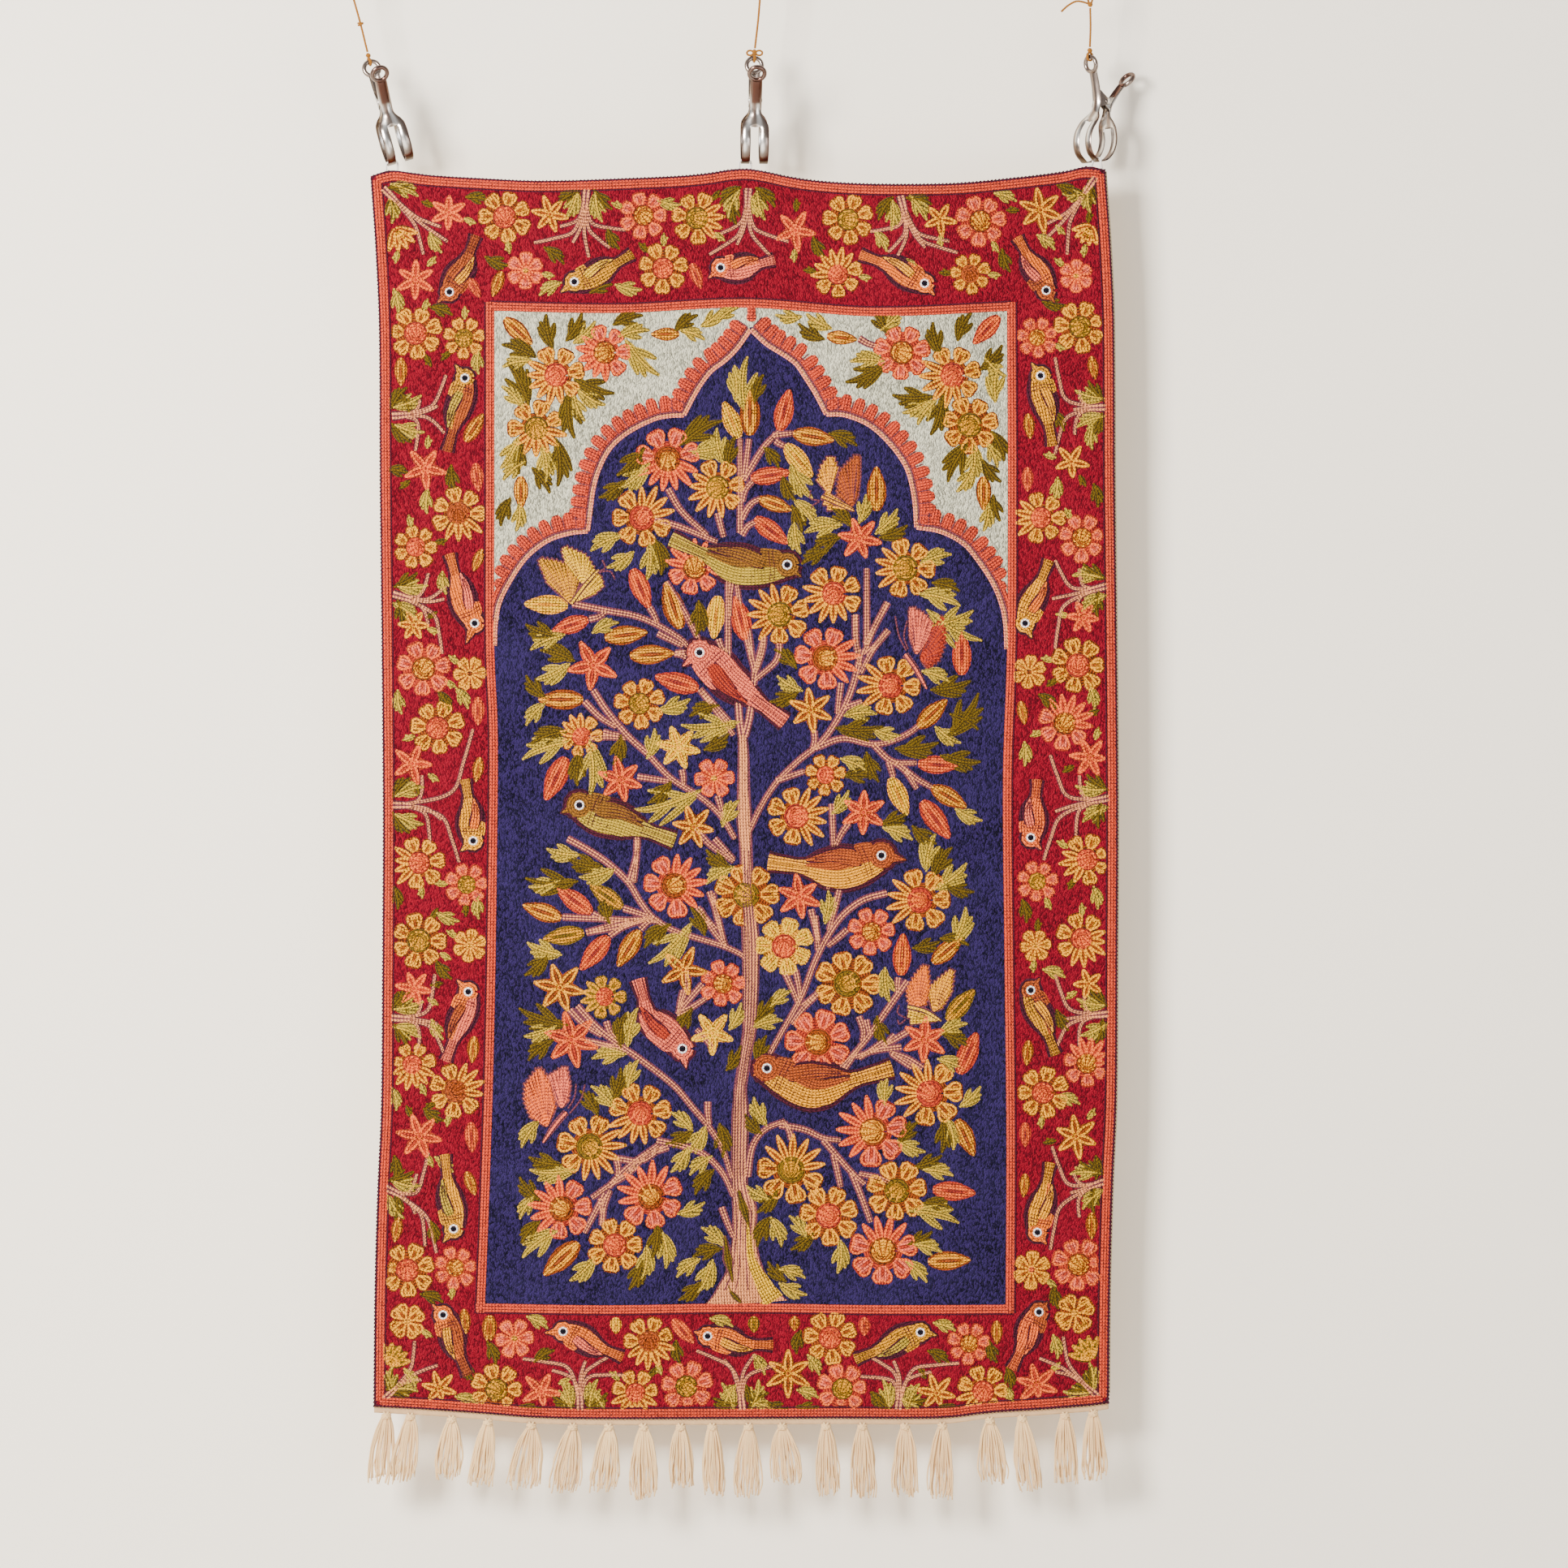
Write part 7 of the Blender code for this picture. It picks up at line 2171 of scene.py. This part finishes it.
def make_ear(side, at_x):
    """A flat ear from the handle's edge to the pin, with its rounded end round it."""
    inset = OUTER_EAR - abs(at_x)
    handle = [(out + EAR_REACH * inset, up) for out, up in EAR_ROOTS]
    rim = [
        (EAR_RADIUS * math.cos(math.radians(a)), EAR_RADIUS * math.sin(math.radians(a)))
        for a in range(90, 271, 10)
    ]
    bpy.ops.mesh.primitive_circle_add(vertices=len(handle) + len(rim), fill_type="NGON")
    made = bpy.context.object
    for vertex, (out, up) in zip(made.data.vertices, rim + handle[::-1]):
        vertex.co = (at_x, side * out, up)
    add_thickness(made, EAR_THICKNESS, 0, EAR_EDGE)
    return made


def make_pin(name):
    """The rivet that the two levers turn on, with a domed head at each end."""
    half = OUTER_EAR + EAR_THICKNESS / 2 + GAP
    deselect()
    bpy.ops.mesh.primitive_cylinder_add(
        vertices=32, radius=PIN_RADIUS, depth=2 * half, rotation=(0, math.radians(90), 0)
    )
    pin = bpy.context.object
    heads = []
    for way in (-1, 1):
        bpy.ops.mesh.primitive_uv_sphere_add(
            segments=32, ring_count=12, radius=PIN_HEAD, location=(way * half, 0, 0)
        )
        head = bpy.context.object
        for vertex in head.data.vertices:
            inside = vertex.co.z < 0
            vertex.co.z *= 0.02 if inside else PIN_HEAD_HEIGHT / PIN_HEAD
        head.data.transform(Matrix.Rotation(math.radians(90 * way), 4, "Y"))
        heads.append(head)
    pick(pin)
    for head in heads:
        head.select_set(True)
    bpy.ops.object.transform_apply(location=True, rotation=True, scale=True)
    join_things(pin, heads)
    pin.name = pin.data.name = name
    return pin


def make_spring(name):
    """The coil round the pin, with a leg behind each handle."""
    reach = SPRING_RADIUS - SPRING_WIRE
    steps = SPRING_TURNS * SPRING_STEPS
    line = []
    for k in range(steps + 1):
        share = k / steps
        angle = math.radians(-45) + share * SPRING_TURNS * 2 * math.pi
        x = (share * 2 - 1) * (SPRING_HALF_LENGTH - SPRING_WIRE)
        line.append(Vector((x, reach * math.cos(angle), reach * math.sin(angle))))
    first = Vector((-SPRING_LEG, -SPRING_LEG_OUT, SPRING_LEG_UP))
    last = Vector((SPRING_LEG, SPRING_LEG_OUT, SPRING_LEG_UP))
    middle = [line[0].lerp(first, 0.25), line[0].lerp(first, 0.6), first]
    ends = [line[-1].lerp(last, 0.25), line[-1].lerp(last, 0.6), last]
    path = smooth_line([*middle[::-1], *line, *ends], 0.9 * MM)
    skin = cord_skin(path, SPRING_WIRE, groove=0.0, around=12)
    return join_skins(name, [skin])


def painted_steel_reflection(point):
    """The painted reflection and painted shade of the plating at a place of the clip, 0 dark to 1
    bright.
    """
    up = point.z / MM
    # Painted shade: the back lever's handle gets one even dark tone
    if point.y > 0 and up > HANDLE_FROM:
        return BACK_HANDLE_PAINTED_SHADE
    half = np.interp(-up, *zip(*LEVER_HALVES))
    share = max(-1.0, min(1.0, point.x / MM / half))
    tones = [float(np.interp(share, PAINTED_REFLECTION_SHARES, tones)) for _, tones in PAINTED_STEEL_REFLECTIONS]
    return float(np.interp(-up, [-level for level, _ in PAINTED_STEEL_REFLECTIONS], tones))


def place_part(thing, at, steel, node):
    """Moves a clip's part from where it is drawn to its place, with its painted reflections, and
    finishes it.
    """
    pick(thing)
    bpy.ops.object.transform_apply(location=True, rotation=True, scale=True)
    write_shade(thing, [painted_steel_reflection(vertex.co) for vertex in thing.data.vertices])
    thing.data.transform(at)
    bpy.ops.object.shade_smooth_by_angle(angle=math.radians(40))
    finish_piece(thing, steel, [node])


def make_clip(place, steel):
    """One spring clip: its back and front levers, the pin and the spring."""
    at = clip_frame(place)
    clip = f"clip_{place.side}"
    for name, side, ear_x in (("back", 1, OUTER_EAR), ("front", -1, INNER_EAR)):
        lever = make_lever(f"{clip}_{name}_lever", side, ear_x)
        place_part(lever, at, steel, f"{clip}_{name}")
    place_part(make_pin(f"{clip}_pin_rivet"), at, steel, f"{clip}_pin")
    place_part(make_spring(f"{clip}_spring_coil"), at, steel, f"{clip}_spring")


def ring_skin(centre, turn, major, radius, squeeze=1.0):
    """A closed ring of twine about the Z axis of turn."""
    ring = []
    for k in range(12):
        angle = k * math.pi / 6
        point = Vector((major * math.cos(angle), major * squeeze * math.sin(angle), 0))
        ring.append(centre + turn @ point)
    return cord_skin(closed_line(ring, 1.0 * MM), radius, closed=True)


def knot_lump(centre, size, draw):
    """A hard knot: turns of twine that cross over one another."""
    skins = []
    for k in range(4):
        spin = Matrix.Rotation(k * math.pi / 4 + draw.uniform(-0.2, 0.2), 3, "Z")
        turn = spin @ Matrix.Rotation(math.radians(55 + 25 * (k % 2)), 3, "X")
        skins.append(ring_skin(centre, turn, size - TWINE, TWINE * 0.95))
    skins.append(ring_skin(centre, Matrix.Identity(3), size * 0.45, TWINE))
    return skins


def tie_places(place):
    """The clip's frame, its back eye's bar, and the way up from it to the nail."""
    at = clip_frame(place)
    tilt = math.atan2(EYE_OUT - LEVER[1][0], EYE_UP - LEVER[1][1])
    bar = Vector((0, EYE_OUT, EYE_UP)) + Vector((0, math.sin(tilt), math.cos(tilt))) * EYE_RADIUS
    up = (place.nail - at @ bar).normalized()
    return at, bar, up


def make_tie(place, twine, draw):
    """The twine's turns through the back lever's eye, with their knot on top."""
    at, bar, up = tie_places(place)
    radius = EYE_BAR + TWINE + 2 * GAP
    turn = (at @ Matrix.Rotation(math.radians(90), 4, "Y")).to_3x3()
    centre = at @ bar
    skins = [ring_skin(centre, turn, radius, TWINE)]
    lean = Matrix.Rotation(math.radians(14), 3, "Z")
    skins.append(ring_skin(centre, lean @ turn, radius, TWINE * 0.9))
    knot = centre + up * (radius + TWINE + 0.4 * KNOT_RADIUS)
    skins += knot_lump(knot, KNOT_RADIUS * 0.95, draw)
    if place.side == "middle":
        flat = Matrix.Rotation(math.radians(90), 3, "X")
        for side in (-1, 1):
            bow = knot + Vector((side * BOW_OUT, -1.0 * MM, -1.5 * MM))
            skins.append(ring_skin(bow, flat, BOW_RADIUS, TWINE * 0.95, squeeze=0.75))
    tie = join_skins(f"tie_{place.side}_twine", skins)
    finish_piece(tie, twine, [f"tie_{place.side}"])
    return knot + up * (KNOT_RADIUS + 2 * GAP)


def make_nail_loop(place, twine, draw):
    """The loop at the top of the twine, with the knot below it."""
    width = NAIL_LOOP_WIDTH
    foot = place.nail - Vector((0, 0, place.twine_top))
    top = place.nail + Vector((0, 0, TWINE))
    half = [(0.30, 0.80), (0.62, 1.0), (0.90, 0.66)]
    left = [foot.lerp(top, share) - Vector((width * w, 0, 0)) for share, w in half]
    right = [foot.lerp(top, share) + Vector((width * w, 0, 0)) for share, w in half[::-1]]
    line = closed_line([foot, *left, top, *right], 1.2 * MM)
    skins = [cord_skin(line, TWINE, closed=True)]
    skins += knot_lump(foot, KNOT_RADIUS * 0.95, draw)
    if place.side == "right":
        tail = [(-0.001, 0, 0.001), (-0.016, -0.002, 0.004), (-0.027, -0.002, -0.001),
                (-0.036, -0.002, -0.009)]
        tail = smooth_line([foot + Vector(point) for point in tail], 1.2 * MM)
        skins.append(cord_skin(tail, TWINE * 0.95))
    loop = join_skins(f"nail_loop_{place.side}_twine", skins)
    finish_piece(loop, twine, [f"nail_loop_{place.side}"])
    return foot - Vector((0, 0, KNOT_RADIUS + 2 * GAP))


def make_string(place, start, end, twine):
    """The taut stretch of twine between the clip's knot and the knot below the nail."""
    middle = start.lerp(end, 0.5) + Vector((TWINE_SAG, 0, 0))
    line = smooth_line([start, middle, end], 1.2 * MM)
    string = join_skins(f"string_{place.side}_twine", [cord_skin(line, TWINE)])
    finish_piece(string, twine, [f"string_{place.side}"])


def make_turn_knot(start, end, twine):
    """The knot part way up the left twine, as turns round it."""
    up = (end - start).normalized()
    middle = start.lerp(end, TURN_SHARE) + Vector((TWINE_SAG, 0, 0))
    turn = up.to_track_quat("Z", "Y").to_matrix()
    major = TWINE + 1.3 * GAP + TURN_WIRE
    skins = []
    for shift, lean in ((-0.8, 12), (0.8, -10)):
        leaned = turn @ Matrix.Rotation(math.radians(lean), 3, "X")
        skins.append(ring_skin(middle + up * shift * MM, leaned, major, TURN_WIRE))
    knot = join_skins("string_knot_left_twine", skins)
    return finish_piece(knot, twine, ["string_knot_left"])


# The stage


def add_area(name, place, aim, size, energy, colour):
    deselect()
    bpy.ops.object.light_add(type="AREA", location=place)
    lamp = bpy.context.object
    lamp.name = name
    lamp.data.shape = "RECTANGLE"
    lamp.data.size, lamp.data.size_y = size
    lamp.data.energy = energy
    lamp.data.color = colour
    lamp.rotation_euler = (Vector(aim) - Vector(place)).to_track_quat("-Z", "Y").to_euler()
    return lamp


def plain_material(name, colour, seen_from_front_only=False):
    made, tree, shader = new_material(name, 0.95)
    cloud = noise(tree, object_place(tree), 0.9, 3.0)
    tint = [value * 0.97 for value in colour]
    feed(tree, shader.inputs["Base Color"], blend_colours(tree, cloud, tint, colour))
    if seen_from_front_only:
        side = add_node(tree, "ShaderNodeNewGeometry").outputs["Backfacing"]
        feed(tree, shader.inputs["Alpha"], calc(tree, "SUBTRACT", 1.0, side))
    return made


CAMERA_PLACE = (0.0292, -9.0, -1.0015)
SENSOR_WIDTH = 36.0
FLOOR_SIZE = 9.0
WALL_SIZE = 7.0


def make_stage(props):
    deselect()
    bpy.ops.mesh.primitive_plane_add(size=1.0)
    floor = bpy.context.object
    floor.name = "floor"
    floor_place = Matrix.Translation((0, -1.0, props.floor_height))
    floor.data.transform(floor_place @ Matrix.Scale(FLOOR_SIZE, 4))
    floor.data.materials.append(plain_material("stage_floor", linear(222, 219, 214)))
    bpy.ops.mesh.primitive_plane_add(size=1.0)
    wall = bpy.context.object
    wall.name = "backdrop"
    upright = Matrix.Rotation(math.radians(90), 4, "X")
    wall_place = Matrix.Translation((0, props.wall_behind, -0.9))
    wall.data.transform(wall_place @ Matrix.Scale(WALL_SIZE, 4) @ upright)
    wall.data.materials.append(plain_material("stage_wall", tuple(props.wall_colour), True))
    wall.visible_shadow = False
    key = add_area("key", (-2.5, -4.0, 0.5), (-0.05, 0.0, -1.0), (1.5, 1.5), props.key_watts,
                   (1.0, 0.985, 0.96))
    fill = add_area("fill", (2.6, -3.4, -1.6), (0.0, 0.0, -1.2), (2.4, 2.4), props.fill_watts,
                    (0.95, 0.97, 1.0))
    back = add_area("back_fill", (0.6, 3.2, 0.4), (0.0, 0.0, -1.0), (2.4, 2.4),
                    props.fill_watts, (1.0, 1.0, 1.0))
    world = bpy.data.worlds.new("soft room")
    world.use_nodes = True
    sky = world.node_tree.nodes["Background"]
    sky.inputs["Color"].default_value = (*linear(236, 236, 238), 1.0)
    sky.inputs["Strength"].default_value = props.room_light
    bpy.context.scene.world = world
    bpy.ops.object.camera_add(location=CAMERA_PLACE, rotation=(math.radians(90), 0, 0))
    camera = bpy.context.object
    camera.data.sensor_width = SENSOR_WIDTH
    camera.data.lens = props.lens
    camera.data.clip_end = 60.0
    bpy.context.scene.camera = camera
    deselect()


# The add-on


class FringeSizes(bpy.types.PropertyGroup):
    yarns: IntProperty(name="Yarns", description="Yarns in a tassel", default=24)
    yarn_radius: FloatProperty(
        name="Yarn radius", description="Half of a yarn's thickness", default=1.25 * MM,
        unit="LENGTH")


class SteelLook(bpy.types.PropertyGroup):
    steel_roughness: FloatProperty(
        name="Roughness", description="How dull the clips' plating is", default=0.2,
        subtype="FACTOR")


class StageSetup(bpy.types.PropertyGroup):
    wall_behind: FloatProperty(
        name="Wall", description="Distance of the backdrop behind the nails", default=0.078,
        unit="LENGTH")
    wall_colour: FloatVectorProperty(
        name="Wall colour", description="Colour of the backdrop", subtype="COLOR",
        default=(0.94, 0.86, 0.735))
    floor_height: FloatProperty(
        name="Floor", description="Height of the floor from the nails", default=-2.12,
        unit="LENGTH")
    key_watts: FloatProperty(
        name="Key light", description="Power of the light from the upper left", default=600.0,
        unit="POWER")
    fill_watts: FloatProperty(
        name="Fill lights", description="Power of each fill light", default=75.0, unit="POWER")
    room_light: FloatProperty(
        name="Room light", description="Strength of the even light of the room", default=0.7)
    lens: FloatProperty(
        name="Lens", description="The camera's focal length in millimetres", default=166.8)


class HangingOperator:
    """What the operators share: they can't be undone step by step, and need the frame."""

    bl_options = {"REGISTER"}

    @staticmethod
    def prepare():
        if "root" not in frame["bodies"]:
            raise RuntimeError("the frame holds no body called root")
        for name, make in (("chain stitch", chain_group), ("ground stitch", ground_group),
                           ("plain weave", weave_group)):
            if name not in bpy.data.node_groups:
                make()


class WALLHANGING_OT_fringe(HangingOperator, bpy.types.Operator):
    """Makes the woven strip below the hem and its knotted tassels"""

    bl_idname = "wallhanging.fringe"
    bl_label = "Fringe"

    def execute(self, context):
        self.prepare()
        strip = make_strip()
        tassels = make_tassels(context.scene.hanging_fringe)
        return {"FINISHED"}


class WALLHANGING_OT_embroidery(HangingOperator, bpy.types.Operator):
    """Makes the stitched ground and the rows of coloured wool on it"""

    bl_idname = "wallhanging.embroidery"
    bl_label = "Embroidered Cloth"

    def execute(self, context):
        self.prepare()
        ground = make_ground()
        make_wools()
        return {"FINISHED"}


class WALLHANGING_OT_backing(HangingOperator, bpy.types.Operator):
    """Makes the cotton cloth sewn behind the embroidery"""

    bl_idname = "wallhanging.backing"
    bl_label = "Backing Cloth"

    def execute(self, context):
        self.prepare()
        make_backing()
        return {"FINISHED"}


class WALLHANGING_OT_loops(HangingOperator, bpy.types.Operator):
    """Makes the three cotton loops that the cloth hangs by"""

    bl_idname = "wallhanging.loops"
    bl_label = "Cotton Loops"

    def execute(self, context):
        self.prepare()
        cotton = cotton_material("loop_cotton")
        for place in CLIPS:
            make_cotton_loop(place, cotton)
        return {"FINISHED"}


class WALLHANGING_OT_clips(HangingOperator, bpy.types.Operator):
    """Makes the three spring clips of bright steel"""

    bl_idname = "wallhanging.clips"
    bl_label = "Spring Clips"

    def execute(self, context):
        self.prepare()
        steel = steel_material(context.scene.hanging_steel)
        for place in CLIPS:
            make_clip(place, steel)
        return {"FINISHED"}


class WALLHANGING_OT_twine(HangingOperator, bpy.types.Operator):
    """Makes the twine: its ties on the clips, its taut stretches and its nail loops"""

    bl_idname = "wallhanging.twine"
    bl_label = "Twine"

    def execute(self, context):
        self.prepare()
        twine = twine_material()
        draw = np.random.default_rng(7)
        for place in CLIPS:
            start = make_tie(place, twine, draw)
            end = make_nail_loop(place, twine, draw)
            carried = [make_turn_knot(start, end, twine)] if place.side == "left" else []
            make_string(place, start, end, twine)
        return {"FINISHED"}


class WALLHANGING_OT_stage(HangingOperator, bpy.types.Operator):
    """Makes the floor, the backdrop, the lights and the camera"""

    bl_idname = "wallhanging.stage"
    bl_label = "Stage and Camera"

    def execute(self, context):
        make_stage(context.scene.hanging_stage)
        return {"FINISHED"}


OPERATORS = [
    WALLHANGING_OT_fringe, WALLHANGING_OT_embroidery, WALLHANGING_OT_backing,
    WALLHANGING_OT_loops, WALLHANGING_OT_clips, WALLHANGING_OT_twine, WALLHANGING_OT_stage,
]


class WALLHANGING_PT_panel(bpy.types.Panel):
    """Lists the hanging's pieces with their sizes and looks"""

    bl_idname = "WALLHANGING_PT_panel"
    bl_label = "Wall Hanging"
    bl_space_type = "VIEW_3D"
    bl_region_type = "UI"
    bl_category = "Wall Hanging"

    def draw(self, context):
        for held in (context.scene.hanging_fringe, context.scene.hanging_steel,
                     context.scene.hanging_stage):
            box = self.layout.box()
            for name in held.__annotations__:
                box.prop(held, name)
        for operator in OPERATORS:
            self.layout.operator(operator.bl_idname)


SETTINGS = [
    ("hanging_fringe", FringeSizes), ("hanging_steel", SteelLook), ("hanging_stage", StageSetup),
]


def register():
    for _, group in SETTINGS:
        bpy.utils.register_class(group)
    for name, group in SETTINGS:
        setattr(bpy.types.Scene, name, PointerProperty(type=group))
    for made in (*OPERATORS, WALLHANGING_PT_panel):
        bpy.utils.register_class(made)


def unregister():
    for made in reversed((*OPERATORS, WALLHANGING_PT_panel)):
        bpy.utils.unregister_class(made)
    for name, group in reversed(SETTINGS):
        delattr(bpy.types.Scene, name)
        bpy.utils.unregister_class(group)


def main():
    register()
    bpy.ops.wallhanging.fringe()
    bpy.ops.wallhanging.embroidery()
    bpy.ops.wallhanging.backing()
    bpy.ops.wallhanging.loops()
    bpy.ops.wallhanging.clips()
    bpy.ops.wallhanging.twine()
    bpy.ops.wallhanging.stage()
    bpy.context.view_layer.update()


if __name__ == "__main__":
    main()
